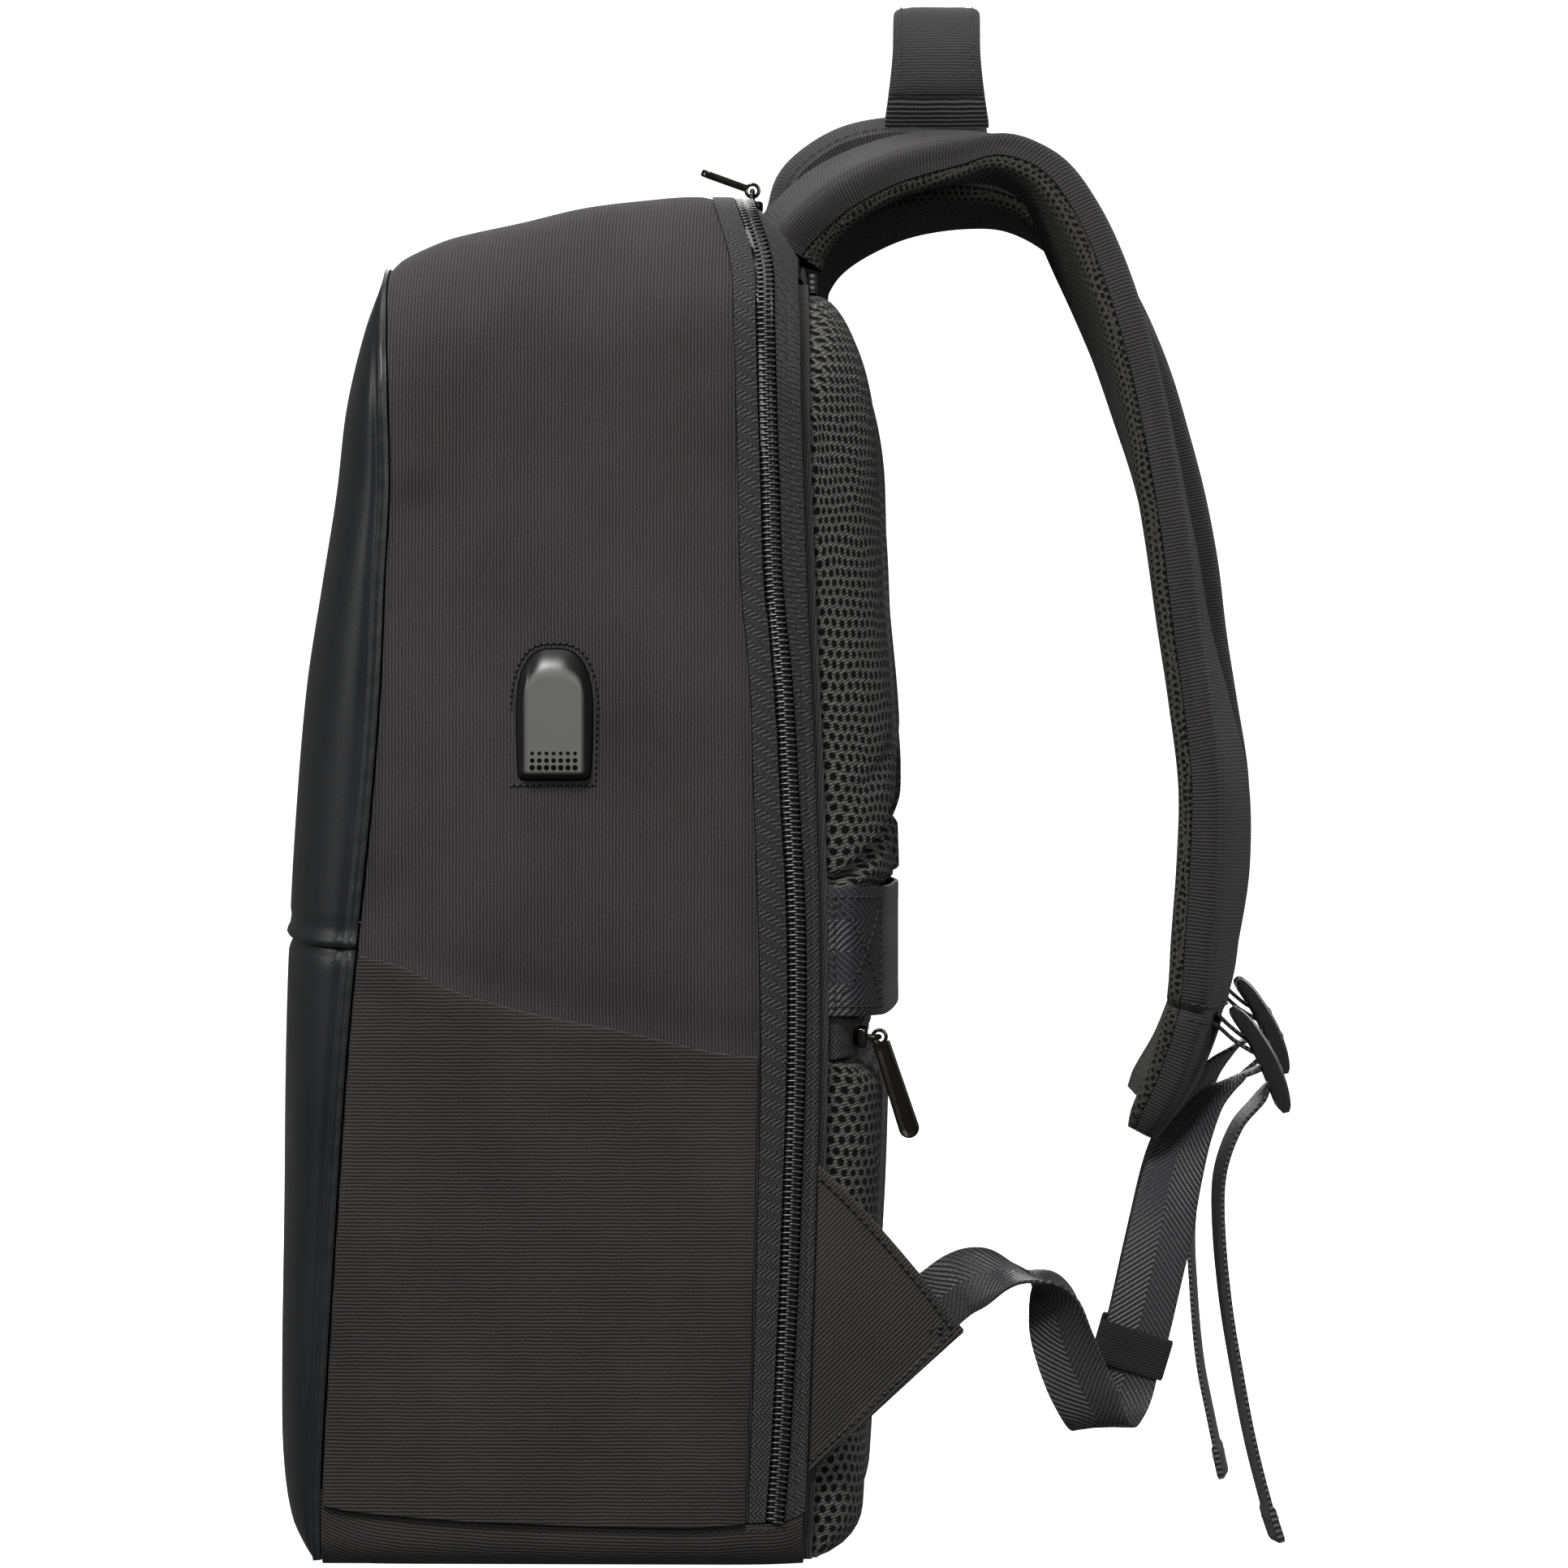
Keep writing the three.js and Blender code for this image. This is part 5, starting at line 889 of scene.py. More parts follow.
def body_shell(cloth, tape, coil, thread):
    make_piece("gusset_cloth", arch_sheet(
        gusset_front, gusset_back, close_ended(52, 135, 4), 3.0, lambda share: CLOTH, gusset_lift,
    ), cloth, ["gusset"])
    make_piece("zip_tape_front_weave", arch_sheet(
        lambda z: side_line("tape", z), lambda z: coil_front(z) - GAP, close_ended(6, 5, 1), 2.5,
        lambda share: TAPE_THICKNESS, lambda share, y, z: -0.25 * (1 - share) + 0.2 * share,
    ), tape, ["zip_tape_front"])
    make_piece("zip_tape_back_weave", arch_sheet(
        lambda z: coil_back(z) + GAP, lambda z: side_line("back", z), close_ended(10, 9, 2), 2.5,
        lambda share: TAPE_THICKNESS + (BACK_SEAM_WALL - TAPE_THICKNESS) * share**2,
        lambda share, y, z: 0.35 * bump(share, 0.8, 0.16) - 0.35 * bump(share, 0.5, 0.07),
    ), tape, ["zip_tape_back"])
    half = COIL_WIDTH / 2
    bed = arch_sheet(
        lambda z: side_line("tape", z) - 2, lambda z: side_line("back", z) - 0.5, np.linspace(0, 1, 24), 4.0,
        lambda share: COIL_BED,
        lambda share, y, z: -0.5 - 1.3 * soft_step(np.abs(y - side_line("coil", z)), half - 0.4, half + 0.1),
    )
    make_piece("zip_coil_teeth", [bed, *coil_teeth(coil_line())], coil, ["zip_coil"])
    seam_y = np.linspace(side_line("seam", 0) + 4, side_line("back", 0) - 6, 60)
    rows = []
    for side in (1, -1):
        path = np.stack([side * (BODY_WIDTH / 2 - side_draw(seam_y) + 0.05), seam_y, base_edge(seam_y) - 1.7], 1)
        rows.append(stitches(path, (side, 0, 0), pitch=2.6, length=2.0, radius=0.22))
    make_piece("base_topstitch", rows, thread)


def coil_line():
    """Middle of the zip's coil round the body, with its width pointing out of the bag."""
    places = arch_places(3.0)
    depth = arch_depth(places, coil_front, coil_back, 0.5)
    middle = arch_point(places, depth, COIL_LIFT * 0.5)
    return middle, arch_point(places, depth, 1.0 + COIL_LIFT * 0.5) - middle


def coil_teeth(centre):
    """Two rows of nylon loops across the zip, each row half a pitch on from the other and
    reaching past its middle: a loop is a round bar with a thicker inner head."""
    middle, outwards = centre
    line = Line(middle, outwards, step=TOOTH_PITCH)
    shares = np.array([-0.5, -0.4, -0.1, 0.25, 0.42, 0.5])
    swell = np.array([0.4, 0.85, 0.9, 1.15, 1.05, 0.5])
    turn = (np.arange(8) + 0.5) / 8 * math.tau
    rows = []
    for side, shift in ((1, 0.0), (-1, 0.5)):
        reach = side * (-shares * TOOTH_LENGTH + 0.16 * COIL_WIDTH)
        rings = np.stack([
            TOOTH_RADIUS * swell[:, None] * np.cos(turn),
            0.85 * TOOTH_RADIUS * swell[:, None] * np.sin(turn),
            np.broadcast_to(reach[:, None] * 1.25, (6, 8)),
        ], -1)
        tooth = loft(rings, np.zeros((6, 9, 2)))
        moved = Line(line.place + line.along * shift * TOOTH_PITCH, line.across)
        rows.append(scatter(tooth, moved))
    return rows


# Leather front


def leather_half_width(z):
    half = BODY_WIDTH / 2 - side_draw(side_line("seam", BODY_HEIGHT))
    above = np.clip(z - (FRONT_TOP - TOP_CORNER_RADIUS), 0, TOP_CORNER_RADIUS)
    return half - TOP_CORNER_RADIUS + np.sqrt(TOP_CORNER_RADIUS**2 - above**2)


def panel_seam(across):
    return PANEL_SEAM_HEIGHT - PANEL_SEAM_DIP * across**4


def leather_panel(name, low_edge, high_edge, rows, edge_lift, leather):
    """Rounded slab in plan from seam to seam. A rolled edge with small puckers follows both
    side seams, and the edge lift shapes the fold at the seam between the panels."""
    side_ways = np.linspace(-1, 1, 150)
    across = np.sin(side_ways * math.pi / 2)
    low, high = low_edge(across), high_edge(across)
    z = low + (high - low) * rows[:, None]
    half = leather_half_width(np.minimum(z, FRONT_TOP))
    bulge = leather_bulge(z) * np.sqrt(np.clip(1 - np.abs(across) ** LEATHER_SQUARENESS, 0, 1))
    points = np.stack([across * half, side_line("seam", z) - bulge, z], -1)
    normals = grid_normals(points, (0, -1, 0))
    run = running_length(points, 1)
    rim = np.minimum(run, run[:, -1:] - run)
    pucker = 1 + 0.35 * np.sin(z * math.tau / 7.5) * np.sin(z * math.tau / 31)
    lift = 0.75 * bump(rim, 1.9, 1.3) * pucker - 0.55 * bump(rim, 4.4, 1.2) + 0.5 * waves(run, z * 0.3, 70, 8)
    lift = lift * soft_step(rim, -0.6, 1.2) + edge_lift(z - low, high - z)
    outer = points + normals * lift[..., None]
    inner = outer - normals * LEATHER
    cloth_places = np.stack([run - run[:, -1:] / 2, z], -1)
    return make_piece(name + "_hide", wall(outer, inner, cloth_places), leather, [name])


def leather_front(leather):
    leather_panel("front_lower_panel", lambda a: LEATHER_FOOT + 0 * a, lambda a: panel_seam(a) - GAP / 2,
                  close_ended(70, 190, 4), lambda low, high: -1.3 * bump(high, 0, 2.4), leather)
    leather_panel("front_upper_panel", lambda a: panel_seam(a) + GAP / 2,
                  lambda a: FRONT_TOP + TOP_CROWN * np.clip(1 - (a * 1.5) ** 2, 0, 1),
                  close_ended(84, 210, 4),
                  lambda low, high: 0.8 * bump(low, 1.6, 1.7) - 0.5 * bump(low, 5.5, 1.8) - 0.6 * bump(low, 0, 0.5),
                  leather)


# Base and pockets


def base_panel(cloth):
    """Tray whose section runs down one side, round its edge, along the floor and up the other."""
    legs = (np.linspace(0, 1, 9)[:-1], 1 + np.linspace(0, 1, 9)[:-1], 2 + np.linspace(0, 1, 30))
    leg = np.concatenate(legs)
    front, back = side_line("seam", 0) + GAP, side_line("back", 0)
    y = (front + (back - front) * close_ended(48, 150, 5))[:, None]

    def tray(inset):
        half = BODY_WIDTH / 2 - side_draw(y) - inset
        radius = BASE_EDGE_RADIUS - inset
        angle = np.clip(leg - 1, 0, 1) * math.pi / 2
        x = np.where(leg <= 1, half, np.where(leg <= 2, half - radius + radius * np.cos(angle),
                                              (half - radius) * (3 - leg)))
        edge = base_edge(y)
        z = np.where(leg <= 1, edge + (BASE_EDGE_RADIUS - edge) * leg,
                     np.where(leg <= 2, BASE_EDGE_RADIUS - radius * np.sin(angle), inset))
        tuck = 0.35 * bump(edge - z, 0, 0.6) * (leg <= 1)
        right = np.stack(np.broadcast_arrays(x - tuck, y, z), -1)
        left = right[:, -2::-1] * (-1, 1, 1)
        return np.concatenate([right, left], 1)

    outer, inner = tray(0.0), tray(BASE_WALL)
    cloth_places = np.stack([running_length(outer, 1), np.broadcast_to(y, outer.shape[:2])], -1)
    make_piece("base_boot", wall(outer, inner, cloth_places), cloth, ["base_panel"])


def side_pocket(name, side, cloth):
    """Flat pocket with a folded upper hem, standing slightly full at its middle."""
    columns, rows = close_ended(44, 115, 2), close_ended(54, 150, 3)
    nominal_front = side_line("seam", POCKET_HEIGHT) + POCKET_MARGIN
    nominal_back = side_line("tape", POCKET_HEIGHT) - POCKET_MARGIN
    nominal = nominal_front + (nominal_back - nominal_front) * columns
    low, high = base_edge(nominal) + GAP, pocket_edge(nominal)
    z = low + (high - low) * rows[:, None]
    front, back = side_line("seam", z) + POCKET_MARGIN, side_line("tape", z) - POCKET_MARGIN
    y = front + (back - front) * columns
    below = high - z
    swell = 0.9 * np.sin(columns * math.pi) * np.sin(rows[:, None] * math.pi) ** 0.7
    swell += 0.55 * soft_step(below, POCKET_HEM + 0.7, POCKET_HEM - 0.7) + 0.5 * waves(y, z, 80, 5) * rows[:, None]
    swell -= 0.5 * (bump(y - front, 0, 1.2) + bump(back - y, 0, 1.2)) + round_drop(below, 0.7)
    seat = BODY_WIDTH / 2 - side_draw(y) + 2 * GAP

    def sheet(out):
        return np.stack([side * (seat + out), y, z], -1)

    part = wall(sheet(POCKET_CLOTH + swell), sheet(swell - 0.2), np.stack([z, y], -1))
    make_piece(f"side_pocket_{name}_weave", part, cloth, [f"side_pocket_{name}"])


# Port cover


def cover_top(share):
    """Arched upper edge of the cover, as a share of its height, at a share of its half width."""
    return 1 - COVER_ARCH * (1 - np.sqrt(np.clip(1 - np.abs(share) ** COVER_ARCH_SQUARENESS, 0, 1)))


def port_cover(rubber, shadow, thread):
    """Plate with an arched top whose flat face is set off by slopes all round, with rows of
    small round holes that grow downwards, drawn as dark discs of painted shade, over a thin
    frame of painted shade and a stitched outline with painted shade in its crease."""
    def slope(distance, reach):
        return 1 - (1 - np.clip(distance / reach, 0, 1)) ** 1.7

    def plate(grow, low_out, high_out):
        half, low, high = COVER_WIDTH / 2 + grow, -grow, COVER_HEIGHT + grow
        across = np.sin(np.linspace(-1, 1, 66) * math.pi / 2)
        top = low + (high - low) * cover_top(across)
        up = close_ended(92, COVER_HEIGHT, 2)[:, None]
        foot_line = low + 1.6 * (1 - np.sqrt(1 - np.abs(across) ** 9))
        y = across * half * (1 - 0.07 * (1 - up) ** 3)
        z = foot_line + (top - foot_line) * up
        rise = slope(half - np.abs(y), COVER_SIDE_SLOPE) * slope(top - z, COVER_TOP_SLOPE) * slope(z - low, COVER_FOOT)
        out = low_out + (high_out - low_out) * rise
        face = np.stack([BODY_WIDTH / 2 + GAP + out, COVER_DEPTH_PLACE + y, COVER_BOTTOM + z], -1)
        foot = face.copy()
        foot[..., 0] = BODY_WIDTH / 2 - 0.8
        return wall(face, foot)

    make_piece("port_cover_shell", plate(0.0, 1.2, COVER_THICKNESS), rubber, ["port_cover"])
    # A thin dark rim just past the cover's outline: painted shade where the cover meets the cloth.
    make_piece("port_cover_shadow_frame", plate(COVER_RIM, 0.2, 0.8), shadow)
    # The holes are dark rods ending at the face: painted shade in each hole.
    holes = []
    surface = BODY_WIDTH / 2 + GAP + COVER_THICKNESS
    for row in range(DENT_ROWS):
        for column in range(DENT_COLUMNS):
            y = COVER_DEPTH_PLACE + (column - (DENT_COLUMNS - 1) / 2) * DENT_PITCH
            z = COVER_BOTTOM + DENT_HEIGHT + row * DENT_PITCH
            path = np.stack([surface - 1 + np.array([0, 0.7, 1.04]), np.full(3, y), np.full(3, z)], 1)
            across = np.broadcast_to((0.0, 1.0, 0.0), path.shape)
            holes.append(rod(Line(path, across), DENT_RADIUS * (1 - 0.16 * row), 8))
    make_piece("port_cover_hole_shadows", holes, shadow)
    half, tall = COVER_WIDTH / 2 + PATCH_MARGIN, COVER_HEIGHT + 2 * PATCH_MARGIN
    across = np.sin(np.linspace(-1, 1, 90) * math.pi / 2)
    y = np.concatenate([across, np.linspace(1, -1, 30)[1:]]) * half + COVER_DEPTH_PLACE
    z = np.concatenate([cover_top(across), np.zeros(29)]) * tall + COVER_BOTTOM - PATCH_MARGIN
    x = BODY_WIDTH / 2 - side_draw(y) + gusset_lift(0.5, y, z) + 0.1
    path = np.stack([x, y, z], 1)
    # A dark rod round the patch under its stitches: painted shade in the crease.
    crease = Line(path, np.broadcast_to((1.0, 0.0, 0.0), path.shape), step=1.0)
    make_piece("port_patch_crease_shadow", rod(crease, 0.28, 4), shadow)
    make_piece("port_patch_stitches", stitches(path + (0.18, 0, 0), (1, 0, 0), 2.0, 1.45, 0.34), thread)


# Back

BACK_HALF = BODY_WIDTH / 2 - BACK_EDGE_INSET
BACK_PANEL_TOP = BODY_HEIGHT - BACK_TOP_INSET
UPPER_PAD_HALF = BACK_HALF - PAD_INSET
STRIP_TOP = LUMBAR_BOTTOM - GAP


def back_line(z):
    return side_line("back", z)


def pad_seat(z):
    return back_line(z) + 2 * GAP + BACK_PANEL


def back_column_top(x, inset):
    """Upper end of a column of the back whose outline lies inset from the panel's."""
    half, radius = BACK_HALF - inset, TOP_CORNER_RADIUS - inset
    past = np.clip(np.abs(x) - (half - radius), 0, radius)
    return BACK_PANEL_TOP - inset - radius + np.sqrt(radius**2 - past**2)


def upper_pad_bottom(x):
    return UPPER_PAD_SIDE_HEIGHT + UPPER_PAD_ARCH * (1 - np.abs(x / UPPER_PAD_HALF) ** ARCH_SQUARENESS)


def lumbar_top(x):
    return upper_pad_bottom(x) - PAD_SPACING


def round_edge(distance, radius):
    """Rise of a round edge from 0 at the rim to 1 at its radius."""
    short = np.clip(1 - distance / radius, 0, 1)
    return np.sqrt(1 - short**2)


def pad_thickness(x, z, full, half, side_radius, top_radius, bottom_radius, top, bottom):
    rise = round_edge(half - np.abs(x), side_radius) * round_edge(top - z, top_radius)
    return PAD_LIP + (full - PAD_LIP) * rise * round_edge(z - bottom, bottom_radius)


def back_slab(name, material, half, rows, bottom, top, seat, thickness, stands_for):
    """Slab on the back whose columns run from a bottom to a top line. Its thickness is a function
    of the place, and its cloth places follow its outer face."""
    x = half * np.sin(np.linspace(-1, 1, 121) * math.pi / 2)
    low, high = bottom(x), top(x)
    z = low + (high - low) * rows[:, None]
    x = np.broadcast_to(x, z.shape)
    outer = np.stack([x, seat(z) + thickness(x, z), z], -1)
    inner = np.stack([x, seat(z), z], -1)
    run = running_length(outer, 1)
    up = running_length(outer, 0)
    middle = len(rows) // 2
    cloth_places = np.stack([run - run[:, -1:] / 2, z * 0.4 + 0.6 * (up - up[middle] + z[middle])], -1)
    behind = cloth_places + np.stack([np.sign(x) * thickness(x, z), 0 * x], -1)
    part = loft(np.concatenate([outer, inner[:, ::-1]], 1),
                np.concatenate([cloth_places, behind[:, ::-1], cloth_places[:, :1]], 1))
    return make_piece(name, part, material, stands_for)


def lumbar_thickness(x, z):
    edge = np.abs(x) - LUMBAR_RECESS_WIDTH / 2
    recess = LUMBAR_RECESS * (1 - soft_step(edge, -14, 4))
    strap_top = LUGGAGE_STRAP_BOTTOM + LUGGAGE_STRAP_WIDTH
    full = LUMBAR_THICKNESS + LUMBAR_ROLL * soft_step(z, strap_top, strap_top + 4)
    plain = pad_thickness(x, z, full, UPPER_PAD_HALF, 30, 3.5, 5, lumbar_top(x), LUMBAR_BOTTOM)
    return np.maximum(plain - recess, PAD_LIP)


def strip_thickness(x, z):
    return pad_thickness(x, z, STRIP_THICKNESS, UPPER_PAD_HALF, 26, 1, 1, STRIP_TOP, STRIP_BOTTOM)


def back_panels(cloth, mesh, tape, coil, thread):
    flat = lambda x: LOWER_PAD_FOOT + 0 * x
    back_slab("back_wall_cloth", cloth, BACK_HALF, close_ended(50, 400, 6), flat,
              lambda x: back_column_top(x, 0), lambda z: back_line(z) - SEAM_OVERLAP,
              lambda x, z: BACK_PANEL + SEAM_OVERLAP + 2.4 * GAP + 0 * x, ["back_panel"])

    def upper(x, z):
        top, bottom = back_column_top(x, PAD_INSET), upper_pad_bottom(x)
        plain = pad_thickness(x, z, UPPER_PAD_THICKNESS, UPPER_PAD_HALF, 30, 52, 5, top, bottom)
        slim = 0.87 + 0.13 * np.clip((BACK_PANEL_TOP - z) / (BACK_PANEL_TOP - upper_pad_bottom(0)), 0, 1)
        channel = CHANNEL_DEPTH * np.exp(-((2 * x / CHANNEL_WIDTH) ** 2))
        fold = 1.1 * bump(z - bottom, 16 + 0.05 * np.abs(x), 3.5) * soft_step(np.abs(x), 60, 120)
        full = soft_step(plain, PAD_LIP, UPPER_PAD_THICKNESS * 0.6)
        return np.maximum(plain * slim - channel, PAD_LIP) + (0.7 * waves(x, z, 90, 12) - fold) * full

    pads = [back_slab("upper_pad_mesh", mesh, UPPER_PAD_HALF, close_ended(70, 180, 8),
                      upper_pad_bottom, lambda x: back_column_top(x, PAD_INSET), pad_seat, upper,
                      ["upper_back_pad"])]
    pads.append(back_slab("lumbar_pad_mesh", mesh, UPPER_PAD_HALF, close_ended(34, 60, 6),
                          lambda x: LUMBAR_BOTTOM + 0 * x, lumbar_top, pad_seat, lumbar_thickness, ["lumbar_pad"]))

    def lower(x, z):
        plain = pad_thickness(x, z, LOWER_PAD_THICKNESS, LOWER_PAD_WIDTH / 2, 24, 9, 14,
                              STRIP_BOTTOM - GAP, LOWER_PAD_FOOT)
        slim = 0.84 + 0.16 * np.clip(z / STRIP_BOTTOM, 0, 1)
        return plain * slim + 0.6 * waves(x, z, 80, 14) * soft_step(plain, PAD_LIP, LOWER_PAD_THICKNESS * 0.7)

    pads.append(back_slab("lower_pad_mesh", mesh, LOWER_PAD_WIDTH / 2, close_ended(54, 150, 8),
                          lambda x: LOWER_PAD_FOOT + 0 * x, lambda x: STRIP_BOTTOM - GAP + 0 * x, pad_seat,
                          lower, ["lower_back_pad"]))
    rows = close_ended(8, STRIP_TOP - STRIP_BOTTOM, 1.5)
    back_slab("pocket_strip_weave", tape, UPPER_PAD_HALF, rows, lambda x: STRIP_BOTTOM + 0 * x,
              lambda x: STRIP_TOP + 0 * x, pad_seat, strip_thickness, ["pocket_strip"])
    height = (STRIP_BOTTOM + STRIP_TOP) / 2
    x = np.linspace(-BACK_SLIDER_PLACE + 6, BACK_SLIDER_PLACE - 6, 120)
    face = pad_seat(height) + strip_thickness(x, height)
    path = np.stack([x, face + 0.25, np.full_like(x, height)], 1)
    make_piece("back_coil_teeth", coil_teeth((path, np.broadcast_to((0.0, 1.0, 0.0), path.shape))), coil)
    return height


def luggage_strap(webbing, thread):
    """Wide webbing over the lumbar pad: it follows the slopes at its ends and bows over the
    recess between them. Boxes with a cross in them are sewn at both ends."""
    rest = LUGGAGE_STRAP_BOTTOM + LUGGAGE_STRAP_WIDTH / 2
    shoulder = LUMBAR_RECESS_WIDTH / 2 + 8
    end = UPPER_PAD_HALF - 1
    x = end * np.sin(np.linspace(-1, 1, 90) * math.pi / 2)

    def surface(place):
        plain = pad_thickness(place, rest, LUMBAR_THICKNESS, UPPER_PAD_HALF, 30, 9, 5,
                              lumbar_top(place), LUMBAR_BOTTOM)
        return pad_seat(rest) + plain

    bowed = surface(np.full(1, float(shoulder)))[0] + LUGGAGE_STRAP_BOW * (1 - (x / shoulder) ** 2)
    y = np.where(np.abs(x) > shoulder, surface(x), bowed)
    past, sunk = x[-1] + 1.8, pad_seat(rest) - 1.5
    x = np.concatenate([[-past], x, [past]])
    y = np.concatenate([[sunk], y, [sunk]])
    line = Line(np.stack([x, y, np.full_like(x, rest)], 1), np.broadcast_to((0.0, 0.0, -1.0), (len(x), 3)), step=1.2)
    lift = LUGGAGE_WEBBING / 2 + 2 * GAP
    sag = lambda at, across: 0.25 * np.sin(at / 23) * np.cos(across / 9)
    make_piece("luggage_strap_weave", band(line, LUGGAGE_STRAP_WIDTH / 2, LUGGAGE_WEBBING / 2, 24, 6, lift, sag),
               webbing, ["luggage_strap"])
    rows = []
    total = line.at[-1]
    out = lift + LUGGAGE_WEBBING / 2
    for start, finish in ((3, 24), (total - 24, total - 3)):
        inset = LUGGAGE_STRAP_WIDTH / 2 - 3
        box = [(start, -inset), (finish, -inset), (finish, inset), (start, inset), (start, -inset)]
        cross = [[(start, -inset), (finish, inset)], [(finish, -inset), (start, inset)]]
        for outline in [*zip(box, box[1:]), *cross]:
            (a0, c0), (a1, c1) = outline
            t = np.linspace(0, 1, 14)
            at, across = a0 + (a1 - a0) * t, c0 + (c1 - c0) * t
            pick = lambda values: np.stack([np.interp(at, line.at, v) for v in values.T], 1)
            outwards = pick(line.normal)
            path = pick(line.place) + pick(line.across) * across[:, None] + outwards * out
            rows.append(stitches(path, outwards, pitch=2.6, length=2.1, radius=0.42))
    make_piece("luggage_strap_stitches", rows, thread)


# Yoke, shoulder straps and handle


def top_surface(x, y):
    half = BODY_WIDTH / 2 - side_draw(y) - TOP_CORNER_RADIUS
    return BODY_HEIGHT - top_drop(y) + TOP_CROWN * np.clip(1 - (x / half) ** 2, 0, 1)


def yoke(cloth, thread):
    """Arched pad between the straps' roots: thick at its middle, thin where the straps join it."""
    root_z = top_surface(0, YOKE_ROOT_DEPTH) + YOKE_ROOT_LIFT
    out, rise, half = (np.array(YOKE_SECTIONS[c], float) for c in ("out", "rise", "half"))
    places = np.stack([0 * out, YOKE_ROOT_DEPTH + out * YOKE_REACH, root_z + rise * YOKE_RISE], 1)
    places = np.concatenate([places[:1] + SUNK_ROOT, places])
    half = np.concatenate([half[:1], half]) * STRAP_SPREAD
    line = Line(places, np.broadcast_to((-1.0, 0.0, 0.0), places.shape), step=2.0, half=half)
    share = np.sin(np.linspace(-1, 1, 40) * math.pi / 2)
    face = read_table(YOKE_FACE, "across", "up", np.abs(share)) * YOKE_THICKNESS / 2
    ends = round_edge(np.minimum(line.at, line.at[-1] - line.at) + 0.3, 5)
    across = line.columns["half"][:, None] * np.concatenate([share, share[::-1]])
    upper = face * (0.45 + 0.55 * ends[:, None]) - 0.5 * bump(np.abs(np.abs(share) - 0.86), 0, 0.03)
    lower = np.broadcast_to(-YOKE_THICKNESS / 2 + 0 * share, upper.shape) * (0.8 + 0.2 * ends[:, None])
    lower = lower - ROOT_FILL * bump(line.at, 0, 9)[:, None]
    outward_place = np.concatenate([upper, lower], 1)
    places = np.stack([np.broadcast_to(line.at[:, None], across.shape), across], -1)
    part = loft(line.point(across, outward_place), np.concatenate([places, places[:, :1]], 1))
    piece = make_piece("yoke_cloth", part, cloth, ["yoke"])
    rows = []
    for edge in (-0.8, 0.8):
        sewn = read_table(YOKE_FACE, "across", "up", abs(edge)) * YOKE_THICKNESS / 2 + 0.05
        path = line.point(edge * line.columns["half"], np.full(len(line.at), sewn))[:, 0]
        rows.append(stitches(path[4:-3], line.normal[4:-3]))
    make_piece("yoke_stitches", rows, thread)


def strap_place(side):
    """Middle line of a shoulder strap at the table's rows."""
    row = {name: np.array(values, float) for name, values in STRAP_SECTIONS.items()}
    further = row["left"] if side < 0 else 0 * row["left"]
    root_z = top_surface(0, STRAP_ROOT_DEPTH) - TOP_CROWN + STRAP_ROOT_LIFT
    return np.stack([
        side * row["aside"] * STRAP_SPREAD,
        STRAP_ROOT_DEPTH + row["out"] * STRAP_REACH + further * LEFT_STRAP_OUT,
        root_z + row["rise"] * STRAP_RISE - row["fall"] * STRAP_FALL + further * row["fall"] * LEFT_STRAP_UP,
    ], 1)


def strap_line(side):
    """Line of a strap from the seam it is sewn into, just below its root."""
    places = strap_place(side)
    places = np.concatenate([places[:1] + SUNK_ROOT, places])
    level = Line(places, np.broadcast_to((-1.0, 0.0, 0.0), places.shape))
    share = 1 if side > 0 else -LEFT_STRAP_ROLL
    roll, wide, thick = (np.array(STRAP_SECTIONS[c][:1] + STRAP_SECTIONS[c], float) for c in ("roll", "wide", "thick"))
    roll = np.radians(roll * share)[:, None]
    widths = level.across * np.cos(roll) + level.normal * np.sin(roll)
    return Line(places, widths, step=2.5, wide=wide, thick=thick)


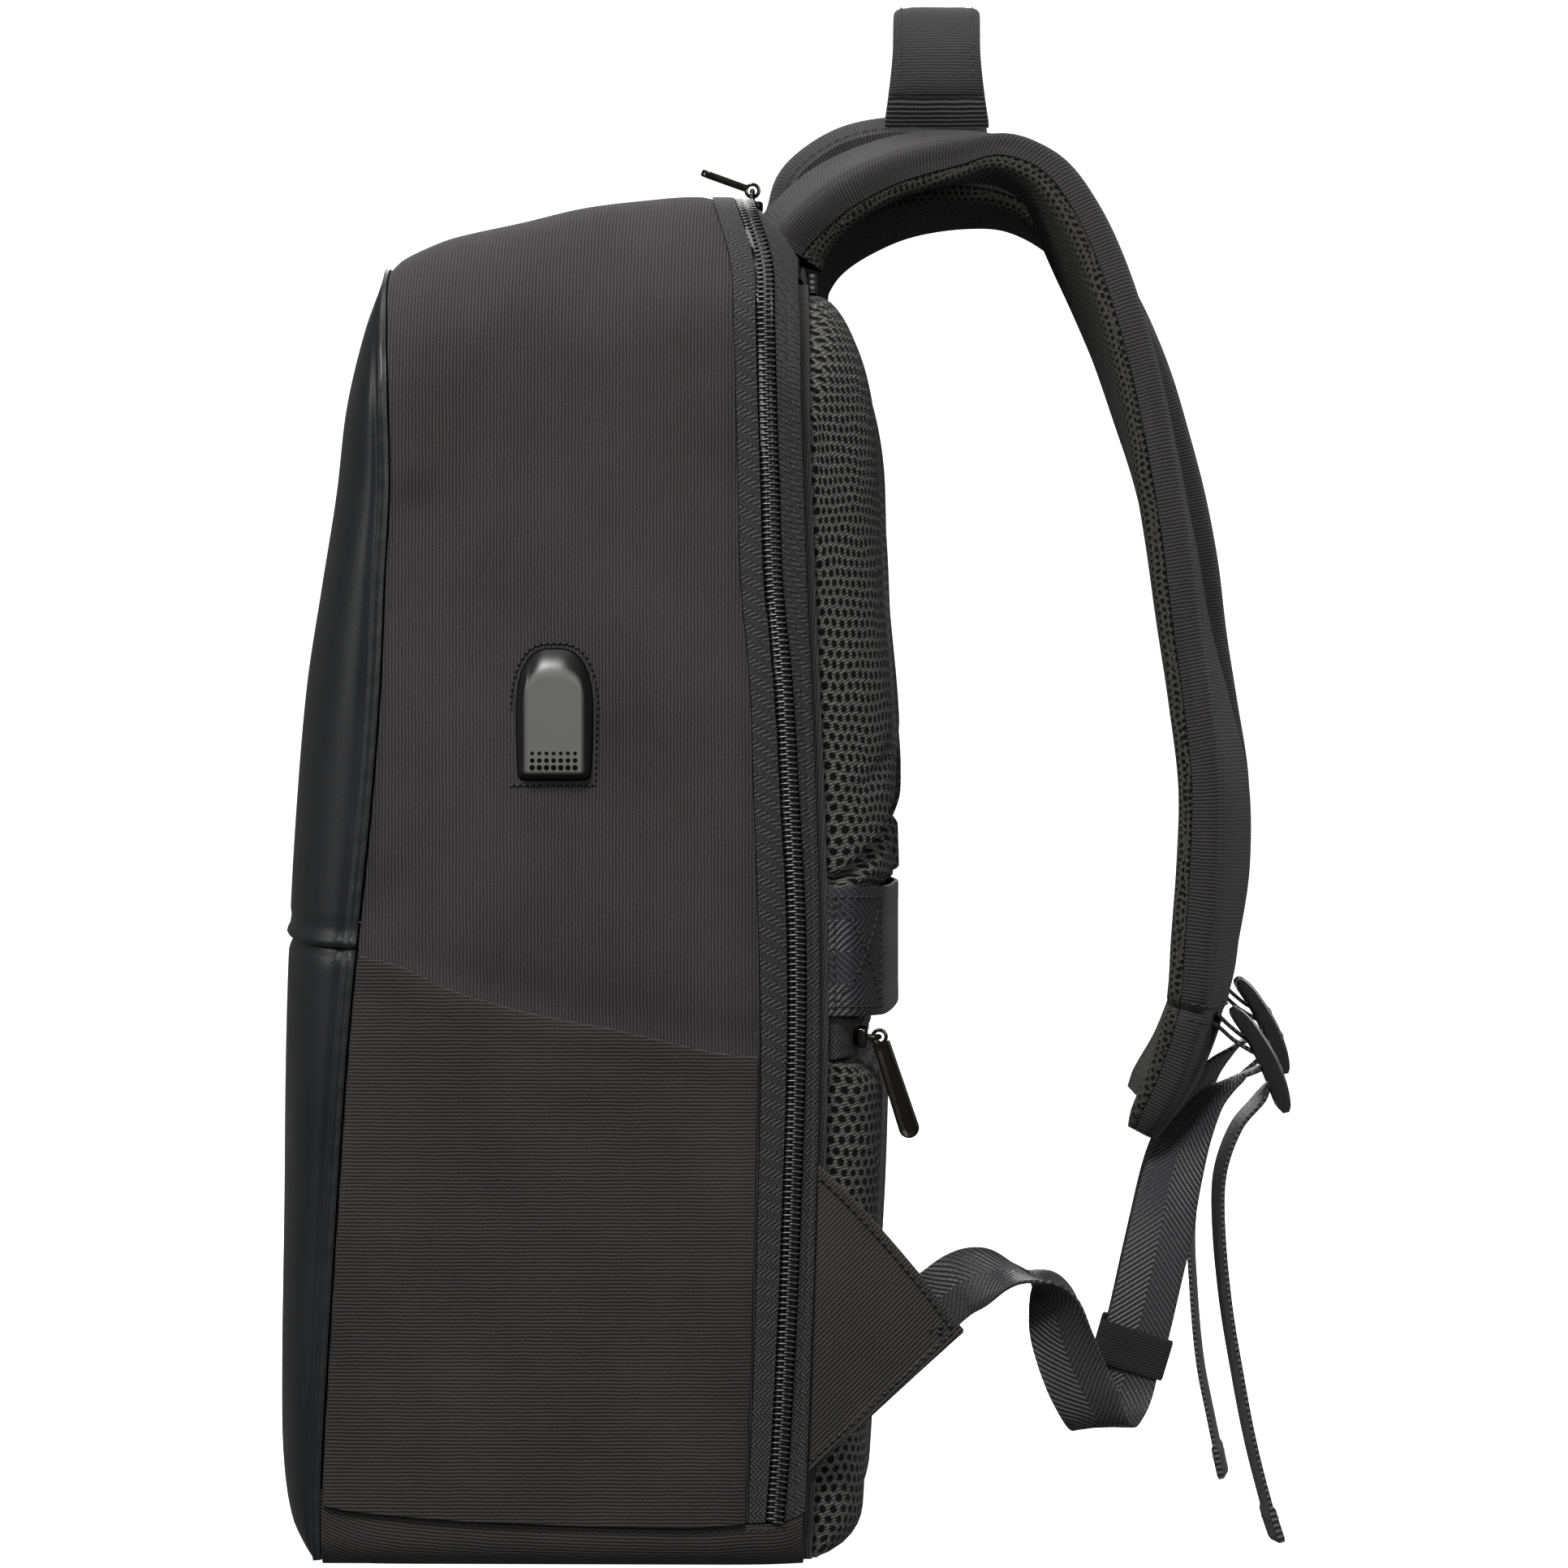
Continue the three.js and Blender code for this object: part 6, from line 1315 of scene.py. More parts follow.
def shoulder_strap(name, side, cloth, mesh, thread):
    """Cloth half and mesh half of a strap, each a rounded slab, and two rows of stitches across the cloth half beside
    its seam.
    """
    line = strap_line(side)
    whole = STRAP_CLOTH + STRAP_MESH
    seam = int(np.argmax((line.at > line.at[-1] * 0.5) & (line.place[:, 2] < STRAP_SEAM_HEIGHT)))
    groove = 1 - 0.09 * bump(line.at, line.at[seam], 1.6)
    half = line.columns["wide"] * STRAP_WIDTH / 2 * groove
    thick = line.columns["thick"] * STRAP_FULLNESS * groove
    split = (STRAP_MESH - whole / 2) * thick
    outer = whole / 2 * thick
    turn = (np.arange(34) + 0.5) / 34 * math.pi

    def half_strap(reach, base, direction, height, squareness, pillow):
        flat = -np.sign(np.cos(turn)) * np.abs(np.cos(turn)) ** (1 / squareness)
        crown = np.sin(turn) ** (1.5 / squareness)
        across = (half[:, None] - reach) * np.concatenate([flat, flat[::-1]])
        bulge = height[:, None] * crown
        bulge = bulge + pillow(line.at[:, None], (half[:, None] - reach) * flat) * crown
        face = base[:, None] + direction * bulge
        back = np.broadcast_to(base[:, None], face.shape)
        rings = line.point(across, np.concatenate([face, back], 1))
        girth = running_length(np.concatenate([rings, rings[:, :1]], 1), 1)
        girth = girth - girth[:, len(flat) // 2, None]
        return loft(rings, np.stack([np.broadcast_to(line.at[:, None], girth.shape), girth], -1))

    edge = lambda across: half[:, None] - np.abs(across)
    creases = lambda at, across: 0.35 * waves(at, across * 2, 60, 21) - 0.3 * bump(edge(across), 4.2, 1.5)
    cloth_part = half_strap(0.0, split + GAP / 2, 1, outer - split - GAP / 2, 4.2, creases)
    dips = lambda at, across: 0.3 * waves(at, across, 50, 22)
    rooted = outer + split - GAP / 2 + ROOT_FILL * bump(line.at, 0, 10)
    mesh_part = half_strap(0.5, split - GAP / 2, -1, rooted, 3.4, dips)
    cloth_piece = make_piece(f"strap_{name}_cloth_face", cloth_part, cloth, [f"strap_cloth_{name}"])
    mesh_piece = make_piece(f"strap_{name}_mesh_face", mesh_part, mesh, [f"strap_mesh_{name}"])
    rows = []
    turn = np.linspace(0.04, 0.96, 60) * math.pi
    for step_down in (-1, 1):
        i = seam + step_down
        across = -half[i] * np.sign(np.cos(turn)) * np.abs(np.cos(turn)) ** (1 / 4.2)
        out = split[i] + (outer[i] - split[i]) * np.sin(turn) ** (1.5 / 4.2)
        path = line.place[i] + across[:, None] * line.across[i] + out[:, None] * line.normal[i]
        outwards = unit(path - line.place[i] - 0.8 * across[:, None] * line.across[i])
        rows.append(stitches(path, outwards, radius=0.34))
    make_piece(f"strap_{name}_stitches", rows, thread)


def handle_place(angle):
    """Handle's arch: a squared half circle across the bag."""
    squarer = lambda value: np.sign(value) * np.abs(value) ** 0.75
    foot = HANDLE_FOOT + HANDLE_LEG_HEIGHT
    rise = HANDLE_TOP - HANDLE_SLEEVE / 2 - foot
    return np.stack([-squarer(np.cos(angle)) * HANDLE_SPAN / 2, np.full_like(angle, HANDLE_DEPTH_PLACE),
                     foot + squarer(np.sin(angle)) * rise], 1)


def handle(cloth, webbing, thread):
    """Padded sleeve over a webbing loop, with a seam along each edge and two webbing feet."""
    foot_top = HANDLE_FOOT + HANDLE_LEG_HEIGHT
    angle = np.linspace(0, math.pi, 30)
    places = handle_place(angle)
    line = Line(places, np.broadcast_to((0.0, 1.0, 0.0), places.shape), step=1.6)
    ends = round_edge(np.minimum(line.at, line.at[-1] - line.at) + 0.5, 5)
    grooves = lambda at, across: (-0.15 * bump(np.abs(across), HANDLE_WIDTH / 2 - 5, 0.8)
                                  + 0.25 * waves(at, across * 2, 30, 31))
    half = HANDLE_WIDTH / 2 * (0.95 + 0.1 * np.clip((foot_top + 16 - line.place[:, 2]) / 16, 0, 1) ** 1.5)
    part = band(line, half, HANDLE_SLEEVE / 2 * (0.55 + 0.45 * ends), 26, 2.5, 0.0, grooves)
    sleeve = make_piece("handle_padded_sleeve", part, cloth, ["handle_sleeve"])
    parts = []
    for side in (1, -1):
        heights = np.linspace(0, 1, 8)
        z = HANDLE_FOOT + heights * (HANDLE_LEG_HEIGHT + 1)
        inward = side * 6 * (1 - heights) ** 1.6
        path = np.stack([side * HANDLE_SPAN / 2 - inward, np.full(8, float(HANDLE_DEPTH_PLACE)), z], 1)
        leg = Line(path, np.broadcast_to((0.0, 1.0, 0.0), path.shape), step=0.9)
        flare = HANDLE_WIDTH / 2 * 1.04 + HANDLE_FLARE / 4 * (1 - leg.at / leg.at[-1])
        parts.append(band(leg, flare, HANDLE_WEBBING / 2 + 0.9, 16, 5))
        make_piece(f"handle_foot_{'right' if side > 0 else 'left'}", parts[-1], webbing,
                   [f"handle_leg_{'right' if side > 0 else 'left'}"])
    rows = []
    for edge in (-1, 1):
        across = np.full(len(line.at), edge * (HANDLE_WIDTH / 2 - 3.2))
        path = line.point(across, np.full(len(line.at), HANDLE_SLEEVE / 2 * 0.93))[:, 0]
        rows.append(stitches(path[4:-4], line.normal[4:-4]))
    make_piece("handle_stitches", rows, thread)


def strap_tab(name, side, webbing):
    x = side * (BACK_HALF - TOP_CORNER_RADIUS + 4)
    pad_top = back_column_top(abs(x) - TAB_WIDTH / 2, PAD_INSET)
    y = back_line(pad_top) + 2 * GAP + BACK_PANEL + TAB_THICKNESS / 2
    z = pad_top + GAP + np.linspace(0, TAB_HEIGHT, 7)
    path = np.stack([np.full(7, float(x)), np.full(7, float(y)), z], 1)
    line = Line(path, np.broadcast_to((1.0, 0.0, 0.0), path.shape))
    make_piece(f"strap_tab_{name}_tape", band(line, TAB_WIDTH / 2, TAB_THICKNESS / 2, 8, 3), webbing,
               [f"strap_tab_{name}"])


# Wings, webbing and buckles


def wing(name, side, cloth, thread):
    """Cloth triangle from the side seam to the webbing, with folded edges sewn down."""
    label = "right" if side > 0 else "left"
    share = np.linspace(0, 1, 34)
    low = WING_TOP * read_table(WING_EDGES, "out", label + "Low", share)
    high = WING_TOP * read_table(WING_EDGES, "out", label + "High", share)
    rows = close_ended(26, 80, 6)
    z = low + (high - low) * rows[:, None]
    root = back_line(z) + GAP
    y = root + share * WING_REACH
    hem = np.minimum(high - z, z - low)
    outer_x = BODY_WIDTH / 2 - SIDE_ROUNDING - GAP
    fold = 0.7 * soft_step(hem, WING_HEM + 0.5, WING_HEM - 0.5) - round_drop(hem, 0.7)
    slack = 0.5 * waves(y, z, 45, 41) * np.sin(rows[:, None] * math.pi)
    outer = np.stack([side * (outer_x + fold + slack - 0.2), y, z], -1)
    inner = np.stack([side * (outer_x - WING_THICKNESS + slack + 0 * y), y, z], -1)
    slanted = np.stack([(y - z) * 0.7071, (y + z) * 0.7071], -1)
    make_piece(f"wing_{name}_cloth", wall(outer, inner, slanted), cloth, [f"wing_{name}"])
    threads = []
    for line_z in (high - WING_HEM, low + WING_HEM):
        inside = (high - low) > 2.4 * WING_HEM
        path = np.stack([np.full_like(share, side * (outer_x + 0.62)), back_line(line_z) + GAP + share * WING_REACH,
                         line_z], 1)[inside]
        threads.append(stitches(path[1:], (side, 0, 0), pitch=2.7, length=2.0, radius=0.38))
    tip = share[inside][-1]
    heights = np.linspace(0, 1, 8)
    start = np.array([np.interp(tip, share, low) + WING_HEM, np.interp(tip, share, high) - WING_HEM])
    z = start[0] + (start[1] - start[0]) * heights
    bent = 24 * heights * (1 - heights)
    path = np.stack([np.full(8, side * (outer_x + 0.3)), back_line(z) + GAP + tip * WING_REACH - bent, z], 1)
    threads.append(stitches(path, (side, 0, 0), pitch=2.7, length=2.0, radius=0.38))
    make_piece(f"wing_{name}_stitches", threads, thread)


class BuckleFrame:
    """A buckle's own plane, which leans out: places along it, out of it and across it."""

    def __init__(self, side):
        row = next(i for i, fall in enumerate(STRAP_SECTIONS["fall"]) if fall > STRAP_SEAM_SHARE)
        seam = strap_place(side)[row]
        lean = math.radians(BUCKLE_LEAN)
        self.origin = np.array([side * STRAP_SPREAD, seam[1] + 11.5, seam[2] - 1.5])
        self.down = np.array([0, math.sin(lean), -math.cos(lean)])
        self.out = np.array([0, math.cos(lean), math.sin(lean)])

    def point(self, along, out, x=0.0):
        along, out, x = (np.asarray(v, float)[..., None] for v in (along, out, x))
        return self.origin + along * self.down + out * self.out + x * np.array([1.0, 0.0, 0.0])


def buckle_bow(along):
    return BUCKLE_BOW * 4 * along / BUCKLE_LENGTH * (1 - along / BUCKLE_LENGTH)


def buckle(name, side, gloss):
    """Ladder buckle: two bowed rails with rounded ends, joined by four round bars."""
    frame = BuckleFrame(side)
    along = np.linspace(0, BUCKLE_LENGTH, 44)
    taper = {"at": (0, 0.03, 0.12, 0.3, 0.55, 0.8, 0.95, 1), "thick": (0.35, 0.7, 0.92, 1, 1.08, 1, 0.75, 0.4)}
    thick = BUCKLE_THICKNESS / 2 * read_table(taper, "at", "thick", along / BUCKLE_LENGTH)
    near = WEBBING_WIDTH / 2 + 0.7
    parts = []
    for edge in (-1, 1):
        x = edge * (near + BUCKLE_RAIL / 2)
        path = frame.point(along, buckle_bow(along), x)
        rail = Line(path, np.broadcast_to((1.0, 0.0, 0.0), path.shape))
        parts.append(band(rail, BUCKLE_RAIL / 2, thick, 14, 4.5))
    bars = ((BUCKLE_THICKNESS / 2, BUCKLE_THICKNESS / 2.4), (CONNECTOR_BAR_PLACE, BUCKLE_BAR_RADIUS),
            (WEBBING_BAR_PLACE, BUCKLE_BAR_RADIUS), (BUCKLE_LENGTH - BUCKLE_THICKNESS / 2, BUCKLE_THICKNESS / 2.4))
    for place, radius in bars:
        x = np.linspace(-near - 1, near + 1, 12)
        path = frame.point(np.full(12, place), np.full(12, buckle_bow(place)), x)
        parts.append(rod(Line(path, np.broadcast_to((0.0, 0.0, 1.0), path.shape)), radius))
    make_piece(f"buckle_{name}_moulding", parts, gloss, [f"buckle_{name}"])


def connector(name, side, webbing):
    """Webbing from the strap's seam round its bar and back."""
    frame = BuckleFrame(side)
    wrap = BUCKLE_BAR_RADIUS + GAP + CONNECTOR_WEBBING / 2
    bow = buckle_bow(CONNECTOR_BAR_PLACE)
    path = [(-1.2, -5.4), (5, -3.2), (10.5, -0.2)]
    for degrees in (60, 20, -20, -60, -100, -140):
        angle = math.radians(degrees + 90)
        path.append((CONNECTOR_BAR_PLACE + wrap * math.cos(angle), bow + wrap * math.sin(angle)))
    path += [(9.5, -4), (4.2, -6.2), (0.2, -8)]
    along, out = np.array(path, float).T
    places = frame.point(along, out)
    line = Line(places, np.broadcast_to((1.0, 0.0, 0.0), places.shape), step=0.7)
    make_piece(f"connector_{name}_weave", band(line, CONNECTOR_WIDTH / 2, CONNECTOR_WEBBING / 2, 14, 5), webbing,
               [f"connector_{name}"])


def webbing_path(side):
    """Lower webbing as one strip: wing, hanging loop, keeper, round its bar and down as the tail."""
    frame = BuckleFrame(side)
    label = "right" if side > 0 else "left"
    row = {name: np.array(values, float) for name, values in WEBBING_SECTIONS.items()}
    tip_share, top_share = 1.0, 0.66
    heights = {"right": (0.585, 0.742), "left": (0.4, 0.545)}[label]
    tip_z, top_z = (WING_TOP * h for h in heights)
    tip_y, top_y = (back_line(z) + GAP + s * WING_REACH for s, z in ((tip_share, tip_z), (top_share, top_z)))
    lean = math.atan2(top_z - tip_z, tip_y - top_y)
    middle = BODY_WIDTH / 2 - SIDE_ROUNDING - GAP - WING_THICKNESS / 2
    start = np.array([side * middle, (tip_y + top_y) / 2 + 3 * GAP * math.sin(lean),
                      (tip_z + top_z) / 2 + 3 * GAP * math.cos(lean)])
    wrap = BUCKLE_BAR_RADIUS + GAP + WEBBING / 2
    bow = buckle_bow(WEBBING_BAR_PLACE)
    end = frame.point(WEBBING_BAR_PLACE - 3.4, -8.6)
    sag = row["sag"] * (WEBBING_SAG if side > 0 else LEFT_WEBBING_SAG)
    hung = start + (end - start) * np.stack([row["aside"], row["along"], row["along"]], 1)
    hung[:, 2] -= sag
    widths = np.stack([side * row["wideX"], row["wideY"], row["wideZ"]], 1)
    angle = np.radians([170, 130, 90, 50, 10])
    round_bar = frame.point(WEBBING_BAR_PLACE + wrap * np.cos(angle), bow + wrap * np.sin(angle))
    tail_start = frame.point(WEBBING_BAR_PLACE + wrap + 0.3, bow - 2.6)
    out = np.array(TAIL_SECTIONS[label + "Out"], float) * TAIL_DROP
    down = np.array(TAIL_SECTIONS[label + "Down"], float) * TAIL_DROP
    tail = tail_start + np.stack([0 * out, out, -down], 1)
    at_bar = np.concatenate([end[None], frame.point(WEBBING_BAR_PLACE - 3, -3.4)[None], round_bar, tail_start[None]])
    places = np.concatenate([hung, at_bar, tail])
    widths = np.concatenate([widths, np.broadcast_to((float(side), 0.0, 0.0), at_bar.shape),
                             np.broadcast_to((side * 0.99, 0.12, 0.0), tail.shape)])
    return places, widths


def lower_webbing(name, side, webbing, thread):
    """Webbing strip. The tail's end is folded over and sewn down."""
    places, widths = webbing_path(side)
    places = np.concatenate([places[:1] - WEBBING_SEWN_IN * unit(places[1:2] - places[:1]), places])
    line = Line(places, np.concatenate([widths[:1], widths]), step=1.3)
    from_end = line.at[-1] - line.at
    thick = WEBBING / 2 * (1 + 0.9 * soft_step(from_end, TAIL_FOLD + 0.6, TAIL_FOLD - 0.6))
    thick = thick - 0.5 * round_drop(from_end, 0.8)
    part = band(line, WEBBING_WIDTH / 2, thick, 18, 7)
    make_piece(f"webbing_{name}_weave", part, webbing, [f"webbing_{name}"])
    rows = []
    i = int(np.argmin(np.abs(from_end - TAIL_FOLD + 3)))
    t = np.linspace(-0.86, 0.86, 16) * WEBBING_WIDTH / 2
    for face in (-1, 1):
        out = face * (thick[i] + 0.02)
        path = line.place[i] + t[:, None] * line.across[i] + out * line.normal[i]
        rows.append(stitches(path, face * line.normal[i], pitch=2.2, length=1.7, radius=0.22))
    make_piece(f"webbing_{name}_tail_stitches", rows, thread)


def keeper(name, side, elastic):
    """Short elastic sleeve round the rising webbing, open at both ends."""
    places, widths = webbing_path(side)
    low, high = places[KEEPER_ROWS[0]], places[KEEPER_ROWS[1]]
    middle, along = (low + high) / 2, unit(high - low)
    width = (widths[KEEPER_ROWS[0]] + widths[KEEPER_ROWS[1]]) / 2
    steps = np.linspace(-0.5, 0.5, 15) * KEEPER_HEIGHT
    path = middle + steps[:, None] * along
    line = Line(path, np.broadcast_to(width, path.shape))
    half, thick = WEBBING_WIDTH / 2 + 0.7, WEBBING / 2 + 0.9
    profile = ring_profile(14, 3.2)
    lip = 0.35 * round_edge(KEEPER_HEIGHT / 2 - np.abs(steps), 1.2)[:, None]

    def sleeve(extra):
        return line.point((half + extra) * profile[:, 0], (thick + extra) * profile[:, 1])

    across_steps = np.arange(len(profile) + 1.0)
    outer = sleeve(KEEPER_WALL - 0.35 + lip)
    inner = sleeve(0.0 * lip)
    make_piece(f"keeper_{name}_elastic", tube(outer, inner), elastic, [f"keeper_{name}"])


def tube(outer, inner):
    """Closed tube wall: rings of the outside and the inside, joined at both open ends."""
    rows, count = outer.shape[:2]
    loop = np.concatenate([outer, inner[::-1]], 0)
    total = len(loop)
    r, k = (g.ravel() for g in np.meshgrid(np.arange(total), np.arange(count), indexing="ij"))
    around = ((r, k), (r, k + 1), (r + 1, k + 1), (r + 1, k))
    quads = np.stack([(a % total) * count + b % count for a, b in around], 1)
    girth = np.concatenate([running_length(outer, 1), running_length(outer, 1)[:, -1:] + 1], 1)
    length = np.broadcast_to(running_length(outer, 0)[:, :1], (rows, count + 1))
    places = np.stack([length, girth], -1)
    places = np.concatenate([places, places[::-1], places[:1]], 0)
    corners = np.stack([places[a, b] for a, b in around], 1)
    return outward(loop.reshape(-1, 3), quads, corners)


# Sliders and pulls


def slider(name, seat, turn, metal):
    """Cast slider: a waisted body with rounded faces, and a bail over it for the pull."""
    x = np.linspace(-0.5, 0.5, 30) * SLIDER_LENGTH
    path = np.stack([x, 0 * x, np.full_like(x, SLIDER_HEIGHT / 2)], 1)
    line = Line(path, np.broadcast_to((0.0, 1.0, 0.0), path.shape))
    end = round_edge(SLIDER_LENGTH / 2 - np.abs(x) + 0.05, 1.4)
    waist = 1 - 0.16 * bump(x, SLIDER_LENGTH * 0.5, 2.2)
    body = band(line, SLIDER_WIDTH / 2 * (0.8 + 0.2 * end) * waist, SLIDER_HEIGHT / 2 * (0.55 + 0.45 * end), 12, 3.2)
    bar_height = SLIDER_HEIGHT + BAIL_RISE
    angle = np.linspace(0, math.pi, 24)
    squarer = lambda v: np.sign(v) * np.abs(v) ** 0.55
    bail_half = BAIL_SPAN / 2 + 0.4
    bail = np.stack([-squarer(np.cos(angle)) * bail_half, 0 * angle,
                     SLIDER_HEIGHT - 0.8 + squarer(np.sin(angle)) * (BAIL_RISE + 0.8)], 1)
    wire = rod(Line(bail, np.broadcast_to((0.0, 1.0, 0.0), bail.shape), step=0.5), BAIL_RADIUS, 7)
    parts = [turned(part, turn, seat) for part in (body, wire)]
    make_piece(f"slider_{name}_casting", parts, metal, [f"slider_{name}"])
    return seat + np.array([0, -math.sin(turn), math.cos(turn)]) * bar_height


def pull(name, bar, length, angle, flat, metal):
    """Cast pull: an eye round the bail's bar and a long round-ended plate whose faces are
    sunk inside a raised border."""
    half = PULL_WIDTH / 2
    root = PULL_EYE + PULL_EYE_WALL
    along = PULL_EYE + 0.4 + (length - PULL_EYE - 0.4) * close_ended(60, length, 1.5)
    side_ways = np.sin(np.linspace(-1, 1, 34) * math.pi / 2)
    taper = root + (half - root) * np.clip((along - PULL_EYE) / (length - half - PULL_EYE), 0, 1)
    past = np.clip(along - (length - half), 0, half * 0.999)
    wide = np.where(along > length - half, np.sqrt(half**2 - past**2), taper)
    across = wide[:, None] * side_ways
    rim = np.minimum(wide[:, None] - np.abs(across), (length - along)[:, None] + 0.1)
    rim = np.minimum(rim, (along - PULL_EYE)[:, None] * 0.8)
    out = PULL_THICKNESS / 2 - round_drop(rim, 0.55) - 0.32 * soft_step(rim, 1.15, 1.55)
    grid = lambda sign: np.stack(np.broadcast_arrays(along[:, None], across, sign * out), -1)
    plate = wall(grid(1), grid(-1))
    turn = np.linspace(0, math.tau, 41)
    middle = (PULL_EYE + root) / 2
    eye = np.stack([middle * np.cos(turn), middle * np.sin(turn), 0 * turn], 1)
    eye_line = Line(eye[:-1], np.broadcast_to((0.0, 0.0, 1.0), (40, 3)))
    profile = ring_profile(6, 2.0)
    closed = Line(np.concatenate([eye[-3:-1], eye, eye[1:3]]), np.broadcast_to((0.0, 0.0, 1.0), (45, 3)))
    rings = closed.point(PULL_THICKNESS / 2 * profile[:, 0] + 0 * closed.at[:, None],
                         PULL_EYE_WALL / 2 * profile[:, 1] + 0 * closed.at[:, None])[2:-3]
    ring = hoop(rings)
    if flat:
        plate = (plate[0][:, [0, 2, 1]] * (1, -1, 1), plate[1], plate[2])
    parts = [(v[:, [2, 0, 1]], q, c) for v, q, c in (plate, ring)]
    parts = [turned(outward(*part), angle, bar) for part in parts]
    make_piece(f"pull_{name}_casting", parts, metal, [f"puller_{name}"], body=f"{name}_pull")


def hoop(rings):
    """Closed hoop through rings whose last joins the first."""
    rows, count = rings.shape[:2]
    r, k = (g.ravel() for g in np.meshgrid(np.arange(rows), np.arange(count), indexing="ij"))
    around = ((r, k), (r, k + 1), (r + 1, k + 1), (r + 1, k))
    quads = np.stack([(a % rows) * count + b % count for a, b in around], 1)
    corners = np.stack([np.stack([a, b], -1).astype(float) for a, b in around], 1)
    return outward(rings.reshape(-1, 3), quads, corners)


def sliders(metal):
    zip_top = side_line("coil", BODY_HEIGHT)
    seat = np.array([0.0, zip_top, top_surface(0, zip_top) + COIL_LIFT + GAP])
    bar = slider("top", seat, 0.0, metal)
    pull("top", bar, TOP_PULL_LENGTH, math.radians(180 - TOP_PULL_ANGLE), True, metal)
    height = (STRIP_BOTTOM + STRIP_TOP) / 2
    inner = BACK_SLIDER_PLACE - SLIDER_LENGTH / 2
    face = pad_seat(height) + strip_thickness(np.full(1, inner), height)[0]
    bar = slider("back", np.array([BACK_SLIDER_PLACE, face + GAP, height]), -math.pi / 2, metal)
    pull("back", bar, BACK_PULL_LENGTH, math.radians(BACK_PULL_ANGLE - 90), False, metal)


# Studio


def studio():
    """Pale bowl under and round the bag, soft lights, and the camera at the photo's angle."""
    floor_radius, curve_radius, rim_height, sides = 3.0, 1.0, 5.0, 48
    turn = np.linspace(0, math.pi / 2, 12)
    radius = np.concatenate([[0.05], floor_radius + curve_radius * np.sin(turn), [floor_radius + curve_radius]])
    height = np.concatenate([[0.0], curve_radius * (1 - np.cos(turn)), [rim_height]])
    round_bag = np.arange(sides) / sides * math.tau
    vertices = np.stack([radius[:, None] * np.cos(round_bag), radius[:, None] * np.sin(round_bag),
                         np.broadcast_to(height[:, None], (len(height), sides))], -1).reshape(-1, 3)
    faces = [(i * sides + k, i * sides + (k + 1) % sides, (i + 1) * sides + (k + 1) % sides, (i + 1) * sides + k)
             for i in range(len(height) - 1) for k in range(sides)]
    faces.append(tuple(range(sides)))
    mesh = bpy.data.meshes.new("studio_sweep")
    mesh.from_pydata(vertices.tolist(), [], faces)
    mesh.polygons.foreach_set("use_smooth", np.ones(len(faces), bool))
    mesh.materials.append(plain_finish("painted_sweep", "#f4f4f4", "#f6f6f6", 0.9, 0.02, 0.0,
                                       Emission_Color=(1, 1, 1, 1), Emission_Strength=1.1))
    floor = bpy.data.objects.new("studio_sweep", mesh)
    bpy.context.scene.collection.objects.link(floor)
    floor.visible_diffuse = False
    floor.visible_glossy = False

    world = bpy.data.worlds.new("studio")
    world.use_nodes = True
    backdrop = world.node_tree.nodes["Background"]
    backdrop.inputs["Color"].default_value = (1, 1, 1, 1)
    backdrop.inputs["Strength"].default_value = 0.16
    bpy.context.scene.world = world

    bpy.context.scene.view_settings.view_transform = "Standard"

    aim = np.array([0.0, 0.06, 0.25])
    lights = (
        ("key", (1.7, -0.4, 1.9), 54, 0.6),
        ("fill", (2.1, 0.8, 0.75), 14, 0.7),
        ("top", (0.0, 0.1, 2.0), 16, 1.0),
        ("rear", (-0.5, 2.0, 1.1), 16, 0.8),
        ("left", (-2.0, -0.2, 1.2), 22, 0.9),
        ("front", (0.6, -2.0, 1.0), 13, 0.6),
    )
    for name, place, power, size in lights:
        lamp = bpy.data.lights.new("light_" + name, "AREA")
        lamp.energy, lamp.size = power, size
        made = bpy.data.objects.new("light_" + name, lamp)
        made.location = place
        made.rotation_euler = Vector(aim - np.array(place)).to_track_quat("-Z", "Y").to_euler()
        bpy.context.scene.collection.objects.link(made)

    camera = bpy.data.cameras.new("camera")
    camera.lens, camera.sensor_width = CAMERA_LENS, SENSOR_WIDTH
    camera.clip_start, camera.clip_end = 0.05, 20
    view = bpy.data.objects.new("camera", camera)
    back = np.array([math.cos(CAMERA_TURN), math.sin(CAMERA_TURN), 0.0])
    view.location = np.array(CAMERA_AIM) + CAMERA_DISTANCE * back
    view.rotation_euler = Vector(-back).to_track_quat("-Z", "Y").to_euler()
    bpy.context.scene.collection.objects.link(view)
    bpy.context.scene.camera = view


# The bag

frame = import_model()

# Each cloth, webbing and mesh below runs from its low colour, painted shade in its valleys, grooves and holes, to its
# high colour on its crests.
gusset_weave = ribbed_cloth("ribbed polyester", "#1b1a1a", "#413f3f", 1.05, 0.18)
boot_weave = ribbed_cloth("coarse ribbed polyester", "#151414", "#3d3b3a", 1.1, 0.2)
strap_weave = ribbed_cloth("ribbed polyester of the straps", "#141414", "#3c3a3b", 1.1, 0.22)
wing_weave = ribbed_cloth("diagonal twill", "#111111", "#454342", 1.2, 0.25)
sleeve_weave = ribbed_cloth("padded twill", "#1c1c1c", "#3b3a3b", 0.9, 0.12, yarn=0.9)
foot_weave = ribbed_cloth("grosgrain", "#101010", "#4c4b4d", 1.5, 0.4, yarn=1.5, roughness=0.7)
hide = smooth_leather("smooth black leather", "#0e0f11", "#141517")
strap_knit = spacer_mesh("fine knitted mesh", "#040404", "#474644", pitch=2.4, hole=0.35, depth=0.7)
knit = spacer_mesh("knitted spacer mesh", "#050505", "#626160")
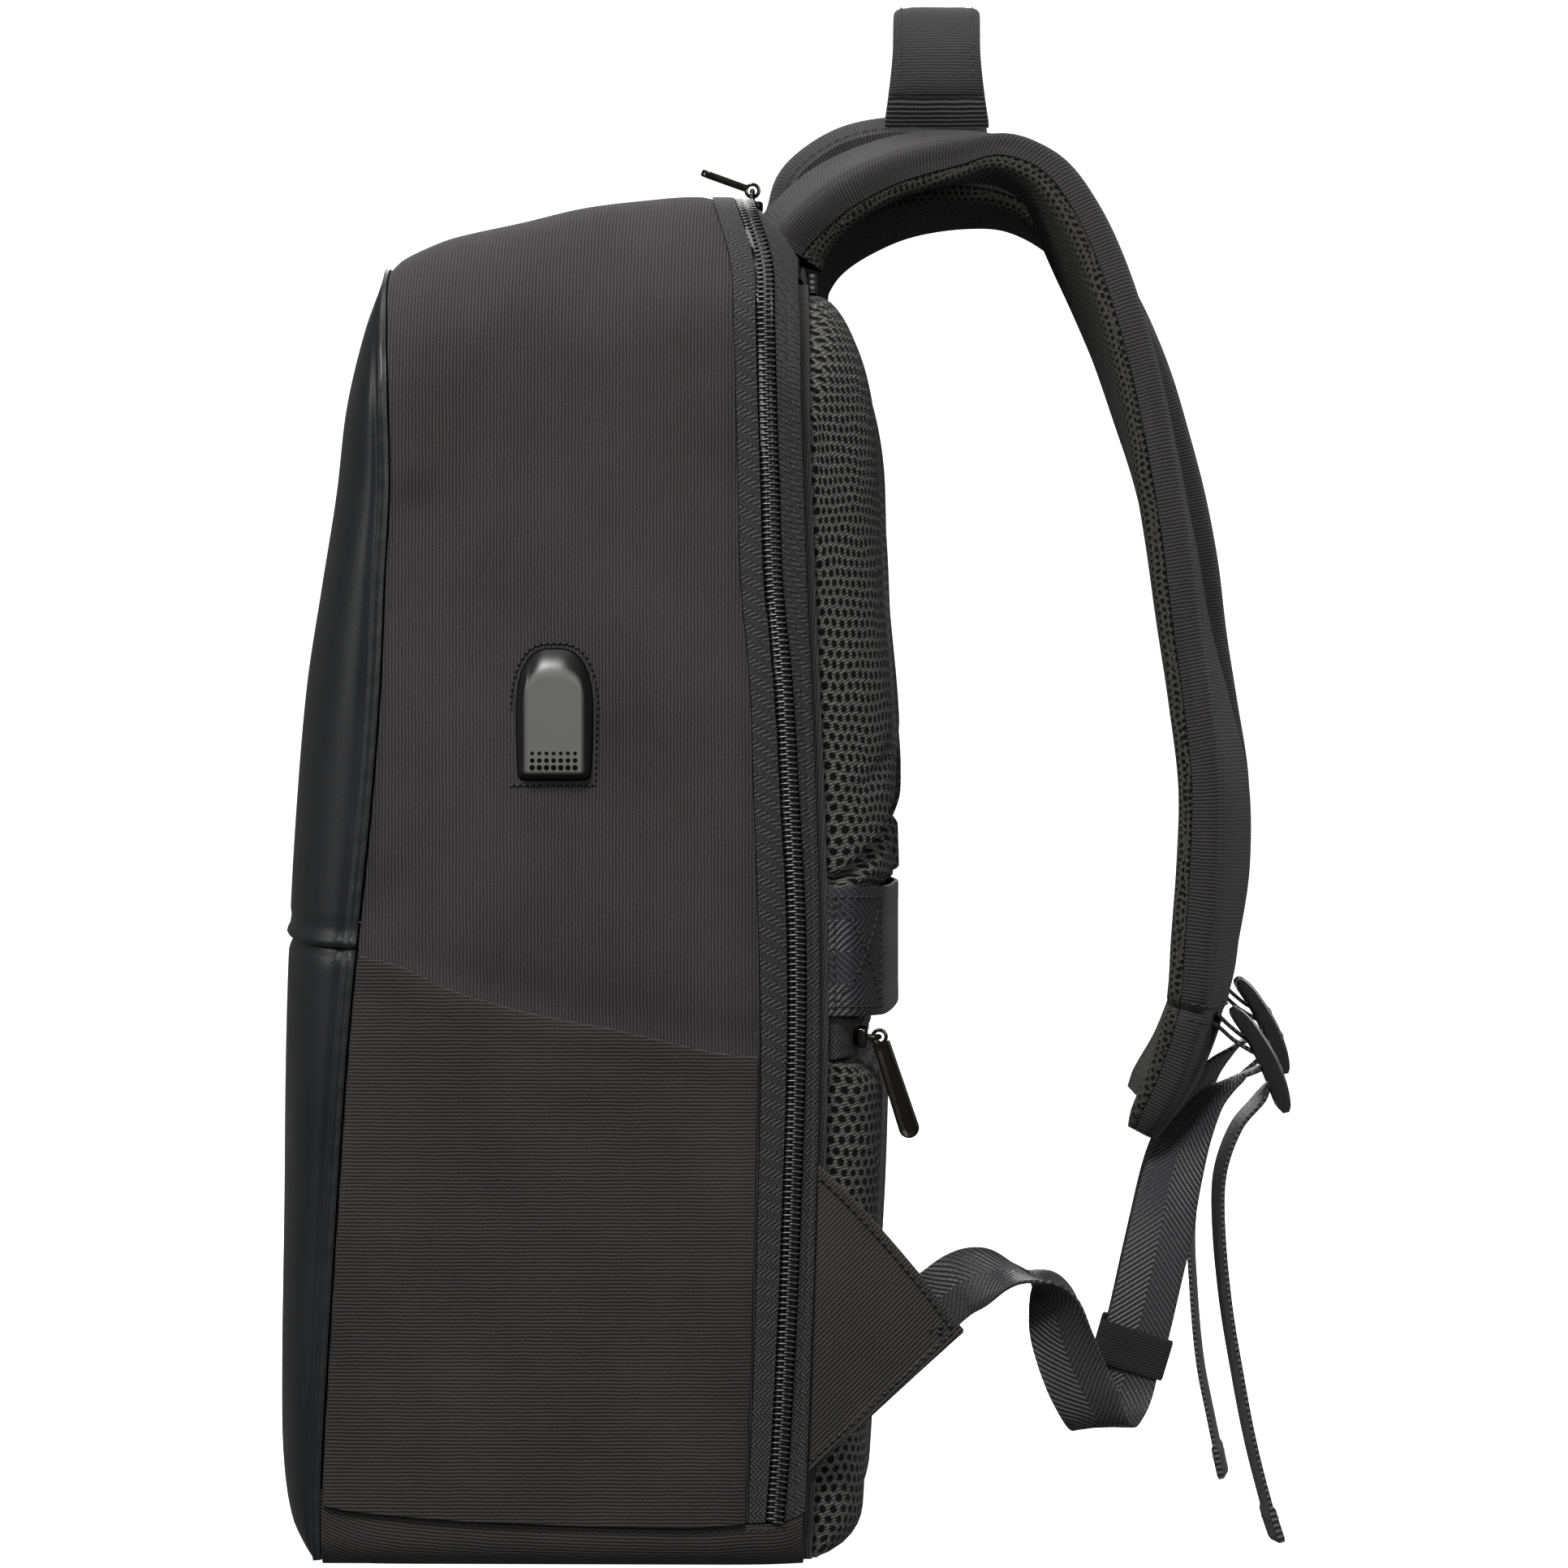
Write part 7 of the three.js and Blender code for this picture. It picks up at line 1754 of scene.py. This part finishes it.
strip_weave = woven_webbing("woven nylon webbing", "#09090a", "#38383a", pitch=1.9, half=10.0, roughness=0.36)
wide_weave = woven_webbing("wide woven webbing", "#0b0b0c", "#38383b", pitch=2.2, half=10.0, roughness=0.4)
zip_weave = woven_webbing("woven zip tape", "#050505", "#3c3a3b", pitch=1.5, half=2.6, depth=0.3, roughness=0.65)
elastic_weave = ribbed_cloth("woven elastic", "#111111", "#2a2929", 0.85, 0.22, roughness=0.8)
nylon_coil = plain_finish("drawn nylon coil", "#050506", "#0a0a0b", 0.26, 0.6, 0.01)
acetal = plain_finish("moulded black acetal", "#070708", "#0c0c0d", 0.14, 0.4, 0.002, Specular_IOR_Level=1.0)
# Cover: painted shade on the slopes; the face is paler, partly its own grey and partly a painted highlight.
rubber = satin_cover_painted_light("satin moulded rubber", "#161616", "#585855",
                     BODY_WIDTH / 2 + GAP + COVER_THICKNESS)
shadow_black = plain_finish("unlit black recess", "#020202", "#040404", 0.9, 0.4, 0.0, Specular_IOR_Level=0.1)
gunmetal = plain_finish("polished gunmetal plating", "#383635", "#464442", 0.16, 0.4, 0.004, Metallic=1.0)
sewing = plain_finish("bonded polyester thread", "#121212", "#222122", 0.6, 2.0, 0.05)

body_shell(gusset_weave, zip_weave, nylon_coil, sewing)
leather_front(hide)
base_panel(boot_weave)
port_cover(rubber, shadow_black, sewing)
back_panels(gusset_weave, knit, zip_weave, nylon_coil, sewing)
luggage_strap(wide_weave, sewing)
yoke(strap_weave, sewing)
handle(sleeve_weave, foot_weave, sewing)
sliders(gunmetal)
for side_name, side_sign in (("right", 1), ("left", -1)):
    side_pocket(side_name, side_sign, boot_weave)
    shoulder_strap(side_name, side_sign, strap_weave, strap_knit, sewing)
    strap_tab(side_name, side_sign, strip_weave)
    wing(side_name, side_sign, wing_weave, sewing)
    buckle(side_name, side_sign, acetal)
    connector(side_name, side_sign, strip_weave)
    lower_webbing(side_name, side_sign, strip_weave, sewing)
    keeper(side_name, side_sign, elastic_weave)
studio()
